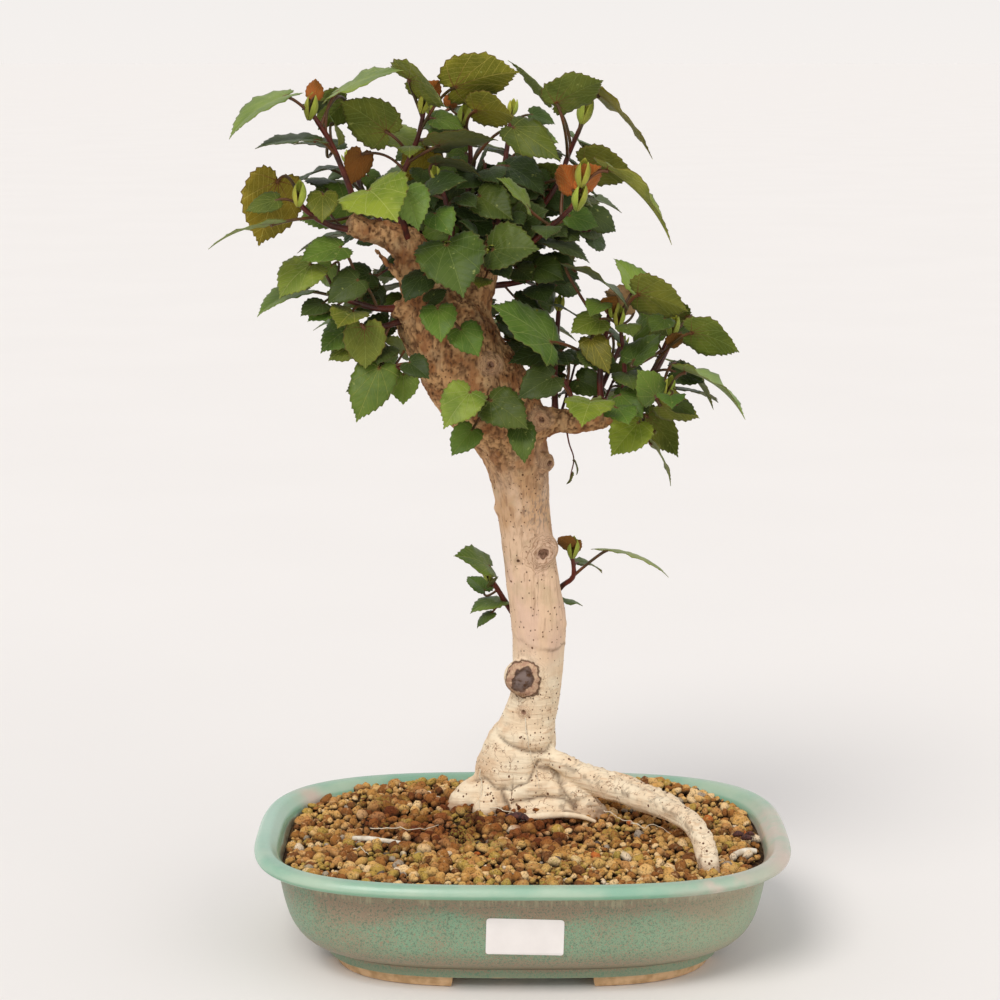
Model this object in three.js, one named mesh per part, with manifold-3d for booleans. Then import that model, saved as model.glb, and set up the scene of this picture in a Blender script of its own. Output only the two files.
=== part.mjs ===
// Sea hibiscus bonsai (Hibiscus tiliaceus) planted in a rounded, glazed clay tray.
// Millimetres, +Z up. The front of the tree faces -Y and the longer side of the tray runs along X.
// Places are first written from the middle of the tray's footprint. At the end the whole group
// is moved so that the origin lies under the middle of the tree and its tray, where it stands.

import * as THREE from 'three';
import { mergeVertices } from 'three/addons/utils/BufferGeometryUtils.js';
import Module from 'manifold-3d';

const wasm = await Module();
wasm.setup();

// Driving dimensions of the tray
const TRAY = { halfLength: 145, halfDepth: 104, squareness: 3.2, steps: 28 };
// Below this height the long walls stand steeper than the ends, by this much for each millimetre
const STEEPER = { below: 50, share: 0.22 };
const UNDERSIDE = 6.5;
const FLOOR = 14;
// Wall of the tray from the edge of its underside, over the lip, to the edge of its floor.
// Each pair is the distance in from the outline of the lip, and the height.
const WALL = [
  [38, UNDERSIDE], [38, 11], [25, 17], [18.5, 26], [14.5, 40], [12.5, 55], [8, 57], [1.5, 58.5],
  [0, 61.5], [2.5, 65], [8, 65], [13, 60], [18, 46], [24, 26], [34, 16], [44, FLOOR],
];
const OUTER_FACE = WALL.slice(1, 6);
const INNER_FACE = WALL.slice(-5).reverse();
const FOOT = { outer: 42, inner: 56, draft: 1.5, sunk: 1.5, frontGap: 73, sideGap: 56 };
const DRAIN = { x: 60, radius: 8, sides: 16 };
const SCREEN = { length: 34, depth: 26, thickness: 1, hole: 6, pitch: 10, columns: 3 };
const LABEL = { width: 40, height: 19.5, thickness: 0.4, x: 0.7, z: 35, tilt: 0.026, standoff: 0.6 };

// Clearance between pieces that touch on the real tree
const SEAT = 0.35;

// Distance under which vertices are one, how far a round end stands out in parts of its radius,
// and how far a cutting shape runs past what it cuts
const WELD = 1e-4;
const ROUND_END = 0.35;
const OVERRUN = 1;

// Soil: general height, then swellings as [x, y, height, spread]
const SOIL = { height: 59.5, grain: 0.55, rings: 7, highestEdge: 61.5, edgeDrop: 1 };
// Grains on the soil: two ripples, each as its turn for a ring and for a step round the tray
const RIPPLES = [[2.3, 1.9], [-1.2, 3.1]];
const SWELLINGS = [
  [0, 52, 5.5, 42], [78, 70, 7.5, 34], [-135, 0, -3.5, 40], [20, -80, 2.5, 60], [-60, 60, 2.5, 40],
];

// Wood of the tree: each station is [x, y, z, radius]
const TRUNK = [
  [-2, 50, 34, 15], [-2, 50, 46, 22], [-1, 50, 55, 25], [-1, 52, 69, 26], [-2, 54, 79, 23.9],
  [0, 54, 91, 20.4], [3, 54, 101, 18.1], [5, 54, 111, 14.9], [8, 54, 126, 14], [9, 54, 150, 14.4],
  [9, 53, 168, 14.9], [7, 52, 185, 14.5], [3, 49, 217, 14.2], [0, 45, 243, 15.2],
  [-2, 43, 258, 17.1], [-6, 41, 272, 19.7], [-12, 39, 286, 23], [-22, 37, 300, 25.1],
  [-32, 36, 314, 25], [-38, 35, 328, 24.9], [-45, 35, 342, 23.3], [-48, 35, 354, 17],
];
const LIMBS = {
  left: [[-45, 33, 338, 18.4], [-51, 32, 355, 14], [-57, 30, 369, 11.8], [-62, 28, 380, 9.6],
    [-72, 26, 385, 7.4], [-82, 24, 388, 6.4], [-92, 22, 392, 5.6]],
  right: [[-33, 36, 339, 16.2], [-26, 38, 352, 10.8], [-21, 40, 364, 8.1], [-16, 42, 375, 6.5],
    [-14, 44, 388, 4.9]],
  back: [[-41, 46, 335, 15.3], [-40, 62, 352, 9.9], [-37, 72, 367, 7.2], [-35, 82, 380, 5.4]],
  thin: [[-48, 26, 338, 4.4], [-58, 18, 354, 2.8], [-65, 14, 363, 2.2], [-78, 10, 379, 1.7]],
  spur: [[-48, 32, 336, 11.5], [-58, 28, 342, 8.6], [-69, 24, 346, 4.8]],
  bough: [[-4, 38, 278, 13], [6, 36, 281, 10.4], [18, 34, 284, 7.2], [31, 32, 283, 5.4],
    [44, 30, 285, 4.4], [54, 28, 292, 3.8], [63, 26, 300, 3.2]],
};
const ROOTS = {
  long: [[6, 46, 96, 7], [16, 42, 90, 7], [30, 38, 84, 6.7], [44, 30, 79, 7], [57, 20, 77, 6.7],
    [70, 5, 76, 6], [82, -12, 76, 5.7], [91, -28, 74, 5.7], [96, -45, 68, 5.9], [98, -60, 58, 5.6],
    [98, -66, 48, 4.6]],
  beside: [[40, 38, 82, 5.1], [66, 22, 78, 5], [81, 7, 75, 4.6], [93, -4, 68, 3.8], [102, -10, 58, 3]],
  right: [[2, 46, 74, 14], [10, 42, 71, 12.4], [24, 36, 69, 10.1], [38, 32, 65, 6.9], [48, 28, 56, 4]],
  front: [[-1, 36, 64, 7], [1, 28, 60, 4.4], [13, 26, 63, 4.8], [27, 26, 64, 4.9], [40, 23, 60, 3.6]],
  toe: [[-3, 44, 84, 5], [-5, 34, 77, 3.8], [-6, 28, 68, 3.8], [-7, 24, 58, 3.4]],
  left: [[-10, 50, 76, 12], [-21, 47, 72, 9.4], [-31, 44, 67, 8.4], [-40, 38, 59, 4.6]],
  heel: [[-8, 42, 68, 11], [-18, 34, 65, 8.4], [-25, 28, 58, 5]],
  rear: [[-4, 62, 70, 12], [-16, 74, 64, 7], [-28, 81, 54, 4]],
  rearRight: [[6, 62, 72, 12], [24, 74, 66, 7], [44, 80, 58, 4]],
};
const FLUTES = { faint: 0.035, strong: 0.05, foot: 60, fade: 25, broad: [3, 21], fine: [5, -13] };
const WOOD_SIDES = { trunk: 12, limb: 6, knot: [6, 4] };
// Knots and scars: centre, radius, and the radius and place of the hollow in it
const KNOTS = [
  { at: [12, 42, 211], radius: 8.6, hollow: 3.2, hollowAt: [14.5, 32.4, 211] },
  { at: [1, 44, 137], radius: 10.4, hollow: 7, hollowAt: [-1, 30, 137.5] },
  { at: [9, 27, 285], radius: 6.2, hollow: 2.4, hollowAt: [10.5, 20.6, 286] },
];

// Loose bits on the soil, as stations
const LOOSE = {
  root_piece_left: [
    [-92, -8, 60.2, 1.3], [-83, -13, 61.6, 1.5], [-74, -16, 61.4, 1.3], [-66, -17, 60.8, 0.9],
  ],
  root_piece_right: [[113, -36, 60.4, 1.6], [119, -33, 61.4, 1.8], [125, -32, 61, 1.3]],
};

// Leaf blade: one side of its heart-shaped outline, from the notch at the leaf stalk round to
// the tip, in parts of the blade's length (along, across)
const OUTLINE = new THREE.SplineCurve([
  [0, 0], [-0.11, 0.1], [-0.14, 0.27], [-0.03, 0.43], [0.18, 0.49], [0.43, 0.43], [0.66, 0.27],
  [0.85, 0.09], [1, 0],
].map(([along, across]) => new THREE.Vector2(along, across)));
const BLADE = { thickness: 0.7, tooth: 0.035, notch: 0.018, large: 30, spineSteps: 3 };
// How far blades bend, as the least and the spread of each draw, and the ripple of their edges
const BEND = { arch: [0.04, 0.07], fold: [-0.06, 0.26], wave: [0, 0.05], ripple: 9, offset: 2 };
const STALK = {
  radius: 0.95, bow: 0.16, behind: 0.12, below: 0.05, back: 0.3,
  corners: [[1, 0], [-0.5, 0.87], [-0.5, -0.87]], twist: 0.8,
};
const STEM = { root: 2, tip: 1.2, sides: 4 };
// Bud at the end of a stem: distance past the stem, and radius
const BUD = [[2.5, 1.9], [9, 0.5]];

// How a blade faces: the way its upper side looks, before it is squared to its own length
const FACING = {
  front: [0, -0.85, 0.5],
  frontHigh: [0, -0.5, 0.85],
  frontLeft: [-0.3, -0.75, 0.55],
  up: [0, -0.12, 1],
  upLeft: [-0.3, -0.2, 0.93],
  upRight: [0.55, 0, 0.83],
  slantLeft: [-0.45, 0.02, 0.9],
  slantRight: [0.45, 0.1, 0.88],
  steepRight: [0.76, 0.1, 0.64],
  side: [0.92, 0.07, 0.4],
  upBack: [0, 0.3, 0.95],
  back: [0, 0.8, 0.55],
};

// Shoots placed by hand: the stem's points, then each leaf as its place along the stem from 0 to 1,
// where its blade starts, where it ends and how it faces
const SHOOTS = {
  stub_low: {
    stem: [[-86, 22, 388], [-102, 16, 391], [-115, 10, 400], [-118, 8, 407]],
    leaves: [
      [0.95, [-130, 22, 414], [-140, 14, 380], 'back'],
      [0.5, [-131, 2, 393], [-163, -10, 381], 'slantLeft'],
      [0.4, [-96, 44, 401], [-121, 50, 391], 'front'],
    ],
  },
  stub_high: {
    stem: [[-85, 25, 388], [-91, 26, 407], [-100, 16, 432], [-106, 10, 443], [-111, 8, 451]],
    leaves: [
      [0.85, [-123, 2, 459], [-152, -8, 437], 'upLeft'],
      [0.45, [-108, 2, 436], [-139, -6, 432], 'up'],
      [0.6, [-101, 40, 430], [-124, 52, 432], 'up'],
      [0.65, [-97, 12, 461], [-62, 0, 472], 'upLeft'],
      [0.75, [-94, 26, 456], [-110, 36, 440], 'back'],
    ],
  },
  stub_mid: {
    stem: [[-68, 28, 381], [-65, 34, 413], [-60, 32, 426], [-55, 28, 439], [-52, 26, 453]],
    leaves: [
      [0.75, [-36, 16, 463], [-2, 2, 471], 'back'],
      [0.9, [-60, 18, 467], [-43, -12, 457], 'back'],
      [0.5, [-72, 22, 440], [-96, 16, 456], 'back'],
      [0.45, [-45, 14, 433], [-13, 4, 436], 'upBack'],
      [0.65, [-51, 50, 429], [-64, 52, 411], 'back'],
      [0.55, [-76, 38, 440], [-52, 30, 430], 'frontHigh'],
      [0.35, [-86, 42, 428], [-92, 42, 411], 'back'],
    ],
  },
  front_low: {
    stem: [[-60, 27, 378], [-65, 6, 399], [-72, -2, 407]],
    leaves: [
      [0.95, [-80, -8, 411], [-64, -35, 396], 'front'],
      [0.75, [-61, -2, 410], [-54, -16, 390], 'front'],
      [0.5, [-46, 4, 398], [-37, -8, 387], 'front'],
    ],
  },
  front_head: {
    stem: [[-48, 30, 356], [-44, 20, 371], [-41, 8, 378]],
    leaves: [
      [1, [-40, 0, 382], [-31, -21, 356], 'front'],
      [0.6, [-52, 2, 366], [-62, -6, 352], 'frontLeft'],
    ],
  },
  inner_left: {
    stem: [[-46, 32, 358], [-38, 26, 384], [-40, 22, 400], [-44, 20, 412]],
    leaves: [
      [0.9, [-46, 36, 423], [-22, 32, 416], 'upBack'],
      [0.8, [-50, 14, 409], [-29, 8, 415], 'frontHigh'],
    ],
  },
  top_mid: {
    stem: [[-39, 62, 352], [-36, 52, 378], [-30, 46, 403], [-28, 40, 430], [-32, 34, 447]],
    leaves: [
      [0.85, [-25, 28, 451], [-5, 12, 448], 'back'],
      [0.65, [-5, 24, 442], [20, 12, 425], 'front'],
      [0.6, [-22, 66, 430], [-4, 80, 422], 'up'],
    ],
  },
  middle_front: {
    stem: [[-20, 40, 364], [-18, 24, 370], [-17, 12, 376]],
    leaves: [
      [0.95, [-16, 4, 379], [9, -6, 380], 'front'],
      [0.7, [-24, 10, 384], [-34, 2, 394], 'frontHigh'],
    ],
  },
  inner_front: {
    stem: [[-15, 43, 380], [-13, 36, 394], [-12, 28, 402]],
    leaves: [
      [0.9, [-23, 16, 406], [-5, 4, 394], 'front'],
      [0.7, [-4, 28, 389], [14, 18, 399], 'front'],
      [0.95, [-8, 34, 421], [12, 26, 405], 'frontHigh'],
    ],
  },
  right_main: {
    stem: [[-17, 42, 372], [-2, 30, 376], [10, 22, 386], [23, 12, 398], [29, 8, 406]],
    leaves: [
      [0.85, [44, 2, 421], [77, -12, 383], 'steepRight'],
      [0.6, [2, 10, 402], [-14, 0, 417], 'frontHigh'],
      [0.7, [33, 30, 422], [60, 20, 416], 'back'],
      [0.5, [11, 38, 383], [36, 28, 370], 'up'],
    ],
  },
  right_high: {
    stem: [[-14, 45, 384], [1, 46, 391], [11, 42, 400], [20, 38, 414], [24, 34, 426], [31, 28, 443]],
    leaves: [
      [0.85, [14, 26, 456], [-8, 14, 477], 'up'],
      [0.8, [17, 20, 455], [41, 2, 467], 'back'],
      [0.98, [40, 18, 459], [68, 8, 426], 'steepRight'],
      [0.6, [6, 52, 411], [24, 46, 420], 'back'],
    ],
  },
  bough_left: {
    stem: [[44, 30, 286], [42, 30, 307], [44, 28, 326], [46, 24, 340], [48, 22, 349]],
    leaves: [
      [0.6, [28, 20, 367], [56, 6, 347], 'slantRight'],
      [0.75, [36, 12, 331], [46, 4, 313], 'front'],
      [0.35, [15, 4, 330], [-17, -6, 351], 'frontHigh'],
      [0.7, [34, 26, 336], [14, 18, 348], 'up'],
    ],
  },
  bough_dark: {
    stem: [[30, 33, 284], [27, 29, 296], [23, 25, 306]],
    leaves: [
      [0.9, [21, 26, 323], [-8, 18, 317], 'frontHigh'],
      [0.6, [16, 20, 312], [-3, 14, 301], 'front'],
    ],
  },
  bough_mid: {
    stem: [[54, 28, 292], [55, 24, 313], [53, 22, 332], [51, 20, 341]],
    leaves: [
      [0.75, [61, 14, 355], [87, 2, 347], 'back'],
      [0.9, [61, 22, 356], [49, 30, 372], 'up'],
      [0.85, [60, 32, 348], [44, 36, 354], 'front'],
    ],
  },
  bough_right: {
    stem: [[62, 26, 299], [70, 22, 313], [76, 18, 327], [80, 14, 338]],
    leaves: [
      [0.45, [89, 6, 336], [113, -8, 327], 'back'],
      [0.8, [89, 28, 341], [68, 34, 330], 'back'],
      [0.6, [59, 8, 320], [74, 20, 333], 'up'],
    ],
  },
  bough_front: {
    stem: [[60, 27, 297], [71, 14, 299], [79, 6, 305]],
    leaves: [
      [0.4, [70, 4, 302], [60, -2, 317], 'front'],
      [0.9, [86, 2, 315], [117, -10, 291], 'upRight'],
      [0.7, [88, 30, 312], [104, 24, 290], 'steepRight'],
      [0.9, [74, 16, 294], [95, 8, 288], 'back'],
    ],
  },
  bough_under: {
    stem: [[50, 29, 289], [48, 14, 295], [42, 4, 300]],
    leaves: [
      [0.9, [36, -2, 301], [30, -28, 291], 'frontHigh'],
      [0.6, [52, 6, 301], [64, -6, 290], 'front'],
    ],
  },
  bough_low: {
    stem: [[56, 28, 293], [62, 29, 284], [70, 24, 280]],
    leaves: [
      [0.5, [62, 18, 286], [47, 10, 269], 'front'],
      [0.8, [68, 18, 286], [85, 12, 264], 'back'],
      [1, [70, 24, 273], [80, 18, 251], 'side'],
    ],
  },
  collar_up: {
    stem: [[-40, 26, 336], [-41, 12, 345]],
    leaves: [
      [1, [-45, 4, 348], [-43, -8, 331], 'front'],
      [0.9, [-33, 8, 337], [-23, 0, 323], 'front'],
    ],
  },
  collar_low: {
    stem: [[-16, 22, 296], [-19, 8, 300]],
    leaves: [
      [1, [-28, 0, 304], [-42, -12, 286], 'front'],
      [0.6, [-27, 6, 283], [-38, -2, 270], 'front'],
      [0.7, [-17, 1, 299], [3, -9, 285], 'front'],
      [0.5, [-1, 6, 285], [1, -4, 266], 'front'],
    ],
  },
  spur_out: {
    stem: [[-67, 24, 346], [-79, 18, 347], [-91, 13, 351], [-101, 10, 355]],
    leaves: [
      [0.95, [-112, 8, 371], [-128, -2, 354], 'frontLeft'],
      [0.75, [-116, 20, 356], [-141, 10, 343], 'up'],
      [0.6, [-96, 8, 380], [-117, -2, 373], 'frontHigh'],
      [0.3, [-87, 8, 363], [-103, 2, 351], 'front'],
    ],
  },
  spur_down: {
    stem: [[-59, 28, 341], [-74, 20, 337], [-84, 16, 337]],
    leaves: [
      [0.95, [-84, 8, 338], [-83, -2, 317], 'back'],
      [0.8, [-89, 22, 337], [-108, 14, 323], 'frontHigh'],
    ],
  },
  flank: {
    stem: [[-48, 29, 312], [-59, 20, 314], [-68, 12, 316], [-74, 8, 317]],
    leaves: [
      [0.95, [-76, 2, 317], [-88, -8, 289], 'front'],
      [0.7, [-63, 16, 324], [-75, 26, 328], 'back'],
    ],
  },
  sprig_left: {
    stem: [[4, 58, 160], [-5, 66, 169], [-14, 64, 184], [-20, 60, 194]],
    leaves: [
      [0.95, [-18, 56, 198], [-38, 46, 206], 'frontHigh'],
      [0.6, [-12, 58, 176], [-29, 50, 170], 'up'],
    ],
  },
  sprig_right: {
    stem: [[12, 58, 170], [17, 64, 178], [23, 60, 186], [29, 54, 193], [28, 50, 206]],
    leaves: [
      [0.7, [47, 46, 210], [81, 36, 196], 'slantRight'],
      [0.8, [32, 66, 198], [46, 74, 190], 'up'],
    ],
  },
};

// Shoots grown by rule behind and inside the crown: the stem's points and how many leaves
const RULED = {
  back_low: { stem: [[-41, 50, 334], [-52, 76, 336], [-66, 92, 342]], count: 3 },
  back_left: { stem: [[-39, 66, 358], [-60, 88, 370], [-80, 100, 386]], count: 4 },
  back_rear: { stem: [[-36, 78, 374], [-38, 98, 396], [-46, 108, 422]], count: 3 },
  back_right: { stem: [[-35, 80, 377], [-18, 98, 388], [0, 110, 400]], count: 3 },
  back_stub: { stem: [[-72, 27, 384], [-84, 52, 402], [-94, 70, 420]], count: 2 },
  back_top: { stem: [[-38, 68, 360], [-42, 72, 410], [-50, 78, 446]], count: 3 },
  inner_top: { stem: [[-15, 44, 386], [-10, 56, 418], [-6, 64, 446]], count: 2 },
  inner_right: { stem: [[-17, 43, 374], [0, 62, 392], [16, 76, 410]], count: 3 },
  back_trunk: { stem: [[-28, 50, 312], [-18, 76, 322], [-6, 92, 336]], count: 3 },
  inner_low: { stem: [[-24, 40, 356], [-2, 48, 358], [14, 54, 364]], count: 2 },
  bough_rear: { stem: [[33, 33, 283], [44, 54, 300], [54, 70, 318]], count: 3 },
  bough_tip: { stem: [[56, 29, 293], [72, 52, 306], [84, 66, 326]], count: 3 },
  bough_inner: { stem: [[18, 35, 284], [18, 46, 312], [20, 54, 340]], count: 2 },
};
const RULE = {
  seed: 7, turn: 2.4, stalk: [17, 10], blade: [23, 10], lean: 0.75, droop: 0.35, tilt: 0.3,
  first: 0.38, swings: [0, 0.3, -0.3, 0.6, -0.6, 0.9, -0.9, 1.2, -1.2],
};
// Steps in depth, and in turn about the stalk, by which a leaf is moved clear of its neighbours
const DEPTH_STEPS = [0, 3, -3, 6, -6, 9, -9, 12, -12, 15, -15, 18, -18];
// Room that a leaf keeps to other blades and to wood, and how it is sampled to tell: the spacing,
// the length of its outline and its half width in blade lengths, the part of the midrib between
// which rows run, the parts along each span of its stalk, and how far round its middle it matters
const CLEAR = { blade: 4, wood: 2.2 };
const SAMPLE = {
  spacing: 3, outline: 1.35, halfWidth: 0.47, spine: [0.04, 0.96], stalk: [0.2, 0.4, 0.6, 0.8, 1],
  middle: 0.4, bladeReach: 0.75, stalkReach: 90,
};
const TURN = 6.28;

// Colours
const FINISH = {
  glaze: [0x5f9d80, 0.32], soil: [0x8a6232, 0.95], bark: [0xcdb694, 0.8], leaf: [0x4a7a35, 0.55],
  paper: [0xf4f4f2, 0.6], mesh: [0x2c2c2c, 0.6], deadRoot: [0xd9cdb5, 0.85],
};

// Seeded draws between 0 and 1
function drawsFrom(seed) {
  let state = seed;
  return () => {
    state = (state + 0x6d2b79f5) | 0;
    let mixed = Math.imul(state ^ (state >>> 15), 1 | state);
    mixed = (mixed + Math.imul(mixed ^ (mixed >>> 7), 61 | mixed)) ^ mixed;
    return ((mixed ^ (mixed >>> 14)) >>> 0) / 4294967296;
  };
}

const drawIn = ([least, spread], draw) => least + spread * draw();

const vector = ([x, y, z]) => new THREE.Vector3(x, y, z);

// Closed geometry to solid, and back
function solidOf(geometry) {
  geometry.deleteAttribute('normal');
  geometry.deleteAttribute('uv');
  const merged = mergeVertices(geometry, WELD);
  return new wasm.Manifold(new wasm.Mesh({
    numProp: 3,
    vertProperties: new Float32Array(merged.attributes.position.array),
    triVerts: new Uint32Array(merged.index.array),
  }));
}

function geometryOf(solid) {
  const mesh = solid.getMesh();
  const geometry = new THREE.BufferGeometry();
  geometry.setAttribute('position', new THREE.BufferAttribute(mesh.vertProperties, 3));
  geometry.setIndex(new THREE.BufferAttribute(mesh.triVerts, 1));
  return geometry;
}

// The largest body of a solid, without the scraps that a cut leaves
function mainBody(solid) {
  const bodies = solid.decompose();
  return bodies.reduce((best, body) => (body.volume() > best.volume() ? body : best));
}

const joined = (solids) => solids.reduce((sum, next) => sum.add(next));

// Mesh from vertices and triangles
function meshGeometry(vertices, triangles) {
  const geometry = new THREE.BufferGeometry();
  const flat = vertices.flatMap((v) => [v.x, v.y, v.z]);
  geometry.setAttribute('position', new THREE.Float32BufferAttribute(flat, 3));
  geometry.setIndex(triangles.flat());
  return geometry;
}

// Loft through rings of equally many points, closed by a fan at each end. Two lofts that nest,
// one running up and one down, split their quads alike when one of them is crossed.
function loft(rings, firstCentre, lastCentre, crossed = false) {
  const sides = rings[0].length;
  const vertices = [firstCentre, ...rings.flat(), lastCentre];
  const triangles = [];
  const at = (ring, side) => 1 + ring * sides + (side % sides);
  const end = vertices.length - 1;
  for (let side = 0; side < sides; side += 1) {
    triangles.push([0, at(0, side + 1), at(0, side)]);
    triangles.push([end, at(rings.length - 1, side), at(rings.length - 1, side + 1)]);
  }
  for (let ring = 0; ring < rings.length - 1; ring += 1) {
    for (let side = 0; side < sides; side += 1) {
      const [a, b] = [at(ring, side), at(ring, side + 1)];
      const [c, d] = [at(ring + 1, side + 1), at(ring + 1, side)];
      if (crossed) triangles.push([a, b, d], [b, c, d]);
      else triangles.push([a, b, c], [a, c, d]);
    }
  }
  return meshGeometry(vertices, triangles);
}

// Round, tapering piece along stations, each with a place and a radius
function taper(stations, sides, grow = 0, shape = () => 1) {
  const places = stations.map(vector);
  const rings = [];
  const headings = places.map((place, i) => {
    const before = places[Math.max(i - 1, 0)];
    const after = places[Math.min(i + 1, places.length - 1)];
    return after.clone().sub(before).normalize();
  });
  const alongX = Math.abs(headings[0].x) > Math.abs(headings[0].y) + Math.abs(headings[0].z);
  const across = alongX ? new THREE.Vector3(0, 1, 0) : new THREE.Vector3(1, 0, 0);
  places.forEach((place, i) => {
    across.addScaledVector(headings[i], -across.dot(headings[i])).normalize();
    const up = headings[i].clone().cross(across);
    const radius = stations[i][3];
    rings.push(Array.from({ length: sides }, (_, side) => {
      const angle = (side * 2 * Math.PI) / sides;
      const reach = radius * shape(angle, place.z) + grow;
      return place.clone()
        .addScaledVector(across, Math.cos(angle) * reach)
        .addScaledVector(up, Math.sin(angle) * reach);
    }));
  });
  const last = stations.length - 1;
  const stands = (i) => ROUND_END * stations[i][3] + grow;
  const first = places[0].clone().addScaledVector(headings[0], -stands(0));
  const end = places[last].clone().addScaledVector(headings[last], stands(last));
  return solidOf(loft(rings, first, end));
}

// Half depth of the tray at a distance in from its lip and at a height
function halfDepthAt(inset, z) {
  return TRAY.halfDepth - inset + STEEPER.share * Math.max(STEEPER.below - z, 0);
}

// Closed outline of the tray at a distance in from its lip and at a height
function trayRing(inset, z) {
  const power = 2 / TRAY.squareness;
  const bulge = (value) => (Math.abs(value) < WELD ? 0 : Math.sign(value) * Math.abs(value) ** power);
  return Array.from({ length: TRAY.steps }, (_, step) => {
    const angle = (step * 2 * Math.PI) / TRAY.steps;
    const x = bulge(Math.cos(angle)) * (TRAY.halfLength - inset);
    return new THREE.Vector3(x, bulge(Math.sin(angle)) * halfDepthAt(inset, z), z);
  });
}

function box(length, depth, height, x, y, z) {
  return solidOf(new THREE.BoxGeometry(length, depth, height).translate(x, y, z));
}

function buildPot() {
  const rings = WALL.map(([inset, z]) => trayRing(inset, z));
  const body = solidOf(loft(rings, vector([0, 0, UNDERSIDE]), vector([0, 0, FLOOR])));
  const top = UNDERSIDE + FOOT.sunk;
  const outer = solidOf(loft([trayRing(FOOT.outer, 0), trayRing(FOOT.outer - FOOT.draft, top)],
    vector([0, 0, 0]), vector([0, 0, top])));
  const [low, high] = [-OVERRUN, top + OVERRUN];
  const inner = solidOf(loft([trayRing(FOOT.inner, low), trayRing(FOOT.inner, high)],
    vector([0, 0, low]), vector([0, 0, high])));
  const gapHeight = 2 * UNDERSIDE;
  const feet = outer.subtract(inner)
    .subtract(box(FOOT.frontGap, 4 * TRAY.halfDepth, gapHeight, 0, 0, 0))
    .subtract(box(4 * TRAY.halfLength, FOOT.sideGap, gapHeight, 0, 0, 0));
  const drains = [-DRAIN.x, DRAIN.x].map((x) => solidOf(
    new THREE.CylinderGeometry(DRAIN.radius, DRAIN.radius, 2 * FLOOR, DRAIN.sides)
      .rotateX(Math.PI / 2).translate(x, 0, FLOOR / 2),
  ));
  return drains.reduce((pot, drain) => pot.subtract(drain), body.add(feet));
}

// Plastic mesh over a drain hole: a plate with a row of square holes
function buildScreen(x) {
  const low = FLOOR + SEAT;
  let plate = box(SCREEN.length, SCREEN.depth, SCREEN.thickness, x, 0, low + SCREEN.thickness / 2);
  for (let column = 0; column < SCREEN.columns; column += 1) {
    const across = x + (column - (SCREEN.columns - 1) / 2) * SCREEN.pitch;
    plate = plate.subtract(box(SCREEN.hole, SCREEN.hole, 4 * SCREEN.thickness, across, 0, low));
  }
  return plate;
}

// Distance in from the lip of one of the tray's faces at a height
function insetAt(face, z) {
  for (let i = 0; i < face.length - 1; i += 1) {
    const [inset, low] = face[i];
    const [nextInset, high] = face[i + 1];
    if (z <= high) return inset + ((nextInset - inset) * (z - low)) / (high - low);
  }
  return face.at(-1)[0];
}

// Blank paper label that follows the front wall
function buildLabel() {
  const geometry = new THREE.BoxGeometry(LABEL.width, LABEL.thickness, LABEL.height, 2, 1, 3);
  const position = geometry.attributes.position;
  const power = 2 / TRAY.squareness;
  const firstAcross = Math.sin((2 * Math.PI) / TRAY.steps) ** power;
  const firstDrop = 1 - Math.cos((2 * Math.PI) / TRAY.steps) ** power;
  for (let i = 0; i < position.count; i += 1) {
    const x = LABEL.x + position.getX(i) + position.getZ(i) * LABEL.tilt;
    const z = LABEL.z + position.getZ(i) - position.getX(i) * LABEL.tilt;
    const inset = insetAt(OUTER_FACE, z);
    const drop = (firstDrop * Math.abs(x)) / (firstAcross * (TRAY.halfLength - inset));
    const wall = -halfDepthAt(inset, z) * (1 - drop);
    position.setXYZ(i, x, wall - LABEL.standoff - LABEL.thickness / 2 + position.getY(i), z);
  }
  return solidOf(geometry);
}

// Height of the soil without its grains
function soilHeight(x, y) {
  return SWELLINGS.reduce((height, [cx, cy, rise, spread]) => (
    height + rise * Math.exp(-((x - cx) ** 2 + (y - cy) ** 2) / (spread * spread))), SOIL.height);
}

function buildSoil(trunk, loose, screens) {
  const rings = INNER_FACE.slice(0, -1).map(([inset, z]) => trayRing(inset + SEAT, z + SEAT));
  const brim = trayRing(INNER_FACE.at(-1)[0], SOIL.height).map((point, step) => {
    const z = Math.min(soilHeight(point.x, point.y), SOIL.highestEdge) - SOIL.edgeDrop;
    return trayRing(insetAt(INNER_FACE, z) + 2 * SEAT, z)[step];
  });
  rings.push(brim);
  for (let ring = 1; ring < SOIL.rings; ring += 1) {
    const part = 1 - ring / SOIL.rings;
    rings.push(brim.map((point, step) => {
      const x = point.x * part;
      const y = point.y * part;
      const grain = RIPPLES.reduce((sum, [byRing, byStep]) => (
        sum + SOIL.grain * Math.sin(ring * byRing + step * byStep)), 0);
      const blend = Math.min(1, ring / 2);
      return new THREE.Vector3(x, y, point.z + (soilHeight(x, y) - point.z) * blend + grain);
    }));
  }
  const low = vector([0, 0, FLOOR + SEAT]);
  const high = vector([0, 0, soilHeight(0, 0)]);
  let soil = solidOf(loft(rings, low, high, true));
  [trunk, ...loose, ...screens].forEach((cut) => { soil = soil.subtract(cut); });
  return mainBody(soil);
}

// Fluting that is strong at the foot of the trunk and faint above
function fluting(angle, z) {
  const strength = FLUTES.faint + FLUTES.strong * Math.exp(-Math.max(z - FLUTES.foot, 0) / FLUTES.fade);
  const wave = ([count, height]) => Math.sin(count * angle + z / height);
  return 1 + strength * (wave(FLUTES.broad) + wave(FLUTES.fine) / 2);
}

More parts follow.
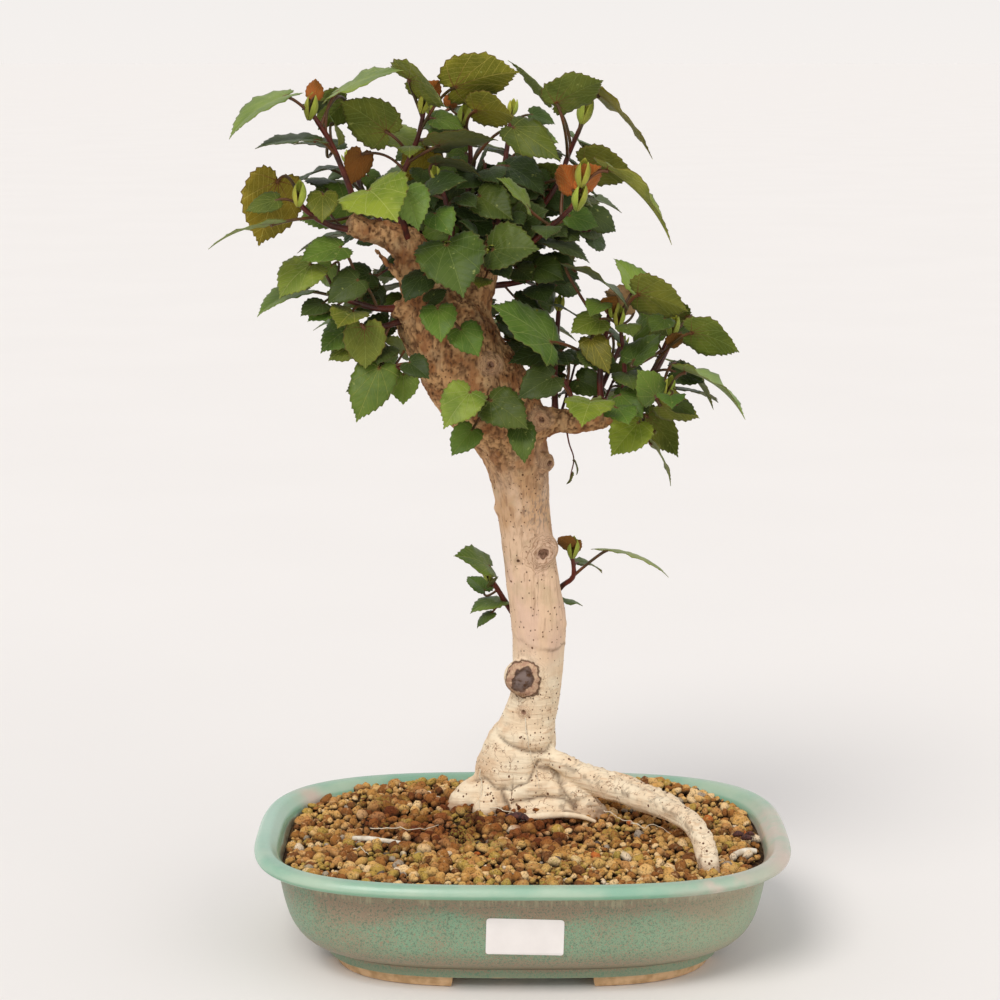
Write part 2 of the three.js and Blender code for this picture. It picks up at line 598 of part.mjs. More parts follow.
// Trunk, limbs and roots grown as one. A trunk that is grown a little cuts its neighbours.
function buildTrunk(grow) {
  const ball = (radius, at) => solidOf(
    new THREE.SphereGeometry(radius, ...WOOD_SIDES.knot).translate(...at),
  );
  const arms = [...Object.values(LIMBS), ...Object.values(ROOTS)];
  const trunk = joined([
    taper(TRUNK, WOOD_SIDES.trunk, grow, fluting),
    ...arms.map((stations) => taper(stations, WOOD_SIDES.limb, grow)),
    ...KNOTS.map(({ at, radius }) => ball(radius + grow, at)),
  ]);
  if (grow) return mainBody(trunk);
  return mainBody(KNOTS.reduce((wood, { hollow, hollowAt }) => (
    wood.subtract(ball(hollow, hollowAt))), trunk));
}

// Point of a bent blade: along and across are in parts of its length
function bladePoint(leaf, along, across, lift = 0) {
  const { length } = leaf;
  const rise = leaf.arch * 4 * along * (1 - along) + leaf.fold * Math.abs(across)
    + leaf.wave * 4 * across ** 2
      * Math.sin(BEND.ripple * along + leaf.phase + (across > 0 ? 0 : BEND.offset));
  return leaf.base.clone()
    .addScaledVector(leaf.axis, along * length)
    .addScaledVector(leaf.side, across * length)
    .addScaledVector(leaf.normal, rise * length + lift);
}

// Frame of a blade from where it starts and ends and how it faces
function frameLeaf(leaf, base, tip, facing) {
  leaf.base = base.clone();
  leaf.axis = tip.clone().sub(base);
  leaf.length = leaf.axis.length();
  leaf.axis.normalize();
  leaf.normal = facing.clone().addScaledVector(leaf.axis, -facing.dot(leaf.axis)).normalize();
  leaf.side = leaf.normal.clone().cross(leaf.axis);
  return leaf;
}

// Points of the stalk: it bows out from the stem and meets the notch of the blade from behind
// and a little below
function stalkPoints(leaf) {
  const reach = leaf.base.distanceTo(leaf.from);
  const middle = leaf.from.clone().lerp(leaf.base, 0.5).addScaledVector(leaf.heading, STALK.bow * reach);
  [[leaf.axis, STALK.behind], [leaf.normal, STALK.below]].forEach(([way, share]) => {
    const short = share * reach - leaf.base.clone().sub(middle).dot(way);
    if (short > 0) middle.addScaledVector(way, -short);
  });
  return [leaf.from, middle, leaf.base];
}

// Points spread over a blade and its stalk, to keep it clear of what is already there
function sampleLeaf(leaf) {
  const rows = Math.ceil((SAMPLE.outline * leaf.length) / SAMPLE.spacing);
  const columns = Math.ceil((SAMPLE.halfWidth * leaf.length) / SAMPLE.spacing);
  leaf.samples = [];
  for (let row = 0; row <= rows; row += 1) {
    const edge = OUTLINE.getPoint(row / rows);
    const spine = Math.min(Math.max(edge.x, SAMPLE.spine[0]), SAMPLE.spine[1]);
    for (let column = 0; column <= columns; column += 1) {
      const part = column / columns;
      const along = spine + (edge.x - spine) * part;
      leaf.samples.push(bladePoint(leaf, along, edge.y * part));
      if (column > 0) leaf.samples.push(bladePoint(leaf, along, -edge.y * part));
    }
  }
  const [from, middle, end] = stalkPoints(leaf);
  leaf.stalk = [[from, middle], [middle, end]];
  leaf.stalkSamples = SAMPLE.stalk.flatMap((part) => (
    leaf.stalk.map(([start, stop]) => start.clone().lerp(stop, part))));
  leaf.centre = bladePoint(leaf, SAMPLE.middle, 0);
}

function distanceToSegment(point, [start, end]) {
  const span = end.clone().sub(start);
  const part = point.clone().sub(start).dot(span) / Math.max(span.lengthSq(), WELD);
  return point.distanceTo(start.clone().addScaledVector(span, Math.min(Math.max(part, 0), 1)));
}

// Room that a leaf has, less than 1 where it is too near to something
function roomFor(leaf, placed, wood) {
  let room = Infinity;
  const tight = (value) => { room = Math.min(room, value); };
  wood.forEach(({ start, end, radius, shoot }) => {
    if (shoot !== undefined && shoot === leaf.shoot) return;
    const near = leaf.centre.distanceTo(start) - start.distanceTo(end) - radius;
    if (near > leaf.length) return;
    const points = shoot === undefined ? leaf.samples : [...leaf.samples, ...leaf.stalkSamples];
    points.forEach((point) => tight((distanceToSegment(point, [start, end]) - radius) / CLEAR.wood));
  });
  placed.forEach((other) => {
    const reach = leaf.centre.distanceTo(other.centre);
    if (reach < (leaf.length + other.length) * SAMPLE.bladeReach + CLEAR.blade) {
      leaf.samples.forEach((point) => other.samples.forEach((near) => tight(
        point.distanceTo(near) / CLEAR.blade,
      )));
    }
    if (reach > SAMPLE.stalkReach) return;
    const points = other.shoot === leaf.shoot ? leaf.samples : [...leaf.samples, ...leaf.stalkSamples];
    points.forEach((point) => other.stalk.forEach((span) => tight(
      distanceToSegment(point, span) / CLEAR.wood,
    )));
    other.samples.forEach((point) => leaf.stalk.forEach((span) => tight(
      distanceToSegment(point, span) / CLEAR.wood,
    )));
  });
  return room;
}

// Place along a stem, from 0 to 1, with the way that it heads
function alongStem(points, part) {
  const scaled = part * (points.length - 1);
  const index = Math.min(Math.floor(scaled), points.length - 2);
  const place = points[index].clone().lerp(points[index + 1], scaled - index);
  const heading = points[index + 1].clone().sub(points[index]).normalize();
  return { place, heading };
}

function newLeaf(shoot, points, part, draw) {
  const { place, heading } = alongStem(points, part);
  const [arch, fold, wave] = [BEND.arch, BEND.fold, BEND.wave].map((range) => drawIn(range, draw));
  return { shoot, from: place, heading, arch, fold, wave, phase: TURN * draw() };
}

// The first of several placings that has room, or else the roomiest
function settle(placings, placed, wood) {
  let best;
  for (const leaf of placings) {
    sampleLeaf(leaf);
    leaf.room = roomFor(leaf, placed, wood);
    if (!best || leaf.room > best.room) best = leaf;
    if (leaf.room >= 1) break;
  }
  return best;
}

// All leaves of the tree, those placed by hand first
function growLeaves(wood) {
  const draw = drawsFrom(RULE.seed);
  const placed = [];
  Object.entries(SHOOTS).forEach(([shoot, { stem, leaves }]) => {
    const points = stem.map(vector);
    leaves.forEach(([part, base, tip, facing]) => {
      const leaf = newLeaf(shoot, points, part, draw);
      const placings = DEPTH_STEPS.map((step) => {
        const [start, end] = [base, tip].map(([x, y, z]) => vector([x, y + step, z]));
        return frameLeaf({ ...leaf }, start, end, vector(FACING[facing]));
      });
      placed.push(settle(placings, placed, wood));
    });
  });
  const up = new THREE.Vector3(0, 0, 1);
  Object.entries(RULED).forEach(([shoot, { stem, count }]) => {
    const points = stem.map(vector);
    const start = TURN * draw();
    for (let i = 0; i < count; i += 1) {
      const part = RULE.first + ((1 - RULE.first) * (i + 0.5)) / count;
      const leaf = newLeaf(shoot, points, part, draw);
      const stalk = drawIn(RULE.stalk, draw);
      const length = drawIn(RULE.blade, draw);
      const across = up.clone().cross(leaf.heading).normalize();
      const above = leaf.heading.clone().cross(across);
      const placings = RULE.swings.map((swing) => {
        const angle = start + i * RULE.turn + swing;
        const outward = across.clone().multiplyScalar(Math.cos(angle))
          .addScaledVector(above, Math.sin(angle));
        const reach = leaf.heading.clone().multiplyScalar(RULE.lean).add(outward).normalize();
        const base = leaf.from.clone().addScaledVector(reach, stalk);
        const flat = new THREE.Vector3(reach.x, reach.y, -RULE.droop).normalize();
        const tip = base.clone().addScaledVector(flat, length);
        return frameLeaf({ ...leaf }, base, tip, up.clone().addScaledVector(flat, RULE.tilt));
      });
      const best = settle(placings, placed, wood);
      if (best.room >= 1) placed.push(best);
    }
  });
  return placed;
}

// One leaf in one mesh: a bent blade with a saw-toothed edge, both faces split alike, whose
// notch opens into the three-sided stalk
function buildLeaf(leaf) {
  const teeth = leaf.length >= BLADE.large ? 3 : 2;
  const side = [];
  for (let i = 1; i <= 2 * teeth + 1; i += 1) {
    const part = i / (2 * teeth + 2);
    const point = OUTLINE.getPoint(part);
    const tangent = OUTLINE.getTangent(part);
    const push = i % 2 ? BLADE.tooth : -BLADE.notch;
    side.push([point.x - tangent.y * push, point.y + tangent.x * push]);
  }
  const flat = [];
  const add = (along, across) => flat.push([along, across]) - 1;
  const spine = Array.from({ length: BLADE.spineSteps + 1 }, (_, i) => add(i / BLADE.spineSteps, 0));
  const right = [spine[0], ...side.map(([along, across]) => add(along, across)), spine.at(-1)];
  const left = [spine[0], ...side.map(([along, across]) => add(along, -across)), spine.at(-1)];
  const half = BLADE.thickness / 2;
  const count = flat.length;
  const vertices = [half, -half].flatMap((lift) => (
    flat.map(([along, across]) => bladePoint(leaf, along, across, lift))));
  const triangles = [];
  [[right, 1], [left, -1]].forEach(([edge, turn]) => {
    zipFaces(edge, spine).forEach((face) => {
      const [a, b, c] = turn > 0 ? face : [...face].reverse();
      triangles.push([a, c, b], [a + count, b + count, c + count]);
    });
  });
  const top = spine[0];
  const bottom = top + count;
  const [from, middle, base] = stalkPoints(leaf);
  const arrive = stalkFrame(leaf, base.clone().sub(middle).normalize()).across;
  [STALK.radius, -STALK.radius].forEach((reach) => {
    vertices.push(base.clone().addScaledVector(leaf.axis, -STALK.back).addScaledVector(arrive, reach));
  });
  const rightEdge = vertices.length - 2;
  const leftEdge = vertices.length - 1;
  const rim = [...right.slice(1), ...left.slice(1, -1).reverse()];
  rim.slice(0, -1).forEach((a, i) => {
    const b = rim[i + 1];
    triangles.push([a, b, b + count], [a, b + count, a + count]);
  });
  const [first, last] = [rim[0], rim.at(-1)];
  triangles.push([rightEdge, top, first], [rightEdge, first, first + count]);
  triangles.push([rightEdge, first + count, bottom], [leftEdge, bottom, last + count]);
  triangles.push([leftEdge, last + count, last], [leftEdge, last, top]);
  triangles.push([bottom, leftEdge, rightEdge]);
  let ring = [top, rightEdge, leftEdge];
  [[middle, base.clone().sub(from)], [from, middle.clone().sub(from)]].forEach(([point, way]) => {
    const { up, across } = stalkFrame(leaf, way.normalize());
    const begin = vertices.length;
    STALK.corners.forEach(([high, wide]) => {
      vertices.push(point.clone().addScaledVector(up, high * STALK.radius)
        .addScaledVector(across, wide * STALK.radius));
    });
    ring.forEach((end, i) => {
      const turn = (i + 1) % ring.length;
      triangles.push([end, ring[turn], begin + turn], [end, begin + turn, begin + i]);
    });
    ring = [begin, begin + 1, begin + 2];
  });
  triangles.push(ring);
  return solidOf(meshGeometry(vertices, triangles));
}

// Triangles between one side's edge and the midrib, which share their first and last points
function zipFaces(edge, spine) {
  const faces = [];
  let i = 1;
  let j = 0;
  while (i < edge.length - 1 || j < spine.length - 2) {
    const edgeNext = (i + 1) / (edge.length - 1);
    const spineNext = (j + 1) / (spine.length - 1);
    const onEdge = i < edge.length - 1 && (edgeNext <= spineNext || j >= spine.length - 2);
    faces.push(onEdge ? [edge[i], edge[i + 1], spine[j]] : [edge[i], spine[j + 1], spine[j]]);
    if (onEdge) i += 1;
    else j += 1;
  }
  return faces;
}

// Directions round a stalk where it heads a given way, in step with the blade's upper side
function stalkFrame(leaf, heading) {
  const up = leaf.normal.clone().addScaledVector(leaf.axis, -STALK.twist * leaf.normal.dot(heading));
  up.addScaledVector(heading, -up.dot(heading)).normalize();
  return { up, across: up.clone().cross(heading) };
}

// Woody stem that ends in a slim bud, with its leaves fused to it, seated on the bark
function buildShoot(stem, leaves, thickWood) {
  const last = stem.length - 1;
  const stations = stem.map((place, i) => [
    ...place, STEM.root + ((STEM.tip - STEM.root) * i) / last,
  ]);
  const { place, heading } = alongStem(stem.map(vector), 1);
  BUD.forEach(([reach, radius]) => {
    const at = place.clone().addScaledVector(heading, reach);
    stations.push([at.x, at.y, at.z, radius]);
  });
  const pieces = [taper(stations, STEM.sides), ...leaves.map(buildLeaf)];
  return mainBody(joined(pieces).subtract(thickWood));
}

// The tree's wood as tapering spans, to keep leaves clear of it
function woodSpans() {
  const spans = [];
  const add = (stations, shoot) => {
    for (let i = 0; i < stations.length - 1; i += 1) {
      spans.push({
        start: vector(stations[i]), end: vector(stations[i + 1]),
        radius: stations[i][3] ?? STEM.root, shoot,
      });
    }
  };
  [TRUNK, ...Object.values(LIMBS)].forEach((stations) => add(stations));
  Object.entries({ ...SHOOTS, ...RULED }).forEach(([shoot, { stem }]) => {
    const { place, heading } = alongStem(stem.map(vector), 1);
    add([...stem, place.addScaledVector(heading, BUD.at(-1)[0]).toArray()], shoot);
  });
  return spans;
}

const tree = new THREE.Group();

function addPiece(name, solid, [color, roughness]) {
  const material = new THREE.MeshStandardMaterial({ color, roughness, metalness: 0 });
  const mesh = new THREE.Mesh(geometryOf(solid), material);
  mesh.name = name;
  tree.add(mesh);
}

const trunk = buildTrunk(0);
const thickTrunk = buildTrunk(SEAT);
const looseCuts = Object.values(LOOSE).map((stations) => taper(stations, WOOD_SIDES.limb, SEAT));
const screenCuts = [-DRAIN.x, DRAIN.x].map((x) => box(
  SCREEN.length + 2 * SEAT, SCREEN.depth + 2 * SEAT, 2 * (SCREEN.thickness + 2 * SEAT), x, 0, FLOOR,
));

addPiece('pot', buildPot(), FINISH.glaze);
addPiece('soil', buildSoil(thickTrunk, looseCuts, screenCuts), FINISH.soil);
addPiece('trunk', trunk, FINISH.bark);
addPiece('label', buildLabel(), FINISH.paper);
addPiece('drain_screen_left', buildScreen(-DRAIN.x), FINISH.mesh);
addPiece('drain_screen_right', buildScreen(DRAIN.x), FINISH.mesh);
Object.entries(LOOSE).forEach(([name, stations]) => {
  addPiece(name, taper(stations, WOOD_SIDES.limb), FINISH.deadRoot);
});

const leaves = growLeaves(woodSpans());
Object.entries({ ...SHOOTS, ...RULED }).forEach(([shoot, { stem }]) => {
  const own = leaves.filter((leaf) => leaf.shoot === shoot);
  addPiece(`shoot_${shoot}`, buildShoot(stem, own, thickTrunk), FINISH.leaf);
});

// Stand the tree on the ground, with the origin under the middle of its box
tree.updateMatrixWorld(true);
const bounds = new THREE.Box3().setFromObject(tree, true);
const middle = bounds.getCenter(new THREE.Vector3());
tree.position.set(-middle.x, -middle.y, -bounds.min.z);

export default tree;
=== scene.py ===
"""Looks of a sea hibiscus bonsai (Hibiscus tiliaceus) in a glazed clay tray.

Places are written in millimetres from the middle of the tray's footprint, +Z up, with the front of
the tree facing -Y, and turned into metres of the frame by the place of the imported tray.
"""

import logging
import math
from dataclasses import dataclass, field, replace
from enum import Enum
from typing import Callable, Iterable, Sequence

import bmesh
import bpy
import numpy as np
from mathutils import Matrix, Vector
from mathutils.bvhtree import BVHTree


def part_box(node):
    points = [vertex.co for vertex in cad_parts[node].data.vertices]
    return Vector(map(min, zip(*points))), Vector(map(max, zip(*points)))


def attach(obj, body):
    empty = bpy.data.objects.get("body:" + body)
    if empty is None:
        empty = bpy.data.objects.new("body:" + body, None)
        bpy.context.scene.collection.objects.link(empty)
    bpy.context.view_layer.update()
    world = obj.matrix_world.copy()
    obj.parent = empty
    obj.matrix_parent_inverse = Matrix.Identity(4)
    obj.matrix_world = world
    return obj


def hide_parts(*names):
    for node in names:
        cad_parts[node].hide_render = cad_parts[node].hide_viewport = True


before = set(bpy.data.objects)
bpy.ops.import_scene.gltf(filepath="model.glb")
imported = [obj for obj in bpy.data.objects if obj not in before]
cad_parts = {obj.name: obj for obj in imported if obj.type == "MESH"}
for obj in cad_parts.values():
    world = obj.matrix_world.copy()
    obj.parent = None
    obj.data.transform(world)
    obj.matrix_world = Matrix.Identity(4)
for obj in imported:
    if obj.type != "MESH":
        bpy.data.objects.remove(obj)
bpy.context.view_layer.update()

log = logging.getLogger("bonsai")

MM = 0.001
BODY = "root"
Point = Sequence[float]
Colour = tuple[float, float, float]
Skin = tuple[np.ndarray, list]
Socket, Tree = bpy.types.NodeSocket, bpy.types.NodeTree
Object, Mesh, Material = bpy.types.Object, bpy.types.Mesh, bpy.types.Material


def datum() -> np.ndarray:
    """Place of the middle of the tray's footprint in the frame.

    Returns:
        The place, in millimetres.
    """
    low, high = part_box("pot")
    return np.array([(low.x + high.x) / 2, (low.y + high.y) / 2, low.z]) / MM


DATUM = datum()


def metres(points: np.ndarray) -> np.ndarray:
    """Turns places in millimetres from the middle of the tray into metres of the frame.

    Args:
        points: one place or an array of them.

    Returns:
        The same places in the frame.
    """
    return (np.asarray(points, float) + DATUM) * MM


# Curves and noise


def spline(points: np.ndarray, parts: np.ndarray) -> np.ndarray:
    """Smooth curve through points, uniform in its parameter.

    Args:
        points: the points, in any number of dimensions.
        parts: places along the curve, from 0 to 1.

    Returns:
        One point for each part.
    """
    points = np.asarray(points, float)
    scaled = np.asarray(parts, float) * (len(points) - 1)
    index = np.minimum(np.floor(scaled).astype(int), len(points) - 1)
    rest = (scaled - index)[:, None]
    last = len(points) - 1
    a, b, c, d = (points[np.clip(index + step, 0, last)] for step in (-1, 0, 1, 2))
    lead, trail = (c - a) / 2, (d - b) / 2
    cubic = (2 * b - 2 * c + lead + trail) * rest**3
    square = (3 * c - 3 * b - 2 * lead - trail) * rest**2
    return cubic + square + lead * rest + b


def arc(start: np.ndarray, corner: np.ndarray, end: np.ndarray, count: int) -> np.ndarray:
    """Points of an arc that leaves its start towards a corner and reaches its end from it."""
    parts = np.linspace(0, 1, count)[:, None]
    return (1 - parts) ** 2 * start + 2 * parts * (1 - parts) * corner + parts**2 * end


def smoothstep(low: float, high: float, values: np.ndarray) -> np.ndarray:
    """Rises smoothly from 0 at low to 1 at high."""
    part = np.clip((np.asarray(values, float) - low) / (high - low), 0, 1)
    return part * part * (3 - 2 * part)


def lattice(cells: np.ndarray) -> np.ndarray:
    """Fixed scattered value between 0 and 1 for each whole-numbered cell.

    Args:
        cells: whole-numbered cells, one in each row.

    Returns:
        One value for each cell.
    """
    mixed = (cells * np.array([73856093, 19349663, 83492791])).sum(-1).astype(np.uint64)
    mixed = (mixed ^ (mixed >> np.uint64(13))) * np.uint64(0x5BD1E995)
    mixed = (mixed ^ (mixed >> np.uint64(15))) & np.uint64(0xFFFFFF)
    return mixed / float(0xFFFFFF)


def value_noise(points: np.ndarray) -> np.ndarray:
    """Smooth noise between 0 and 1 with a grain of one unit.

    Args:
        points: places, one in each row.

    Returns:
        One value for each place.
    """
    base = np.floor(points).astype(np.int64)
    part = points - base
    part = part * part * (3 - 2 * part)
    total = np.zeros(len(points))
    for corner in np.ndindex(2, 2, 2):
        weight = np.prod(np.where(np.array(corner) == 1, part, 1 - part), axis=1)
        total += weight * lattice(base + np.array(corner))
    return total


def fractal(points: np.ndarray, scale: Point, octaves: int = 3) -> np.ndarray:
    """Noise of several grains.

    Args:
        points: places in millimetres.
        scale: cells for each millimetre along x, y and z.
        octaves: how many grains, each half the size of the one before.

    Returns:
        Values around 0.5.
    """
    total, weight, size = np.zeros(len(points)), 0.0, 1.0
    for octave in range(octaves):
        total += size * value_noise(points * np.array(scale) * 2**octave + 31.7 * octave)
        weight += size
        size /= 2
    return total / weight


class Draws:
    """Seeded draws between 0 and 1, the same on every machine."""

    MASK = 0xFFFFFFFF

    def __init__(self, seed: int) -> None:
        """Starts the draws at a seed."""
        self.state = seed

    def __call__(self) -> float:
        """Next draw.

        Returns:
            The draw.
        """
        self.state = (self.state + 0x6D2B79F5) & self.MASK
        mixed = ((self.state ^ (self.state >> 15)) * (1 | self.state)) & self.MASK
        mixed = ((mixed + ((mixed ^ (mixed >> 7)) * (61 | mixed))) & self.MASK) ^ mixed
        return ((mixed ^ (mixed >> 14)) & self.MASK) / 4294967296

    def between(self, low: float, high: float) -> float:
        """Next draw, scaled to a range."""
        return low + (high - low) * self()


# Meshes


def linked(name: str, data: bpy.types.ID) -> Object:
    """Object with its data, linked to the scene.

    Args:
        name: its name.
        data: its mesh, light or camera.

    Returns:
        The object.
    """
    obj = bpy.data.objects.new(name, data)
    bpy.context.scene.collection.objects.link(obj)
    return obj


def mesh_object(name: str, vertices: np.ndarray, faces: Iterable[Sequence[int]]) -> Object:
    """Smooth object at the origin, whose mesh holds its place.

    Args:
        name: its name.
        vertices: places in millimetres from the middle of the tray.
        faces: corners of each face.

    Returns:
        The object, linked to the scene.
    """
    mesh = bpy.data.meshes.new(name)
    mesh.from_pydata(metres(vertices).tolist(), [], [list(map(int, face)) for face in faces])
    mesh.shade_smooth()
    mesh.update()
    return linked(name, mesh)


def plain_mesh(obj: Object) -> Object:
    """Turns what the modifiers make into the object's own mesh, and takes them off.

    Args:
        obj: the object.

    Returns:
        The same object.
    """
    bpy.context.view_layer.update()
    evaluated = obj.evaluated_get(bpy.context.evaluated_depsgraph_get())
    mesh = bpy.data.meshes.new_from_object(evaluated)
    obj.modifiers.clear()
    old = obj.data
    obj.data = mesh
    mesh.name = obj.name
    if old.users == 0:
        bpy.data.meshes.remove(old)
    return obj


def coordinates(mesh: Mesh) -> np.ndarray:
    """A mesh's vertices in millimetres from the middle of the tray.

    Args:
        mesh: the mesh.

    Returns:
        One place for each vertex.
    """
    flat = np.empty(len(mesh.vertices) * 3)
    mesh.vertices.foreach_get("co", flat)
    return flat.reshape(-1, 3) / MM - DATUM


def move_vertices(mesh: Mesh, vertices: np.ndarray) -> None:
    """Puts a mesh's vertices at places in millimetres from the middle of the tray."""
    mesh.vertices.foreach_set("co", metres(vertices).ravel())
    mesh.update()


def vertex_normals(mesh: Mesh) -> np.ndarray:
    """Outward directions at a mesh's vertices.

    Args:
        mesh: the mesh.

    Returns:
        One direction for each vertex.
    """
    flat = np.empty(len(mesh.vertices) * 3)
    mesh.vertex_normals.foreach_get("vector", flat)
    return flat.reshape(-1, 3)


def store(mesh: Mesh, name: str, values: np.ndarray, kind: str = "FLOAT") -> None:
    """Keeps a value for each vertex of a mesh.

    Args:
        mesh: the mesh.
        name: the attribute's name.
        values: one number, vector or colour for each vertex.
        kind: the attribute's type.
    """
    attribute = mesh.attributes.new(name, kind, "POINT")
    key = {"FLOAT": "value", "FLOAT_VECTOR": "vector", "FLOAT_COLOR": "color"}[kind]
    attribute.data.foreach_set(key, np.asarray(values).ravel())


def dress(obj: Object, tree: Tree, values: dict[str, float]) -> None:
    """Runs a node tree on an object and keeps what it makes as a plain mesh.

    Args:
        obj: the object.
        tree: the tree.
        values: its inputs, by their names.
    """
    modifier = obj.modifiers.new("nodes", "NODES")
    modifier.node_group = tree
    for item in tree.interface.items_tree:
        if item.in_out == "INPUT" and item.name in values:
            modifier[item.identifier] = values[item.name]
    plain_mesh(obj)


def settle_piece(piece: Object, slot: str, *nodes: str) -> Object:
    """Ties a finished piece to the tree's body and hides the nodes of the frame that it stands for.

    Args:
        piece: the piece.
        slot: not used.
        nodes: the nodes of the frame that it stands for.

    Returns:
        The same piece.
    """
    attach(piece, BODY)
    if nodes:
        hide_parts(*nodes)
    triangles = sum(len(face.vertices) - 2 for face in piece.data.polygons)
    log.info("%s: %d triangles", piece.name, triangles)
    return piece


def skin_piece(name: str, skin: Skin, finish: Material, slot: str, *nodes: str) -> Object:
    """Makes a finished piece from a skin.

    Args:
        name: its name.
        skin: its vertices and faces.
        finish: its material.
        slot: not used.
        nodes: the nodes of the frame that it stands for.

    Returns:
        The piece.
    """
    piece = mesh_object(name, *skin)
    piece.data.materials.append(finish)
    return settle_piece(piece, slot, *nodes)


def ray_target(obj: Object) -> BVHTree:
    """Surface of an object, to cast rays at."""
    return BVHTree.FromObject(obj, bpy.context.evaluated_depsgraph_get())


def loft(rings: np.ndarray, first: np.ndarray, last: np.ndarray) -> Skin:
    """Closed skin through rings of equally many points.

    Args:
        rings: an array of rings, points and coordinates.
        first: middle of the cap before the first ring.
        last: middle of the cap after the last ring.

    Returns:
        The vertices and the faces, which look outwards where the rings turn left going up.
    """
    count, sides = rings.shape[:2]
    vertices = np.vstack([rings.reshape(-1, 3), first, last])
    low, high = count * sides, count * sides + 1
    faces: list[tuple[int, ...]] = []
    for side in range(sides):
        beside = (side + 1) % sides
        faces.append((low, beside, side))
        faces.append((high, (count - 1) * sides + side, (count - 1) * sides + beside))
        for ring in range(count - 1):
            a, b = ring * sides + side, ring * sides + beside
            faces.append((a, b, b + sides, a + sides))
    return vertices, faces


def tube(
    stations: np.ndarray,
    sides: int,
    shape: Callable[[np.ndarray, float], np.ndarray] | None = None,
    steps: int = 1,
    round_end: float = 0.35,
) -> Skin:
    """Round, tapering, closed tube along stations, each with a place and a radius.

    Args:
        stations: rows of x, y, z and radius.
        sides: points round it.
        shape: factor on the radius for an angle and a height.
        steps: rings for each stretch between stations.
        round_end: how far an end stands out, in parts of its radius.

    Returns:
        The vertices and the faces.
    """
    stations = np.asarray(stations, float)
    if steps > 1:
        stations = spline(stations, np.linspace(0, 1, (len(stations) - 1) * steps + 1))
    places, radii = stations[:, :3], stations[:, 3]
    headings = np.gradient(places, axis=0)
    headings /= np.linalg.norm(headings, axis=1)[:, None]
    first = np.abs(headings[0])
    across = np.array([0.0, 1, 0]) if first[0] > first[1] + first[2] else np.array([1.0, 0, 0])
    angles = np.arange(sides) * 2 * math.pi / sides
    rings = []
    for place, heading, radius in zip(places, headings, radii):
        across = across - across.dot(heading) * heading
        across /= np.linalg.norm(across)
        up = np.cross(heading, across)
        reach = radius * (shape(angles, place[2]) if shape else np.ones(sides))
        sideways, upwards = (np.cos(angles) * reach)[:, None], (np.sin(angles) * reach)[:, None]
        rings.append(place + sideways * across + upwards * up)
    start = places[0] - headings[0] * round_end * radii[0]
    end = places[-1] + headings[-1] * round_end * radii[-1]
    return loft(np.array(rings), start, end)


def merged(parts: Iterable[Skin]) -> Skin:
    """Vertices and faces of several skins in one list.

    Args:
        parts: the skins.

    Returns:
        The one skin.
    """
    vertices, faces, offset = [], [], 0
    for points, corners in parts:
        vertices.append(points)
        faces.extend(tuple(index + offset for index in face) for face in corners)
        offset += len(points)
    return np.vstack(vertices), faces


# Node trees


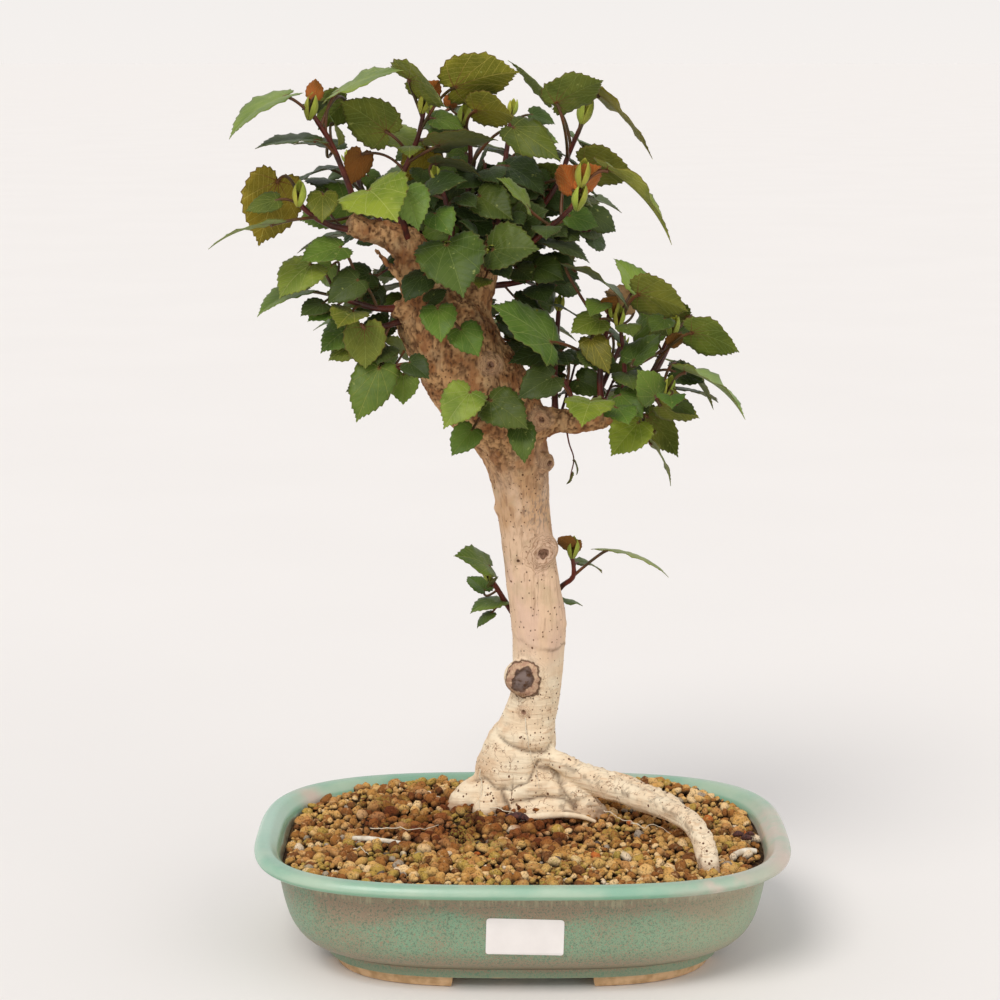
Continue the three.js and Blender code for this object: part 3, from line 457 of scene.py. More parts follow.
class Nodes:
    """Adds nodes to a tree by plain calls, and links them."""

    def __init__(self, tree: Tree) -> None:
        """Works on an empty tree."""
        self.tree = tree

    def feed(self, socket: Socket, value: object) -> None:
        """Links a socket to another, or sets its value.

        Args:
            socket: the socket to feed.
            value: another socket, or a value.
        """
        if isinstance(value, Socket):
            self.tree.links.new(value, socket)
        else:
            socket.default_value = value

    def add(self, kind: str, inputs: Sequence | dict = (), out: int | str = 0, **settings: object) -> Socket:
        """Adds a node.

        Args:
            kind: its type.
            inputs: values or sockets, in order, with None to skip one, or by name or index.
            out: which of its outputs is wanted.
            settings: its own properties.

        Returns:
            That output.
        """
        node = self.tree.nodes.new(kind)
        for key, value in settings.items():
            setattr(node, key, value)
        pairs = inputs.items() if isinstance(inputs, dict) else enumerate(inputs)
        for key, value in pairs:
            if value is not None:
                self.feed(node.inputs[key], value)
        return node.outputs[out]

    def math(self, operation: str, *values: object) -> Socket:
        """Sum on numbers."""
        return self.add("ShaderNodeMath", values, operation=operation)

    def times(self, total: object, *others: object) -> object:
        """Product of values.

        Args:
            total: the first value.
            others: the others.

        Returns:
            The product.
        """
        for other in others:
            total = self.math("MULTIPLY", total, other)
        return total

    def plus(self, total: object, *others: object) -> object:
        """Sum of values.

        Args:
            total: the first value.
            others: the others.

        Returns:
            The sum.
        """
        for other in others:
            total = self.math("ADD", total, other)
        return total

    def minus(self, one: object, other: object) -> Socket:
        """Difference of two values."""
        return self.math("SUBTRACT", one, other)

    def vector(self, operation: str, *values: object, out: int | str = 0) -> Socket:
        """Sum on vectors."""
        return self.add("ShaderNodeVectorMath", values, out, operation=operation)

    def scale(self, vector: object, factor: object) -> Socket:
        """Vector times a number."""
        return self.add("ShaderNodeVectorMath", {0: vector, "Scale": factor}, operation="SCALE")

    def mix(self, factor: object, one: object, other: object, blend: str = "MIX") -> Socket:
        """Colour between one and other."""
        values = {0: factor, 6: rgba(one), 7: rgba(other)}
        return self.add("ShaderNodeMix", values, 2, data_type="RGBA", blend_type=blend)

    def tinted(self, colour: object, shade: object) -> Socket:
        """Colour multiplied by a shade."""
        return self.mix(1.0, colour, shade, "MULTIPLY")

    def over(self, colour: object, shade: object, *shares: object) -> Socket:
        """Colour painted over with a shade, by the product of its shares."""
        return self.mix(self.times(*shares), colour, shade)

    def ramp(
        self, value: object, low: float, high: float, to_low: float = 0.0, to_high: float = 1.0,
    ) -> Socket:
        """Smooth step of a value from low to high."""
        inputs = {0: value, 1: low, 2: high, 3: to_low, 4: to_high}
        return self.add("ShaderNodeMapRange", inputs, interpolation_type="SMOOTHSTEP")

    def noise(self, place: object, scale: float, detail: float) -> Socket:
        """Soft noise around 0.5."""
        return self.add("ShaderNodeTexNoise", {"Vector": place, "Scale": scale, "Detail": detail})

    def cells(self, place: object, scale: float, out: str = "Distance", feature: str = "F1") -> Socket:
        """Scattered cells."""
        return self.add("ShaderNodeTexVoronoi", {"Vector": place, "Scale": scale}, out, feature=feature)

    def random(self, kind: str, low: object, high: object, seed: int) -> Socket:
        """Seeded draw for each point or instance.

        Args:
            kind: the type of value.
            low: the least.
            high: the most.
            seed: the seed of this draw.

        Returns:
            The drawn value.
        """
        node = self.tree.nodes.new("FunctionNodeRandomValue")
        node.data_type = kind
        live = {socket.name: socket for socket in node.inputs if socket.enabled}
        self.feed(live["Min"], low)
        self.feed(live["Max"], high)
        live["Seed"].default_value = seed
        return next(socket for socket in node.outputs if socket.enabled)

    def steps(self, value: object, stops: Sequence[tuple[float, Colour]], kind: str = "LINEAR") -> Socket:
        """Colours along a value.

        Args:
            value: from 0 to 1.
            stops: places and colours.
            kind: how it goes between them.

        Returns:
            The colour.
        """
        node = self.tree.nodes.new("ShaderNodeValToRGB")
        node.color_ramp.interpolation = kind
        elements = node.color_ramp.elements
        while len(elements) < len(stops):
            elements.new(0.5)
        for element, (place, colour) in zip(elements, stops):
            element.position = place
            element.color = rgba(colour)
        self.feed(node.inputs[0], value)
        return node.outputs[0]

    def attribute(self, name: str, out: str = "Fac") -> Socket:
        """Value kept on the mesh, for a material."""
        return self.add("ShaderNodeAttribute", out=out, attribute_name=name)


class Recipe(Nodes):
    """Node tree that makes geometry, with its own inputs."""

    def __init__(self, name: str, inputs: dict[str, str]) -> None:
        """Starts a recipe.

        Args:
            name: its name.
            inputs: the kind of each input beside the geometry, by its name.
        """
        super().__init__(bpy.data.node_groups.new(name, "GeometryNodeTree"))
        sides = [("Geometry", "INPUT", "Geometry"), *((key, "INPUT", kind) for key, kind in inputs.items())]
        for key, side, kind in (*sides, ("Geometry", "OUTPUT", "Geometry")):
            self.tree.interface.new_socket(key, in_out=side, socket_type=f"NodeSocket{kind}")
        self.given = self.tree.nodes.new("NodeGroupInput").outputs

    def named(self, name: str, kind: str = "FLOAT") -> Socket:
        """Value kept on the mesh."""
        return self.add("GeometryNodeInputNamedAttribute", {"Name": name}, data_type=kind)

    def end(self, geometry: Socket) -> Tree:
        """Ends the recipe with the geometry that it makes."""
        self.feed(self.tree.nodes.new("NodeGroupOutput").inputs[0], geometry)
        return self.tree


def rgba(value: object) -> object:
    """A colour with full cover, or the socket as it is.

    Args:
        value: a colour or a socket.

    Returns:
        The colour with its cover, or the same socket.
    """
    if isinstance(value, Socket):
        return value
    return (*value, 1.0) if len(value) == 3 else value


class Surface(Nodes):
    """Node tree of one material, around its shader."""

    def __init__(self, name: str, roughness: float) -> None:
        """Starts a material with one shader.

        Args:
            name: its name.
            roughness: how rough it is, where nothing else says so.
        """
        self.material = bpy.data.materials.new(name)
        self.material.use_nodes = True
        super().__init__(self.material.node_tree)
        self.shader = self.tree.nodes["Principled BSDF"]
        self.shader.inputs["Roughness"].default_value = roughness
        self.place = self.add("ShaderNodeTexCoord", out="Object")

    def height(self) -> Socket:
        """Height above the ground, in millimetres."""
        z = self.add("ShaderNodeSeparateXYZ", [self.place], "Z")
        return self.times(z, 1 / MM)

    def grain(self, scale: float, detail: float) -> Socket:
        """Soft noise over the places as they are."""
        return self.noise(self.place, scale, detail)

    def spots(self, scale: float, detail: float, *limits: float) -> Socket:
        """Soft noise over the places as they are, stepped smoothly between limits."""
        return self.ramp(self.grain(scale, detail), *limits)

    def stretched(self, x: float, y: float, z: float) -> Socket:
        """Places stretched along the axes."""
        return self.vector("MULTIPLY", self.place, (x, y, z))

    def mixed_noise(self, *parts: tuple[object, float]) -> Socket:
        """Sum of noises, each measured from its middle and weighed.

        Args:
            parts: each noise with its weight.

        Returns:
            The sum.
        """
        total: object = 0.0
        for value, weight in parts:
            total = self.math("MULTIPLY_ADD", self.minus(value, 0.5), weight, total)
        return total

    def near(self, point: Point, reach: float) -> Socket:
        """1 at a point in millimetres, falling to 0 at a reach in millimetres."""
        gap = self.vector("DISTANCE", self.place, tuple(metres(point)), out="Value")
        return self.ramp(gap, 0.0, reach * MM, 1.0, 0.0)

    def bump(self, height: object, distance: float, strength: float = 1.0) -> None:
        """Fine relief, from a height between 0 and 1 and its depth in millimetres.

        Args:
            height: the height.
            distance: the depth.
            strength: how strongly it shows.
        """
        inputs = {"Strength": strength, "Distance": distance * MM, "Height": height}
        normal = self.add("ShaderNodeBump", inputs)
        self.feed(self.shader.inputs["Normal"], normal)

    def finish(self, **values: object) -> Material:
        """Feeds the shader, by its sockets' names with lines for spaces, and returns the material.

        Args:
            values: the values or sockets to feed.

        Returns:
            The material.
        """
        for key, value in values.items():
            self.feed(self.shader.inputs[key.replace("_", " ")], rgba(value) if "Color" in key else value)
        return self.material


# Finishes


@dataclass(frozen=True)
class Glaze:
    """Celadon green glaze that broke to grey and brown, over bare clay under the feet."""

    green: Colour = (0.19, 0.355, 0.225)
    mauve: Colour = (0.295, 0.212, 0.14)
    lip: Colour = (0.255, 0.45, 0.33)
    lip_pale: Colour = (0.4, 0.53, 0.4)
    lip_misty: Colour = (0.42, 0.6, 0.49)
    lip_deep: Colour = (0.14, 0.36, 0.22)
    # Pale specks, and painted light on the right end of the wall
    freckle_and_light: Colour = (0.45, 0.48, 0.32)
    # Dark specks in the glaze, and painted shade in streaks under the lip
    speck_and_shade: Colour = (0.12, 0.13, 0.085)
    run: Colour = (0.4, 0.38, 0.24)
    # Dark pits in the glaze, and painted shade in the groove above the plinth
    pit: Colour = (0.07, 0.065, 0.045)
    blush: Colour = (0.57, 0.47, 0.39)
    clay: Colour = (0.68, 0.45, 0.25)
    clay_stain: Colour = (0.47, 0.29, 0.14)
    wall_rough: Colour = (0.42,) * 3
    lip_rough: Colour = (0.27,) * 3
    clay_rough: Colour = (0.85,) * 3
    worn: tuple[tuple[Point, float], ...] = (
        ((135, -50, 62), 46), ((143, 0, 62), 66), ((104, -94, 58), 42), ((62, -104, 58), 5),
        ((-118, 62, 62), 20),
    )

    def material(self) -> Material:
        """Builds the material.

        Returns:
            The material.
        """
        s = Surface("celadon_glaze", 0.34)
        height = s.height()
        stipple = s.grain(1500, 2)
        grit = s.grain(800, 3)
        drift = s.noise(s.stretched(1, 1, 1.6), 17, 3)
        cloud = s.grain(60, 5)
        streak = s.noise(s.stretched(1, 1, 0.16), 620, 4)
        low = s.ramp(s.plus(height, s.mixed_noise((drift, 14.0), (cloud, 8.0))), 13, 28, 0.8, 0)
        high = s.ramp(s.plus(height, s.mixed_noise((drift, 26.0), (cloud, 14.0))), 38, 54, 0, 0.78)
        high = s.times(high, s.ramp(s.near([-132, -58, 44], 46), 0, 0.5, 1, 0.1))
        share = s.plus(s.math("MAXIMUM", low, high), s.mixed_noise((drift, 0.9), (cloud, 0.9)))
        speckled = s.plus(s.ramp(share, -0.5, 1.0, 0.12, 0.95), s.mixed_noise((stipple, 3.0), (grit, 2.0)))
        colour = s.mix(s.ramp(speckled, 0.1, 0.95), self.green, self.mauve)
        dark = s.ramp(s.mixed_noise((stipple, 1.0), (grit, 1.0)), -0.04, -0.16)
        colour = s.over(colour, self.speck_and_shade, dark, 0.75)
        speck = s.spots(1700, 2, 0.6, 0.7)
        colour = s.over(colour, self.freckle_and_light, speck, 0.4)
        band = s.ramp(s.plus(height, s.mixed_noise((streak, 6.0), (cloud, 7.0))), 50.5, 54)
        # Painted shade: streaky darkening in the band under the overhanging lip
        colour = s.over(colour, self.speck_and_shade, band, s.ramp(streak, 0.42, 0.6, 0.3, 0.06))
        colour = s.over(colour, self.run, band, s.ramp(streak, 0.48, 0.64, 0.25, 0.7))
        # Painted light: the right end of the wall made paler, where more light falls from the right
        colour = s.over(colour, self.freckle_and_light, s.near([118, -80, 34], 80), 0.32)
        pit = s.spots(900, 2, 0.33, 0.27)
        colour = s.over(colour, self.pit, pit, 0.75)
        # Painted shade in the groove under the wall's overhang, just above the plinth
        groove = s.times(s.ramp(height, 10.6, 11.4), s.ramp(height, 12, 13, 1, 0))
        colour = s.over(colour, self.pit, groove, 0.55)
        plinth = s.ramp(s.plus(height, s.mixed_noise((stipple, 6.0), (cloud, 4.0))), 9.0, 11.5, 0.4, 0)
        colour = s.over(colour, self.lip_deep, plinth)
        lip = s.mix(s.ramp(s.noise(s.stretched(1, 1, 2), 28, 5), 0.36, 0.66), self.lip, self.lip_pale)
        lip = s.over(lip, self.lip_misty, s.near([-140, 10, 62], 90), 0.85)
        pooled = s.times(s.ramp(height, 57, 58.5), s.ramp(height, 60, 61.5, 1, 0))
        lip = s.over(lip, self.lip_deep, pooled, 0.6)
        lip = s.over(lip, self.freckle_and_light, speck, 0.25)
        edge = s.plus(height, s.mixed_noise((stipple, 2.0), (cloud, 4.0)))
        colour = s.over(colour, lip, s.ramp(edge, 56.3, 58))
        for point, reach in self.worn:
            worn = s.times(s.near(point, reach), s.spots(60, 5, 0.34, 0.58, 0.3, 1))
            colour = s.over(colour, self.blush, worn, s.ramp(height, 50, 58))
        clay = s.mix(s.spots(190, 4, 0.35, 0.7), self.clay, self.clay_stain)
        bare = s.ramp(s.plus(height, s.mixed_noise((cloud, 2.5))), 5.9, 6.7, 1, 0)
        colour = s.over(colour, clay, bare)
        rough = s.mix(s.ramp(height, 54, 60), self.wall_rough, self.lip_rough)
        rough = s.over(rough, self.clay_rough, bare)
        relief = s.plus(s.times(stipple, 0.35), s.grain(150, 3))
        s.bump(relief, 0.35, 0.45)
        return s.finish(Base_Color=colour, Roughness=rough, Specular_IOR_Level=0.42)


@dataclass(frozen=True)
class Granules:
    """Baked clay granules, dry and ochre, with moist, mossy and odd ones among them."""

    dry: tuple[Colour, ...] = (
        (0.63, 0.36, 0.11), (0.35, 0.15, 0.036), (0.72, 0.45, 0.17), (0.19, 0.075, 0.022), (0.5, 0.26, 0.07),
        (0.84, 0.6, 0.31), (0.47, 0.31, 0.07), (0.28, 0.11, 0.028), (0.65, 0.4, 0.13), (0.53, 0.27, 0.09),
    )
    odd: tuple[Colour, ...] = (
        (0.8, 0.66, 0.48), (0.38, 0.32, 0.25), (0.13, 0.1, 0.085), (0.55, 0.15, 0.035),
    )
    odd_from: float = 0.965
    odd_steps: tuple[float, ...] = (0, 0.015, 0.024, 0.031)
    damp: Colour = (0.46, 0.29, 0.22)
    moss: Colour = (0.28, 0.27, 0.05)
    # Near-black for the dips of the fine relief, and the painted shade on the granules' undersides and on
    # the soil body between them
    gap: Colour = (0.03, 0.013, 0.005)
    # Painted light on the granules' tops
    lit: Colour = (1.12, 1.04, 0.96)

    def material(self) -> Material:
        """Builds the material, with its shade drawn for each granule.

        Returns:
            The material.
        """
        s = Surface("clay_granules", 0.92)
        draw = s.attribute("draw")
        count = len(self.dry)
        stops = [(self.odd_from * i / count, shade) for i, shade in enumerate(self.dry)]
        stops += [(self.odd_from + place, shade) for place, shade in zip(self.odd_steps, self.odd)]
        colour = s.steps(draw, stops, "CONSTANT")
        grain = s.grain(900, 5)
        colour = s.over(colour, self.gap, s.ramp(grain, 0.3, 0.5, 0.7, 0))
        dust = s.spots(480, 4, 0.55, 0.7)
        colour = s.over(colour, self.dry[5], dust, 0.4)
        wet = s.math("MAXIMUM", s.near([-52, 16, 64], 66), s.near([2, 0, 64], 52))
        wet = s.times(s.ramp(wet, 0.0, 0.6), s.spots(45, 3, 0.34, 0.5))
        colour = s.over(colour, s.tinted(colour, self.damp), wet)
        green = s.times(s.spots(30, 4, 0.52, 0.66), s.ramp(grain, 0.45, 0.6))
        colour = s.over(colour, self.moss, green, 0.6)
        # Painted light on the granules' tops and painted shade on their undersides, by how far their surface
        # faces up
        up = s.attribute("up")
        colour = s.over(colour, s.tinted(colour, self.lit), s.ramp(up, 0.5, 0.95))
        colour = s.over(colour, self.gap, s.ramp(up, -0.3, 0.55, 0.97, 0))
        # Painted shade: the soil body, seen only between and under the granules, made near-black
        shaded_body = s.minus(1.0, s.attribute("loose"))
        colour = s.over(colour, self.gap, shaded_body, 0.9)
        s.bump(grain, 1.0, 1.0)
        return s.finish(Base_Color=colour, Specular_IOR_Level=0.25)


@dataclass(frozen=True)
class Bark:
    """Smooth cream bark low down, tan above, and brown and creviced in the crown."""

    cream: Colour = (0.82, 0.645, 0.445)
    ivory: Colour = (0.88, 0.75, 0.55)
    tan: Colour = (0.78, 0.55, 0.37)
    blush: Colour = (0.76, 0.53, 0.39)
    fawn: Colour = (0.6, 0.36, 0.19)
    olive: Colour = (0.5, 0.4, 0.23)
    brown: Colour = (0.31, 0.13, 0.044)
    cork: Colour = (0.57, 0.325, 0.145)
    crevice: Colour = (0.075, 0.032, 0.014)
    rust: Colour = (0.3, 0.11, 0.035)
    line: Colour = (0.28, 0.135, 0.065)
    soot: Colour = (0.2, 0.155, 0.135)
    heartwood: Colour = (0.2, 0.15, 0.135)
    callus: Colour = (0.42, 0.24, 0.16)
    callus_pale: Colour = (0.58, 0.4, 0.26)

    def material(self, scars: Sequence["Scar"]) -> Material:
        """Builds the material over the relief kept on the mesh, with its scars painted on.

        Args:
            scars: the scars, each where it lies on the surface.

        Returns:
            The material.
        """
        s = Surface("bark", 0.8)
        height = s.height()
        broad = s.noise(s.stretched(1, 1, 0.6), 26, 4)
        level = s.plus(height, s.times(s.minus(broad, 0.5), 60.0))
        cream = s.mix(s.ramp(s.noise(s.stretched(1, 1, 2.2), 70, 6), 0.34, 0.66), self.cream, self.ivory)
        tan = s.mix(s.ramp(s.noise(s.stretched(1, 1, 0.35), 80, 6), 0.38, 0.62), self.tan, self.blush)
        fawn = s.mix(s.ramp(s.noise(s.stretched(1, 1, 0.4), 95, 6), 0.36, 0.64), self.fawn, self.tan)
        patch = s.ramp(s.noise(s.stretched(1, 1, 0.75), 105, 7), 0.36, 0.56)
        cork = s.mix(patch, self.brown, self.cork)
        colour = s.mix(s.ramp(level, 132, 162), cream, tan)
        colour = s.over(colour, fawn, s.ramp(level, 205, 238))
        colour = s.over(colour, cork, s.ramp(level, 240, 272))
        high = s.ramp(level, 236, 272)
        pits = s.plus(s.cells(s.stretched(1, 1, 0.6), 330), s.mixed_noise((s.grain(700, 3), 0.35)))
        pits = s.ramp(pits, 0.24, 0.12, 0, 1)
        pits = s.times(pits, s.spots(85, 4, 0.47, 0.58))
        rust = s.spots(65, 6, 0.53, 0.6)
        colour = s.over(colour, self.rust, rust, high, 0.6)
        colour = s.over(colour, self.crevice, pits, high, 0.85)
        # Darker blotches round the small scars under the bough
        dark_blotch = s.times(s.near([17, 30, 256], 17), s.spots(240, 5, 0.46, 0.6))
        colour = s.over(colour, self.crevice, dark_blotch, 0.9)
        mould = s.times(s.spots(75, 5, 0.52, 0.7), s.ramp(level, 150, 190, 0, 0.35))
        colour = s.over(colour, self.olive, mould)
        fibre = s.ramp(s.noise(s.stretched(1, 1, 0.09), 520, 5), 0.5, 0.72)
        colour = s.over(colour, self.line, fibre, s.ramp(level, 125, 250, 0.07, 0.55))
        crack = s.ramp(s.noise(s.stretched(1, 1, 0.11), 520, 4), 0.62, 0.68)
        colour = s.over(colour, self.line, crack, s.ramp(level, 125, 240, 0.06, 0.6))
        ripple = s.noise(s.stretched(0.8, 0.8, 7), 75, 5)
        low = s.ramp(level, 118, 150, 1, 0)
        crease = s.times(s.ramp(ripple, 0.58, 0.68), s.times(low, 0.5))
        colour = s.over(colour, self.fawn, crease)
        stain = s.times(s.spots(48, 5, 0.57, 0.66), s.times(low, 0.45))
        colour = s.over(colour, self.fawn, stain)
        seam = s.math("ABSOLUTE", s.mixed_noise((s.grain(95, 4), 1.0)))
        across = s.add("ShaderNodeSeparateXYZ", [s.place], "X")
        root = s.ramp(across, metres((22, 0, 0))[0], metres((32, 0, 0))[0])
        where = s.plus(s.grain(38, 3), s.times(root, 0.12))
        seam = s.times(s.ramp(seam, 0.002, 0.012, 1, 0), s.ramp(where, 0.5, 0.58))
        colour = s.over(colour, self.line, seam, s.times(low, 0.7))
        fleck = s.ramp(s.cells(s.stretched(1, 1, 0.8), 330), 0.17, 0.1, 0, 1)
        fleck = s.times(fleck, s.spots(60, 3, 0.45, 0.55))
        colour = s.over(colour, self.crevice, fleck, 0.8)
        soot = s.ramp(s.noise(s.stretched(1, 1, 0.5), 620, 5), 0.47, 0.6)
        soot = s.times(s.near([13, 34, 234], 21), soot)
        colour = s.over(colour, self.soot, soot, 0.75)
        soiled = s.ramp(s.plus(height, s.mixed_noise((broad, 14.0), (ripple, 10.0))), 60, 68, 0.7, 0)
        colour = s.over(colour, self.line, soiled)
        # The carved grooves, fissures and edges darkened: partly the bark's dark cracks, partly painted
        # shade in them
        colour = s.over(colour, self.crevice, s.attribute("crevice"))
        for scar in scars:
            colour = self.scar(s, colour, scar)
        grain = s.noise(s.stretched(1, 1, 0.28), 430, 7)
        pitted = s.plus(s.times(patch, 0.7), grain)
        relief = s.mix(s.ramp(level, 125, 160), ripple, s.mix(s.ramp(level, 225, 265), grain, pitted))
        sunk = s.minus(relief, s.times(s.math("MAXIMUM", fleck, crack), 0.25))
        sunk = s.math("MULTIPLY_ADD", s.times(pits, high), -0.4, sunk)
        s.bump(sunk, 1.0, 0.9)
        return s.finish(Base_Color=colour, Specular_IOR_Level=0.25)

    def scar(self, s: Surface, colour: object, scar: "Scar") -> object:
        """Paints a healed cut: dead heart, callus with radial checks, and swirls in the bark round it, with
        painted shade in its hollow.

        Args:
            s: the surface.
            colour: the bark's colour.
            scar: the scar, with its place, radius and heart.

        Returns:
            The colour with the scar.
        """
        radius, heart = scar.radius * MM, scar.core
        away = s.vector("SUBTRACT", s.place, tuple(metres(scar.at)))
        away = s.vector("MULTIPLY", away, (1 / radius, 0.45 / radius, scar.squash / radius))
        wobble = s.mixed_noise((s.grain(260, 3), 0.5), (s.grain(90, 2), 0.6))
        reach = s.plus(s.vector("LENGTH", away, out="Value"), wobble)
        parts = s.tree.nodes.new("ShaderNodeSeparateXYZ")
        s.feed(parts.inputs[0], away)
        angle = s.math("ARCTAN2", parts.outputs["Z"], parts.outputs["X"])
        spokes = s.add("ShaderNodeCombineXYZ", [s.times(angle, 2.4), s.times(reach, 0.8)])
        checks = s.ramp(s.noise(spokes, 3.4, 4), 0.54, 0.64)
        swirl = s.math("SINE", s.plus(s.times(reach, 24.0), s.times(wobble, 22.0)))
        around = s.times(s.ramp(reach, heart, heart + 0.15), s.ramp(reach, 1.1, 1.9, 1, 0))
        rings = s.times(s.ramp(swirl, 0.25, 0.95), around)
        colour = s.over(colour, self.callus_pale, around, 0.0 if scar.callused else 0.4)
        colour = s.over(colour, self.line, rings, 0.2 if scar.callused else 0.6)
        if scar.callused:
            ring = s.mix(s.spots(330, 5, 0.36, 0.66), self.callus, self.callus_pale)
            ring = s.over(ring, self.line, checks, 0.5)
            colour = s.over(colour, ring, s.ramp(reach, 0.98, 1.04, 0.95, 0))
            # Dark rim in the groove round the callus: partly a dark crack, partly painted shade
            rim = s.ramp(s.math("ABSOLUTE", s.minus(reach, 1.0)), 0.02, 0.09, 0.85, 0)
            colour = s.over(colour, self.crevice, rim)
        kind, ragged = (self.heartwood, 240) if scar.callused else (self.callus, 520)
        dead = s.mix(s.spots(ragged, 5, 0.34, 0.52), self.crevice, kind)
        # Painted shade in the hollow: darker towards the heart's edge in a callused scar, darker towards the
        # middle of an open hole
        limits = (heart - 0.25, heart, 0.0, 1.0) if scar.callused else (0.0, heart, 0.9, 0.4)
        dead = s.over(dead, self.crevice, s.ramp(reach, *limits), 0.75)
        return s.mix(s.ramp(reach, heart, heart + 0.09, 0.96, 0), colour, dead)


@dataclass(frozen=True)
class Blade:
    """Leaf blade: its own shade on each side, with veins, a thin dark margin and a soft sheen."""

    laterals: tuple[float, ...] = (0.5, 0.98, 1.7)
    pinnate: float = 0.14
    red: Colour = (0.16, 0.04, 0.018)
    margin: Colour = (0.13, 0.055, 0.018)
    fleck: Colour = (0.4, 0.44, 0.16)
    dim: Colour = (0.66, 0.72, 0.6)
    bright: Colour = (1.16, 1.1, 1.0)
    warmth: Colour = (1.0, 0.96, 0.74)
    sheen: Colour = (0.85, 0.95, 0.75)

    def veins(self, s: Surface, u: object, v: object) -> tuple[object, object]:
        """Pattern of the veins in the flat of a blade.

        Args:
            s: the surface.
            u: place along the blade.
            v: distance from the midrib.

        Returns:
            The main veins and the fine ones, from 0 to 1.
        """
        main = s.ramp(v, 0.003, 0.012, 1, 0)
        bend = s.times(v, v, 0.35)
        for angle in self.laterals:
            along = s.plus(s.times(u, math.cos(angle)), s.times(v, math.sin(angle)))
            off = s.minus(s.times(v, math.cos(angle)), s.times(u, math.sin(angle)))
            off = s.math("ABSOLUTE", s.plus(off, s.times(bend, math.sin(angle))))
            ray = s.times(s.ramp(off, 0.002, 0.009, 1, 0), s.math("GREATER_THAN", along, 0.0))
            main = s.math("MAXIMUM", main, ray)
        rising = s.minus(u, s.times(v, 0.95))
        fine = s.ramp(s.math("PINGPONG", rising, self.pinnate / 2), 0.002, 0.01, 1, 0)
        around = s.plus(s.times(u, 0.5), s.times(v, 1.6))
        outer = s.ramp(s.math("PINGPONG", around, self.pinnate / 2), 0.002, 0.01, 1, 0)
        beyond = s.ramp(s.minus(v, s.times(u, 0.55)), -0.01, 0.02)
        fine = s.add("ShaderNodeMix", {0: beyond, 2: fine, 3: outer})
        return main, fine

    def material(self) -> Material:
        """Builds the material over the values that each blade carries.

        Returns:
            The material.
        """
        s = Surface("leaf_blade", 0.5)
        flat = s.attribute("flat", "Vector")
        parts = s.tree.nodes.new("ShaderNodeSeparateXYZ")
        s.feed(parts.inputs[0], flat)
        along, across = parts.outputs["X"], s.math("ABSOLUTE", parts.outputs["Y"])
        main, fine = self.veins(s, along, across)
        under = s.attribute("under")
        tint = s.mix(under, s.attribute("top_shade", "Color"), s.attribute("under_shade", "Color"))
        wander = s.spots(70, 4, 0.32, 0.68)
        colour = s.mix(wander, s.tinted(tint, self.dim), s.tinted(tint, self.bright))
        net = s.ramp(s.cells(flat, 30, feature="DISTANCE_TO_EDGE"), 0.0, 0.12, 1, 0)
        vein = s.attribute("vein_shade", "Color")
        colour = s.over(colour, vein, net, s.ramp(under, 0, 1, 0.07, 0.22))
        colour = s.over(colour, vein, fine, s.ramp(under, 0, 1, 0.32, 0.6))
        from_base = s.vector("LENGTH", flat, out="Value")
        rib = s.mix(s.times(under, s.ramp(from_base, 0.08, 0.5, 1, 0.1)), vein, self.red)
        colour = s.over(colour, rib, main, s.ramp(under, 0, 1, 0.6, 0.85))
        fleck = s.spots(330, 2, 0.69, 0.75)
        colour = s.over(colour, self.fleck, fleck, 0.45)
        foot = s.times(s.ramp(from_base, 0.02, 0.07, 1, 0), 0.7)
        colour = s.over(colour, self.red, foot)
        margin = s.times(s.ramp(s.attribute("edge"), 0.94, 1.0), s.ramp(under, 0, 1, 0.3, 0.7))
        colour = s.over(colour, self.margin, margin)
        colour = s.tinted(colour, self.warmth)
        drop = s.math("MAXIMUM", s.times(fine, 0.6), main)
        relief = s.minus(s.times(s.grain(600, 3), 0.35), drop)
        s.bump(relief, 0.35, 0.6)
        rough = s.add("ShaderNodeMix", {0: under, 2: 0.46, 3: 0.66})
        return s.finish(
            Base_Color=colour, Roughness=rough, Specular_IOR_Level=0.22, Sheen_Weight=0.1,
            Sheen_Roughness=0.45, Sheen_Tint=(*self.sheen, 1.0),
        )


@dataclass(frozen=True)
class Stalk:
    """Dark red-brown stalks and stems, greener at the tips."""

    red: Colour = (0.13, 0.024, 0.014)
    dusk: Colour = (0.05, 0.016, 0.011)
    green: Colour = (0.2, 0.24, 0.04)
    dot: Colour = (0.3, 0.16, 0.1)

    def material(self) -> Material:
        """Builds the material over how young the wood is.

        Returns:
            The material.
        """
        s = Surface("stalk_skin", 0.42)
        shade = s.mix(s.spots(90, 4, 0.38, 0.62), self.red, self.dusk)
        colour = s.mix(s.attribute("fresh"), shade, self.green)
        dots = s.ramp(s.cells(s.stretched(1, 1, 0.5), 900), 0.18, 0.1, 0, 1)
        colour = s.over(colour, self.dot, dots, 0.35)
        s.bump(s.noise(s.stretched(1, 1, 0.2), 900, 3), 0.12, 0.5)
        return s.finish(Base_Color=colour, Specular_IOR_Level=0.35)


@dataclass(frozen=True)
class Plain:
    """Finish of a small piece: two close shades in a fine grain."""

    name: str
    dark: Colour
    light: Colour
    rough: float = 0.8
    grain: float = 300.0
    relief: float = 0.15

    def material(self) -> Material:
        """Builds the material.

        Returns:
            The material.
        """
        s = Surface(self.name, self.rough)
        texture = s.grain(self.grain, 5)
        s.bump(texture, self.relief, 0.6)
        return s.finish(Base_Color=s.mix(s.ramp(texture, 0.3, 0.7), self.dark, self.light))


# Tray


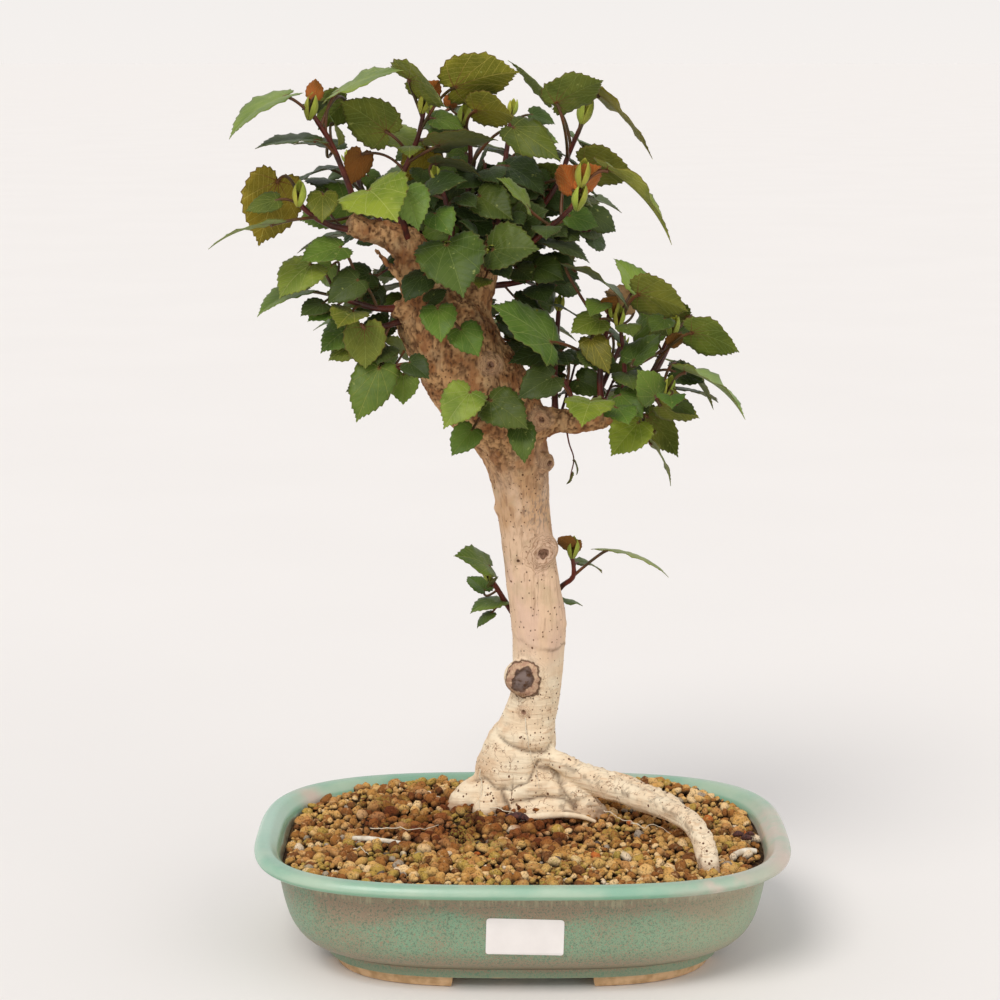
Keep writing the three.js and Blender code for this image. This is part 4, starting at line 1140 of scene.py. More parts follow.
@dataclass
class Tray:
    """Glazed clay tray with a rolled lip, four corner feet and two drain holes."""

    half_length: float = 145.0
    half_depth: float = 104.0
    squareness: float = 3.2
    steeper_below: float = 50.0
    steeper: float = 0.22
    underside: float = 6.5
    floor: float = 14.0
    steps: int = 160
    wall: tuple[tuple[float, float], ...] = (
        (38, 6.5), (38, 11), (25, 17), (18.5, 26), (14.5, 40), (12.5, 55), (8, 57), (1.5, 58.5),
        (0, 61.5), (2.5, 65), (8, 65), (13, 60), (18, 46), (24, 26), (34, 16), (44, 14),
    )
    foot_outer: float = 42.0
    foot_inner: float = 56.0
    front_gap: float = 73.0
    side_gap: float = 56.0
    drain_x: float = 60.0
    drain_radius: float = 8.0
    drain_reach: tuple[float, float] = (-8, 30)
    sharp_from: float = math.radians(38)
    floor_inset: float = 30.0
    belly_cut: float = 6.5
    edge_cut: float = 1.6

    def half_depth_at(self, inset: float, z: float) -> float:
        """Half depth of the tray at a distance in from its lip and at a height."""
        return self.half_depth - inset + self.steeper * max(self.steeper_below - z, 0)

    def ring(self, inset: float, z: float, steps: int | None = None) -> np.ndarray:
        """Outline of the tray at a distance in from its lip and at a height.

        Args:
            inset: the distance in from the lip.
            z: the height.
            steps: points round it, where not as many as usual.

        Returns:
            The points.
        """
        angles = np.arange(steps or self.steps) * 2 * math.pi / (steps or self.steps)
        half_depth = self.half_depth_at(inset, z)
        power = 2 / self.squareness
        cos, sin = np.cos(angles), np.sin(angles)
        x = np.sign(cos) * np.abs(cos) ** power * (self.half_length - inset)
        y = np.sign(sin) * np.abs(sin) ** power * half_depth
        return np.stack([x, y, np.full(len(x), z)], axis=1)

    def inset_at(self, z: float, inner: bool) -> float:
        """Distance in from the lip of the outer or inner face at a height."""
        face = self.wall[-5:][::-1] if inner else self.wall[1:6]
        return float(np.interp(z, [level for _, level in face], [inset for inset, _ in face]))

    def front_wall(self, x: float, z: float) -> float:
        """Depth of the outside of the front wall at a place across and a height.

        Args:
            x: the place across.
            z: the height.

        Returns:
            The depth.
        """
        inset = self.inset_at(z, False)
        half_depth = self.half_depth_at(inset, z)
        share = min(abs(x) / (self.half_length - inset), 1.0)
        return -half_depth * (1 - share**self.squareness) ** (1 / self.squareness)

    def smooth_wall(self) -> np.ndarray:
        """Wall profile with its corners rounded off, from the underside to the floor.

        Returns:
            Rows of inset and height.
        """
        wall = np.array(self.wall, float)
        rounded = [wall[0]]
        for before, corner, after in zip(wall[:-2], wall[1:-1], wall[2:]):
            belly = self.underside + 6 < corner[1] < self.steeper_below and corner[0] < self.floor_inset
            most = self.belly_cut if belly else self.edge_cut
            cut = min(most, np.linalg.norm(corner - before) / 2.1, np.linalg.norm(after - corner) / 2.1)
            enter = corner + (before - corner) / np.linalg.norm(before - corner) * cut
            leave = corner + (after - corner) / np.linalg.norm(after - corner) * cut
            rounded.extend(arc(enter, corner, leave, 5))
        rounded.append(wall[-1])
        return np.array(rounded)

    def solid(self, name: str, profile: Sequence[Point], low: float, high: float) -> Object:
        """Closed loft of the tray's outline along a profile of insets and heights."""
        rings = np.array([self.ring(inset, z) for inset, z in profile])
        return mesh_object(name, *loft(rings, np.array([0, 0, low]), np.array([0, 0, high])))

    def corner_arc(self, inset: float, gap: float, z: float, count: int) -> np.ndarray:
        """Part of the outline in one corner, between the gaps of the front and of the side.

        Args:
            inset: the distance in from the lip.
            gap: how much the gaps widen on each side.
            z: the height.
            count: how many points.

        Returns:
            The points.
        """
        half_length, half_depth = self.half_length - inset, self.half_depth_at(inset, z)
        power = self.squareness / 2
        first = math.asin(((self.side_gap / 2 + gap) / half_depth) ** power)
        last = math.acos(((self.front_gap / 2 + gap) / half_length) ** power)
        angles = np.linspace(first, last, count)
        x = np.cos(angles) ** (1 / power) * half_length
        y = np.sin(angles) ** (1 / power) * half_depth
        return np.stack([x, y, np.full(count, z)], axis=1)

    def foot(self, side_x: int, side_y: int, count: int = 24) -> Skin:
        """One corner foot, from the ground up into the body.

        Args:
            side_x: -1 for a left foot and 1 for a right one.
            side_y: -1 for a front foot and 1 for a back one.
            count: points along its outer and its inner face.

        Returns:
            The foot's skin.
        """
        levels = ((3.4, 0), (2.4, 0.5), (1.2, 3.0), (0, self.underside + 1.5))
        rings = []
        for draft, z in levels:
            outer = self.corner_arc(self.foot_outer - 1.5 + draft, draft / 2, z, count)
            inner = self.corner_arc(self.foot_inner - draft / 2, draft / 2, z, count)
            ring = np.vstack([outer, inner[::-1]]) * np.array([side_x, side_y, 1])
            rings.append(ring if side_x * side_y > 0 else ring[::-1])
        around, top = 2 * count, (len(levels) - 1) * 2 * count
        faces = []
        for level in range(len(levels) - 1):
            for i in range(around):
                a, b = level * around + i, level * around + (i + 1) % around
                faces.append((a, b, b + around, a + around))
        for i in range(count - 1):
            corners = (i, i + 1, around - 2 - i, around - 1 - i)
            faces.append(corners[::-1])
            faces.append(tuple(top + corner for corner in corners))
        return np.vstack(rings), faces

    def build(self) -> list[Object]:
        """Makes the tray.

        Returns:
            The tray as its one piece.
        """
        body = self.solid("tray", self.smooth_wall(), self.underside, self.floor)
        drains = []
        for x in (-self.drain_x, self.drain_x):
            bore = np.array([(x, 0, z, self.drain_radius) for z in self.drain_reach])
            drains.append(mesh_object("drain", *tube(bore, 48, round_end=0)))
        self.cut(body, drains, "DIFFERENCE")
        corners = [self.foot(x, y) for x in (-1, 1) for y in (-1, 1)]
        feet = mesh_object("feet", *merged(corners))
        self.cut(body, [feet], "UNION")
        body.data.shade_smooth()
        body.data.set_sharp_from_angle(angle=self.sharp_from)
        body.data.materials.clear()
        body.data.materials.append(Glaze().material())
        return [settle_piece(body, "glazed_clay", "pot")]

    @staticmethod
    def cut(target: Object, others: Sequence[Object], operation: str) -> None:
        """Joins or cuts a target by others, which are then removed.

        Args:
            target: the object to change.
            others: the objects that change it.
            operation: how they change it.
        """
        for other in others:
            modifier = target.modifiers.new("shape", "BOOLEAN")
            modifier.operation = operation
            modifier.solver = "EXACT"
            modifier.object = other
        plain_mesh(target)
        for other in others:
            bpy.data.objects.remove(other)


@dataclass
class Label:
    """Blank paper label with rounded corners, stuck on the front wall."""

    tray: Tray
    width: float = 40.0
    height: float = 19.5
    middle: tuple[float, float] = (0.7, 35.0)
    tilt: float = 0.026
    corner: float = 1.6
    thickness: float = 0.22
    standoff: float = 0.12
    curl: float = 0.35
    columns: int = 40

    def outline_inset(self, row: float) -> float:
        """How far a corner rounds off the sides at a distance from the top or bottom edge."""
        gap = max(self.corner - row, 0.0)
        return self.corner - math.sqrt(max(self.corner**2 - gap**2, 0.0))

    def build(self) -> list[Object]:
        """Makes the label.

        Returns:
            The label as its one piece.
        """
        columns, ends = self.columns, [0.0, 0.15, 0.5, 1.0, 1.6]
        rows = ends + list(np.linspace(3, self.height - 3, 12)) + [self.height - e for e in reversed(ends)]
        layers = []
        for lift in (self.standoff + self.thickness, self.standoff):
            points = []
            for row in rows:
                inset = self.outline_inset(min(row, self.height - row))
                for column in range(columns + 1):
                    across = (self.width / 2 - inset) * (2 * column / columns - 1)
                    up = row - self.height / 2
                    x = self.middle[0] + across + up * self.tilt
                    z = self.middle[1] + up - across * self.tilt
                    beside = smoothstep(0.8, 1.0, abs(across) / self.width * 2)
                    curl = self.curl * beside * smoothstep(0.5, 1, abs(up) / self.height * 2)
                    points.append((x, self.tray.front_wall(x, z) - lift - float(curl), z))
            layers.append(points)
        count, wide = len(rows) * (columns + 1), columns + 1
        faces = []
        for row in range(len(rows) - 1):
            for column in range(columns):
                a = row * wide + column
                faces.append((a, a + 1, a + 1 + wide, a + wide))
                faces.append((a + count, a + wide + count, a + 1 + wide + count, a + 1 + count))
        rim = list(range(columns))
        rim += [row * wide + columns for row in range(len(rows) - 1)]
        rim += [(len(rows) - 1) * wide + column for column in range(columns, 0, -1)]
        rim += [row * wide for row in range(len(rows) - 1, 0, -1)]
        for a, b in zip(rim, rim[1:] + rim[:1]):
            faces.append((b, a, a + count, b + count))
        label = mesh_object("label_blank", np.array(layers[0] + layers[1]), faces)
        label.data.set_sharp_from_angle(angle=math.radians(40))
        paper = Plain("label_paper", (0.79, 0.745, 0.72), (0.83, 0.785, 0.76), 0.42, 90, 0.05)
        label.data.materials.append(paper.material())
        return [settle_piece(label, "paper", "label")]


# Soil


@dataclass
class Soil:
    """Bed of clay granules: a rough body, and loose granules scattered over it."""

    tray: Tray
    height: float = 59.5
    seat: float = 0.35
    swellings: tuple[tuple[float, float, float, float], ...] = (
        (0, 52, 5.5, 42), (78, 72, 9, 36), (-135, 0, -3.5, 40), (20, -80, 2.5, 60), (-60, 66, 5.5, 46),
    )
    highest_edge: float = 63.5
    edge_drop: float = 1.0
    edge_share: float = 0.14
    relief: float = 1.6
    rings: int = 46
    sunk: float = 2.4
    beds: int = 3
    seed: int = 11
    large: tuple[float, float, float] = (4.2, 1.95, 4.7)
    small: tuple[float, float, float] = (3.1, 1.2, 2.1)
    shapes: tuple[int, ...] = (16,) * 3 + (42,) * 6
    fine_shapes: int = 3
    bed_span: tuple[float, float, int] = (0.975, 0.02, 40)
    bed_drop: float = 0.6

    def surface(self, x: np.ndarray, y: np.ndarray) -> np.ndarray:
        """Height of the soil without its grains.

        Args:
            x: places across.
            y: places from front to back.

        Returns:
            The heights.
        """
        total = np.full(np.shape(x), self.height)
        for cx, cy, rise, spread in self.swellings:
            total = total + rise * np.exp(-((x - cx) ** 2 + (y - cy) ** 2) / spread**2)
        return total

    def brim(self) -> np.ndarray:
        """Edge of the soil's top along the inner wall.

        Returns:
            The points of the edge.
        """
        guess = self.tray.ring(13, self.height)
        levels = np.minimum(self.surface(guess[:, 0], guess[:, 1]), self.highest_edge) - self.edge_drop
        rings = (self.tray.ring(self.tray.inset_at(z, True) + 2 * self.seat, z) for z in levels)
        return np.array([ring[i] for i, ring in enumerate(rings)])

    def top_ring(self, brim: np.ndarray, part: float) -> np.ndarray:
        """Ring of the soil's top, a part of the way out, which meets the brim at its edge.

        Args:
            brim: the edge of the soil's top.
            part: the part of the way out.

        Returns:
            The points.
        """
        blend = min(1.0, (1 - part) / self.edge_share)
        ring = brim * np.array([part, part, 1])
        target = self.surface(ring[:, 0], ring[:, 1])
        ring[:, 2] = ring[:, 2] + (target - ring[:, 2]) * blend
        return ring

    def build(self) -> list[Object]:
        """Makes the bed and its granules.

        Returns:
            The pieces, the body first.
        """
        finish = Granules().material()
        below = [(inset + self.seat, z + self.seat) for inset, z in self.tray.wall[-1:-5:-1]]
        rings = [self.tray.ring(inset, z) for inset, z in below]
        brim = self.brim()
        sunk = np.array([0, 0, self.sunk])
        rings.append(brim - sunk)
        for ring in range(1, self.rings):
            part = 1 - ring / self.rings
            level = self.top_ring(brim, part) - sunk
            level[:, 2] += self.relief * (fractal(level, (0.3, 0.3, 0.1), 2) - 0.5)
            rings.append(level)
        top = np.array([0, 0, float(self.surface(np.array(0.0), np.array(0.0))) - self.sunk])
        bottom = np.array([0, 0, self.tray.floor + self.seat])
        body = mesh_object("soil_body", *loft(np.array(rings), bottom, top))
        body.data.materials.append(finish)
        store(body.data, "draw", fractal(coordinates(body.data), (0.4, 0.4, 0.4), 2) * 0.6)
        # The body is not loose, so that it takes the painted shade between the granules
        store(body.data, "loose", np.zeros(len(body.data.vertices)))
        store(body.data, "up", np.ones(len(body.data.vertices)))
        pieces = [settle_piece(body, "soil", "soil")]
        grains = [self.granule(index, corners) for index, corners in enumerate(self.shapes)]
        tree = self.scatter_tree(grains[:self.fine_shapes], grains[self.fine_shapes:], finish)
        for bed in range(self.beds):
            pieces.append(self.bed(bed, brim, tree))
        for grain in grains:
            bpy.data.objects.remove(grain)
        return pieces

    def granule(self, index: int, count: int) -> Object:
        """Rounded, irregular granule of unit size, from a number of corners.

        Args:
            index: its number, which also seeds it.
            count: how many corners.

        Returns:
            The granule.
        """
        draw = Draws(31 + index)
        golden = math.pi * (3 - math.sqrt(5))
        shell = bmesh.new()
        stretch = Vector((draw.between(0.85, 1.2), draw.between(0.85, 1.1), draw.between(0.68, 0.9)))
        for i in range(count):
            z = 1 - (2 * i + 1) / count
            reach = math.sqrt(1 - z * z)
            angle = golden * i + index
            size = draw.between(0.82, 1.06)
            corner = Vector((reach * math.cos(angle), reach * math.sin(angle), z)) * size
            shell.verts.new(corner * stretch)
        bmesh.ops.convex_hull(shell, input=shell.verts)
        bmesh.ops.recalc_face_normals(shell, faces=shell.faces)
        mesh = bpy.data.meshes.new(f"granule_{index}")
        shell.to_mesh(mesh)
        shell.free()
        mesh.shade_smooth()
        return linked(mesh.name, mesh)

    def scatter_tree(self, fine: Sequence[Object], coarse: Sequence[Object], finish: Material) -> Tree:
        """Node tree that scatters granules over a surface, small ones between large ones.

        Args:
            fine: shapes of the small ones.
            coarse: shapes of the large ones.
            finish: their material.

        Returns:
            The tree, with spacings, sizes and seed as inputs.
        """
        g = Recipe("scatter_granules", {**dict.fromkeys(self.inputs(), "Float"), "Seed": "Int"})
        tree, given = g.tree, g.given
        layers = tree.nodes.new("GeometryNodeJoinGeometry")
        for layer, shapes, sink in (("Fine", fine, 0.9), ("Coarse", coarse, 0.2)):
            spread = tree.nodes.new("GeometryNodeDistributePointsOnFaces")
            spread.distribute_method = "POISSON"
            g.feed(spread.inputs["Mesh"], given["Geometry"])
            g.feed(spread.inputs["Distance Min"], given[f"{layer} Spacing"])
            spread.inputs["Density Max"].default_value = 4e5
            g.feed(spread.inputs["Seed"], g.plus(given["Seed"], float(len(shapes))))
            joined = tree.nodes.new("GeometryNodeJoinGeometry")
            for shape in shapes:
                piece = g.add("GeometryNodeObjectInfo", {"Object": shape}, "Geometry")
                tree.links.new(g.add("GeometryNodeGeometryToInstance", [piece]), joined.inputs[0])
            rise = g.times(g.random("FLOAT", -1.4 - sink, 1.3 - sink, 4), MM)
            lifted = g.add("GeometryNodeSetPosition", {
                "Geometry": spread.outputs["Points"], "Offset": g.add("ShaderNodeCombineXYZ", {"Z": rise}),
            })
            low, high = given[f"{layer} Smallest"], given[f"{layer} Largest"]
            skew = g.math("POWER", g.random("FLOAT", 0.0, 1.0, 5), 2.2)
            size = g.plus(low, g.times(skew, g.minus(high, low)))
            placed = g.add("GeometryNodeInstanceOnPoints", {
                "Points": lifted, "Instance": joined.outputs[0], "Pick Instance": True,
                "Instance Index": g.random("INT", 0, len(shapes) - 1, 6),
                "Rotation": g.random("FLOAT_VECTOR", (0, 0, 0), (2 * math.pi,) * 3, 7), "Scale": size,
            })
            tree.links.new(placed, layers.inputs[0])
        kept: object = layers.outputs[0]
        for name, value in (("draw", g.random("FLOAT", 0.0, 1.0, 9)), ("loose", 1.0)):
            inputs = {"Geometry": kept, "Name": name, "Value": value}
            kept = g.add("GeometryNodeStoreNamedAttribute", inputs, data_type="FLOAT", domain="INSTANCE")
        real = g.add("GeometryNodeRealizeInstances", [kept])
        return g.end(g.add("GeometryNodeSetMaterial", {"Geometry": real, "Material": finish}))

    @staticmethod
    def inputs() -> list[str]:
        """Names of the scattering's inputs, in the order of the sizes of small and large granules."""
        kinds = ("Spacing", "Smallest", "Largest")
        return [f"{layer} {kind}" for layer in ("Fine", "Coarse") for kind in kinds]

    def bed(self, index: int, brim: np.ndarray, tree: Tree) -> Object:
        """One of the beds of granules, each a third of the way round.

        Args:
            index: which bed.
            brim: the edge of the soil's top.
            tree: the tree that scatters the granules.

        Returns:
            The bed as a finished piece.
        """
        span = len(brim) // self.beds
        first = index * span
        last = first + span if index < self.beds - 1 else len(brim)
        take = [column % len(brim) for column in range(first, last + 1)]
        parts = np.linspace(*self.bed_span)
        rows = [self.top_ring(brim, part)[take] for part in parts]
        wide = len(take)
        faces = []
        for row in range(len(parts) - 1):
            for column in range(wide - 1):
                a = row * wide + column
                faces.append((a, a + 1, a + 1 + wide, a + wide))
        bed = mesh_object(f"granules_{index}", np.vstack(rows) - np.array([0, 0, self.bed_drop]), faces)
        sizes = {name: size * MM for name, size in zip(self.inputs(), self.small + self.large)}
        dress(bed, tree, {"Seed": self.seed + index, **sizes})
        # How far each granule's surface faces up, for its painted light and shade
        store(bed.data, "up", vertex_normals(bed.data)[:, 2])
        return settle_piece(bed, "soil")


# Wood


@dataclass(frozen=True)
class Scar:
    """Relief of a healed cut: a ring round a hollow, with swirls outside it."""

    at: Point
    facing: Point
    radius: float
    ridge: float
    depth: float
    core: float = 0.45
    swirls: float = 0.0
    squash: float = 1.0
    callused: bool = False

    def press(self, points: np.ndarray) -> tuple[np.ndarray, np.ndarray]:
        """Works out what the scar does to points of the bark.

        Args:
            points: places in millimetres.

        Returns:
            The lift along the scar's facing, and how much of other relief it wipes out.
        """
        facing = np.array(self.facing, float)
        facing /= np.linalg.norm(facing)
        away = points - np.array(self.at, float)
        out = away @ facing
        flat = away - out[:, None] * facing
        flat[:, 2] *= self.squash
        wobble = 1 + 0.3 * (fractal(points, (0.2,) * 3, 2) - 0.5)
        reach = np.linalg.norm(flat, axis=1) / self.radius * wobble
        inside = smoothstep(-1.6 * self.radius, -0.9 * self.radius, out)
        ring = np.exp(-(((reach - 0.8) / 0.2) ** 2))
        groove = 0.6 * np.exp(-(((reach - 1.08) / 0.09) ** 2)) * min(self.ridge, 1)
        hollow = 1 - smoothstep(self.core - 0.12, self.core + 0.1, reach)
        rings = self.swirls * np.sin(reach * 12) * np.exp(-(((reach - 1.3) / 0.6) ** 2))
        lift = (self.ridge * ring - groove - self.depth * hollow + rings) * inside
        return lift, (1 - smoothstep(0.95, 1.3, reach)) * inside


@dataclass
class Wood:
    """Trunk, limbs and surface roots, grown as one, with their bark relief and scars."""

    trunk: tuple[tuple[float, ...], ...] = (
        (-2, 50, 34, 15), (-2, 50, 46, 22), (-1, 50, 55, 25), (-1, 52, 69, 26), (-2, 54, 79, 23.9),
        (0, 54, 91, 20.4), (3, 54, 101, 18.1), (5, 54, 111, 14.9), (8, 54, 126, 14), (9, 54, 150, 14.4),
        (9, 53, 168, 14.9), (7, 52, 185, 14.5), (3, 49, 217, 14.2), (0, 45, 243, 15.2),
        (-2, 43, 258, 17.1), (-6, 41, 272, 19.7), (-12, 39, 286, 23), (-22, 37, 300, 25.1),
        (-32, 36, 314, 25), (-38, 35, 328, 24.9), (-45, 35, 342, 23.3), (-48, 35, 354, 17),
    )
    arms: tuple[tuple[tuple[float, ...], ...], ...] = (
        ((-45, 33, 338, 18.4), (-51, 32, 355, 14), (-57, 30, 369, 11.8), (-62, 28, 380, 9.6),
         (-72, 26, 385, 7.4), (-82, 24, 388, 6.4), (-92, 22, 392, 5.6)),
        ((-33, 36, 339, 16.2), (-26, 38, 352, 10.8), (-21, 40, 364, 8.1), (-16, 42, 375, 6.5),
         (-14, 44, 388, 4.9)),
        ((-41, 46, 335, 15.3), (-40, 62, 352, 9.9), (-37, 72, 367, 7.2), (-35, 82, 380, 5.4)),
        ((-48, 26, 338, 4.4), (-58, 18, 354, 2.8), (-65, 14, 363, 2.2), (-78, 10, 379, 1.7)),
        ((-48, 32, 336, 11.5), (-58, 28, 342, 8.6), (-69, 24, 346, 4.8)),
        ((-4, 38, 278, 13), (6, 36, 281, 10.4), (18, 34, 284, 7.2), (31, 32, 283, 5.4),
         (44, 30, 285, 4.4), (54, 28, 292, 3.8), (63, 26, 300, 3.2)),
        ((6, 46, 96, 7), (16, 42, 90, 7), (30, 38, 84, 6.7), (44, 30, 79, 7), (57, 20, 77, 6.7),
         (70, 5, 76, 6), (82, -12, 76, 5.7), (91, -28, 74, 5.7), (96, -45, 68, 5.9), (98, -60, 58, 5.6),
         (98, -66, 48, 4.6)),
        ((40, 38, 82, 5.1), (66, 22, 78, 5), (81, 7, 75, 4.6), (93, -4, 68, 3.8), (102, -10, 58, 3)),
        ((2, 46, 74, 14), (10, 42, 71, 12.4), (24, 36, 69, 10.1), (38, 32, 65, 6.9), (48, 28, 56, 4)),
        ((-1, 36, 64, 7), (1, 28, 60, 4.4), (13, 26, 63, 4.8), (27, 26, 64, 4.9), (40, 23, 60, 3.6)),
        ((-3, 44, 84, 5), (-5, 34, 77, 3.8), (-6, 28, 68, 3.8), (-7, 24, 58, 3.4)),
        ((-10, 50, 76, 12), (-21, 47, 72, 9.4), (-31, 44, 67, 8.4), (-40, 38, 59, 4.6)),
        ((-8, 42, 68, 11), (-18, 34, 65, 8.4), (-25, 28, 58, 5)),
        ((-4, 62, 70, 12), (-16, 74, 64, 7), (-28, 81, 54, 4)),
        ((6, 62, 72, 12), (24, 74, 66, 7), (44, 80, 58, 4)),
    )
    limbs: int = 6
    knots: tuple[tuple[float, ...], ...] = (
        (12, 42.5, 211, 8.4), (0, 44.5, 137, 10.2), (9, 27, 285, 6.2), (19, 50, 166, 6), (-9, 44, 234, 6.5),
        (11.5, 31.5, 261, 6.4), (-17, 20, 317, 6),
    )
    scars: tuple[Scar, ...] = (
        Scar((0.9, 36.4, 136.6), (-0.12, -1, 0.02), 9.9, 0.9, 2.0, 0.56, 0.0, 0.88, True),
        Scar((11.6, 35.2, 209), (0.25, -1, 0.05), 7.2, 1.5, 3.0, 0.36, 0.4),
        Scar((10.5, 22, 286), (0.3, -1, 0.1), 4.6, 0.8, 1.6, 0.36, 0.3),
        Scar((-17, 15, 317), (-0.1, -1, 0.1), 4.4, 0.8, 1.3, 0.4, 0.3),
        Scar((1.2, 37.5, 117.5), (0.0, -1, 0.2), 2.8, 0.9, 0.7, 0.42, 0.5),
        Scar((15, 29, 261), (0.5, -1, 0.0), 3.8, 0.9, 1.2, 0.3, 0.3),
        Scar((16, 33, 251), (0.5, -1, 0.0), 3.0, 0.9, 1.0, 0.26, 0.3),
        Scar((-2, 38, 205), (-0.1, -1, 0.0), 1.6, 0.5, 0.5, 0.5, 0.0),
        Scar((-97, 20, 393), (-1, -0.1, 0.3), 4.0, 0.4, 0.7, 0.5, 0.0),
    )
    grooves: tuple[tuple[Point, ...], ...] = (
        ((-17, 34, 106.5), (-11, 33, 101.6), (-3, 33, 98.2), (5, 33, 95.9), (13, 34, 96), (20.5, 37, 101)),
        ((10, 30, 90), (4.6, 29, 82.2), (-2.8, 28, 78.3), (-13.9, 28, 76.4), (-20.5, 30, 80), (-27, 36, 79)),
        ((11, 30, 87), (19.5, 29, 82), (25, 29, 75), (30, 30, 68)),
        ((-12, 28, 76), (-10.5, 26, 71), (-10, 25, 65)),
        ((-5.5, 28, 79), (-6.5, 26, 72), (-6.5, 24, 65)),
        ((-5, 24, 69), (3, 24, 70.5), (12, 24, 72), (22, 24, 72), (31, 24, 69)),
    )
    voxel: float = 1.05
    relax: tuple[float, int] = (0.5, 9)
    trunk_sides: int = 96
    arm_sides: int = 40
    rings: int = 6
    lenticel_seed: int = 5
    lenticel_rows: int = 30
    outside: float = 14.0

    @staticmethod
    def fluting(angles: np.ndarray, z: float) -> np.ndarray:
        """Fluting that is strong at the foot of the trunk and faint above."""
        strength = 0.035 + 0.05 * math.exp(-max(z - 60, 0) / 25)
        return 1 + strength * (np.sin(3 * angles + z / 21) + np.sin(5 * angles - z / 13) / 2)

    def ball(self, x: float, y: float, z: float, radius: float) -> Skin:
        """Round swelling of a knot, flatter towards the front.

        Args:
            x: its place across.
            y: its place from front to back.
            z: its height.
            radius: its radius.

        Returns:
            Its skin.
        """
        parts = np.linspace(0.12, math.pi - 0.12, 12)
        stations = [(x, y, z - radius * math.cos(a), radius * math.sin(a)) for a in parts]
        vertices, faces = tube(np.array(stations), 24)
        vertices[:, 1] = y + (vertices[:, 1] - y) * 0.85
        return vertices, faces

    def build(self) -> list[Object]:
        """Makes the wood.

        Returns:
            The wood and its lenticels.
        """
        skins = [tube(np.array(self.trunk, float), self.trunk_sides, self.fluting, self.rings)]
        skins += [tube(np.array(arm, float), self.arm_sides, None, self.rings) for arm in self.arms]
        skins += [self.ball(*knot) for knot in self.knots]
        wood = mesh_object("trunk_and_roots", *merged(skins))
        remesh = wood.modifiers.new("one_body", "REMESH")
        remesh.mode = "VOXEL"
        remesh.voxel_size = self.voxel * MM
        remesh.use_smooth_shade = True
        plain_mesh(wood)
        relax = wood.modifiers.new("relax", "SMOOTH")
        relax.factor, relax.iterations = self.relax
        plain_mesh(wood)
        surface = ray_target(wood)
        scars = self.seated(surface)
        self.carve(wood.data, scars, surface)
        wood.data.shade_smooth()
        wood.data.materials.clear()
        wood.data.materials.append(Bark().material(scars))
        settle_piece(wood, "bark", "trunk")
        return [wood, self.lenticels(wood)]

    @staticmethod
    def on_front(surface: BVHTree, point: Point) -> np.ndarray:
        """A point moved straight back or forth onto the front of the wood, or left as it is."""
        hit, *_ = surface.ray_cast(Vector(metres((point[0], -60, point[2]))), Vector((0, 1, 0)))
        return np.array(point, float) if hit is None else np.array(hit) / MM - DATUM

    def seated(self, surface: BVHTree) -> list[Scar]:
        """The scars, with those on the front moved onto the wood's surface.

        Args:
            surface: the wood's surface.

        Returns:
            The scars in their places.
        """
        found = []
        for scar in self.scars:
            front = scar.facing[1] < -0.5
            found.append(replace(scar, at=tuple(self.on_front(surface, scar.at))) if front else scar)
        return found

    def carve(self, mesh: Mesh, scars: Sequence[Scar], surface: BVHTree) -> None:
        """Presses the scars, grooves, fissures and wrinkles into the wood's surface.

        Args:
            mesh: the wood's mesh.
            scars: the scars in their places.
            surface: the wood's surface before it is carved.
        """
        points = coordinates(mesh)
        normals = vertex_normals(mesh)
        z = points[:, 2]
        # Crevice darkens the carved grooves, fissures, step edge and flake edges: partly the bark's dark
        # cracks, partly painted shade in them
        crevice = np.zeros(len(points))
        moved = points.copy()
        calm = np.ones(len(points))
        for scar in scars:
            lift, wiped = scar.press(points)
            facing = np.array(scar.facing, float)
            moved += lift[:, None] * facing / np.linalg.norm(facing)
            calm = np.minimum(calm, 1 - 0.85 * wiped)
        for path in self.grooves:
            line = spline(np.array(path, float), np.linspace(0, 1, 40))
            line = np.array([self.on_front(surface, point) for point in line])
            gap = np.min(np.linalg.norm(points[:, None, :] - line[None, :, :], axis=2), axis=1)
            front = smoothstep(50, 42, points[:, 1])
            dip = 1.3 * np.exp(-((gap / 5) ** 2)) + 1.5 * np.exp(-((gap / 1.7) ** 2))
            moved -= (dip * front)[:, None] * normals
            crevice = np.maximum(crevice, 0.8 * np.exp(-((gap / 0.9) ** 2)) * front)
        rough = smoothstep(225, 285, z + 14 * (fractal(points, (0.06,) * 3, 2) - 0.5) * 2)
        lumps = fractal(points, (0.11, 0.11, 0.07), 3) - 0.5
        fissure = 1 - np.abs(2 * fractal(points, (0.3, 0.3, 0.13), 3) - 1)
        fissure = smoothstep(0.87, 1.0, fissure)
        cork = fractal(points, (0.46, 0.46, 0.3), 2) - 0.5
        lift = rough * (2.8 * lumps + 1.7 * cork - 1.3 * fissure)
        lift += (1 - rough) * (1.1 * lumps + 0.3 * cork)
        wrinkle = fractal(points, (0.05, 0.05, 0.45), 2) - 0.5
        lift += smoothstep(150, 95, z) * 0.8 * wrinkle
        cork = fractal(points, (0.75, 0.75, 0.5), 2) - 0.5
        lift += rough * 0.7 * cork
        step = 156 + 9 * (fractal(points, (0.12, 0.12, 0.0), 2) - 0.5) - 0.25 * (points[:, 0] - 8)
        lift += 0.45 * smoothstep(-0.7, 0.9, z - step) * smoothstep(60, 20, z - step)
        edge = 0.5 * np.exp(-(((z - step) / 0.9) ** 2)) * smoothstep(8, 18, points[:, 0])
        crevice = np.maximum(crevice, edge)
        moved += (lift * calm)[:, None] * normals
        crevice = np.maximum(crevice, rough * np.maximum(fissure * 0.8, smoothstep(0.12, 0.28, -cork) * 0.6))
        flake = smoothstep(0.5, 0.56, fractal(points, (0.26,) * 3, 2)) * smoothstep(0.1, 0.7, normals[:, 2])
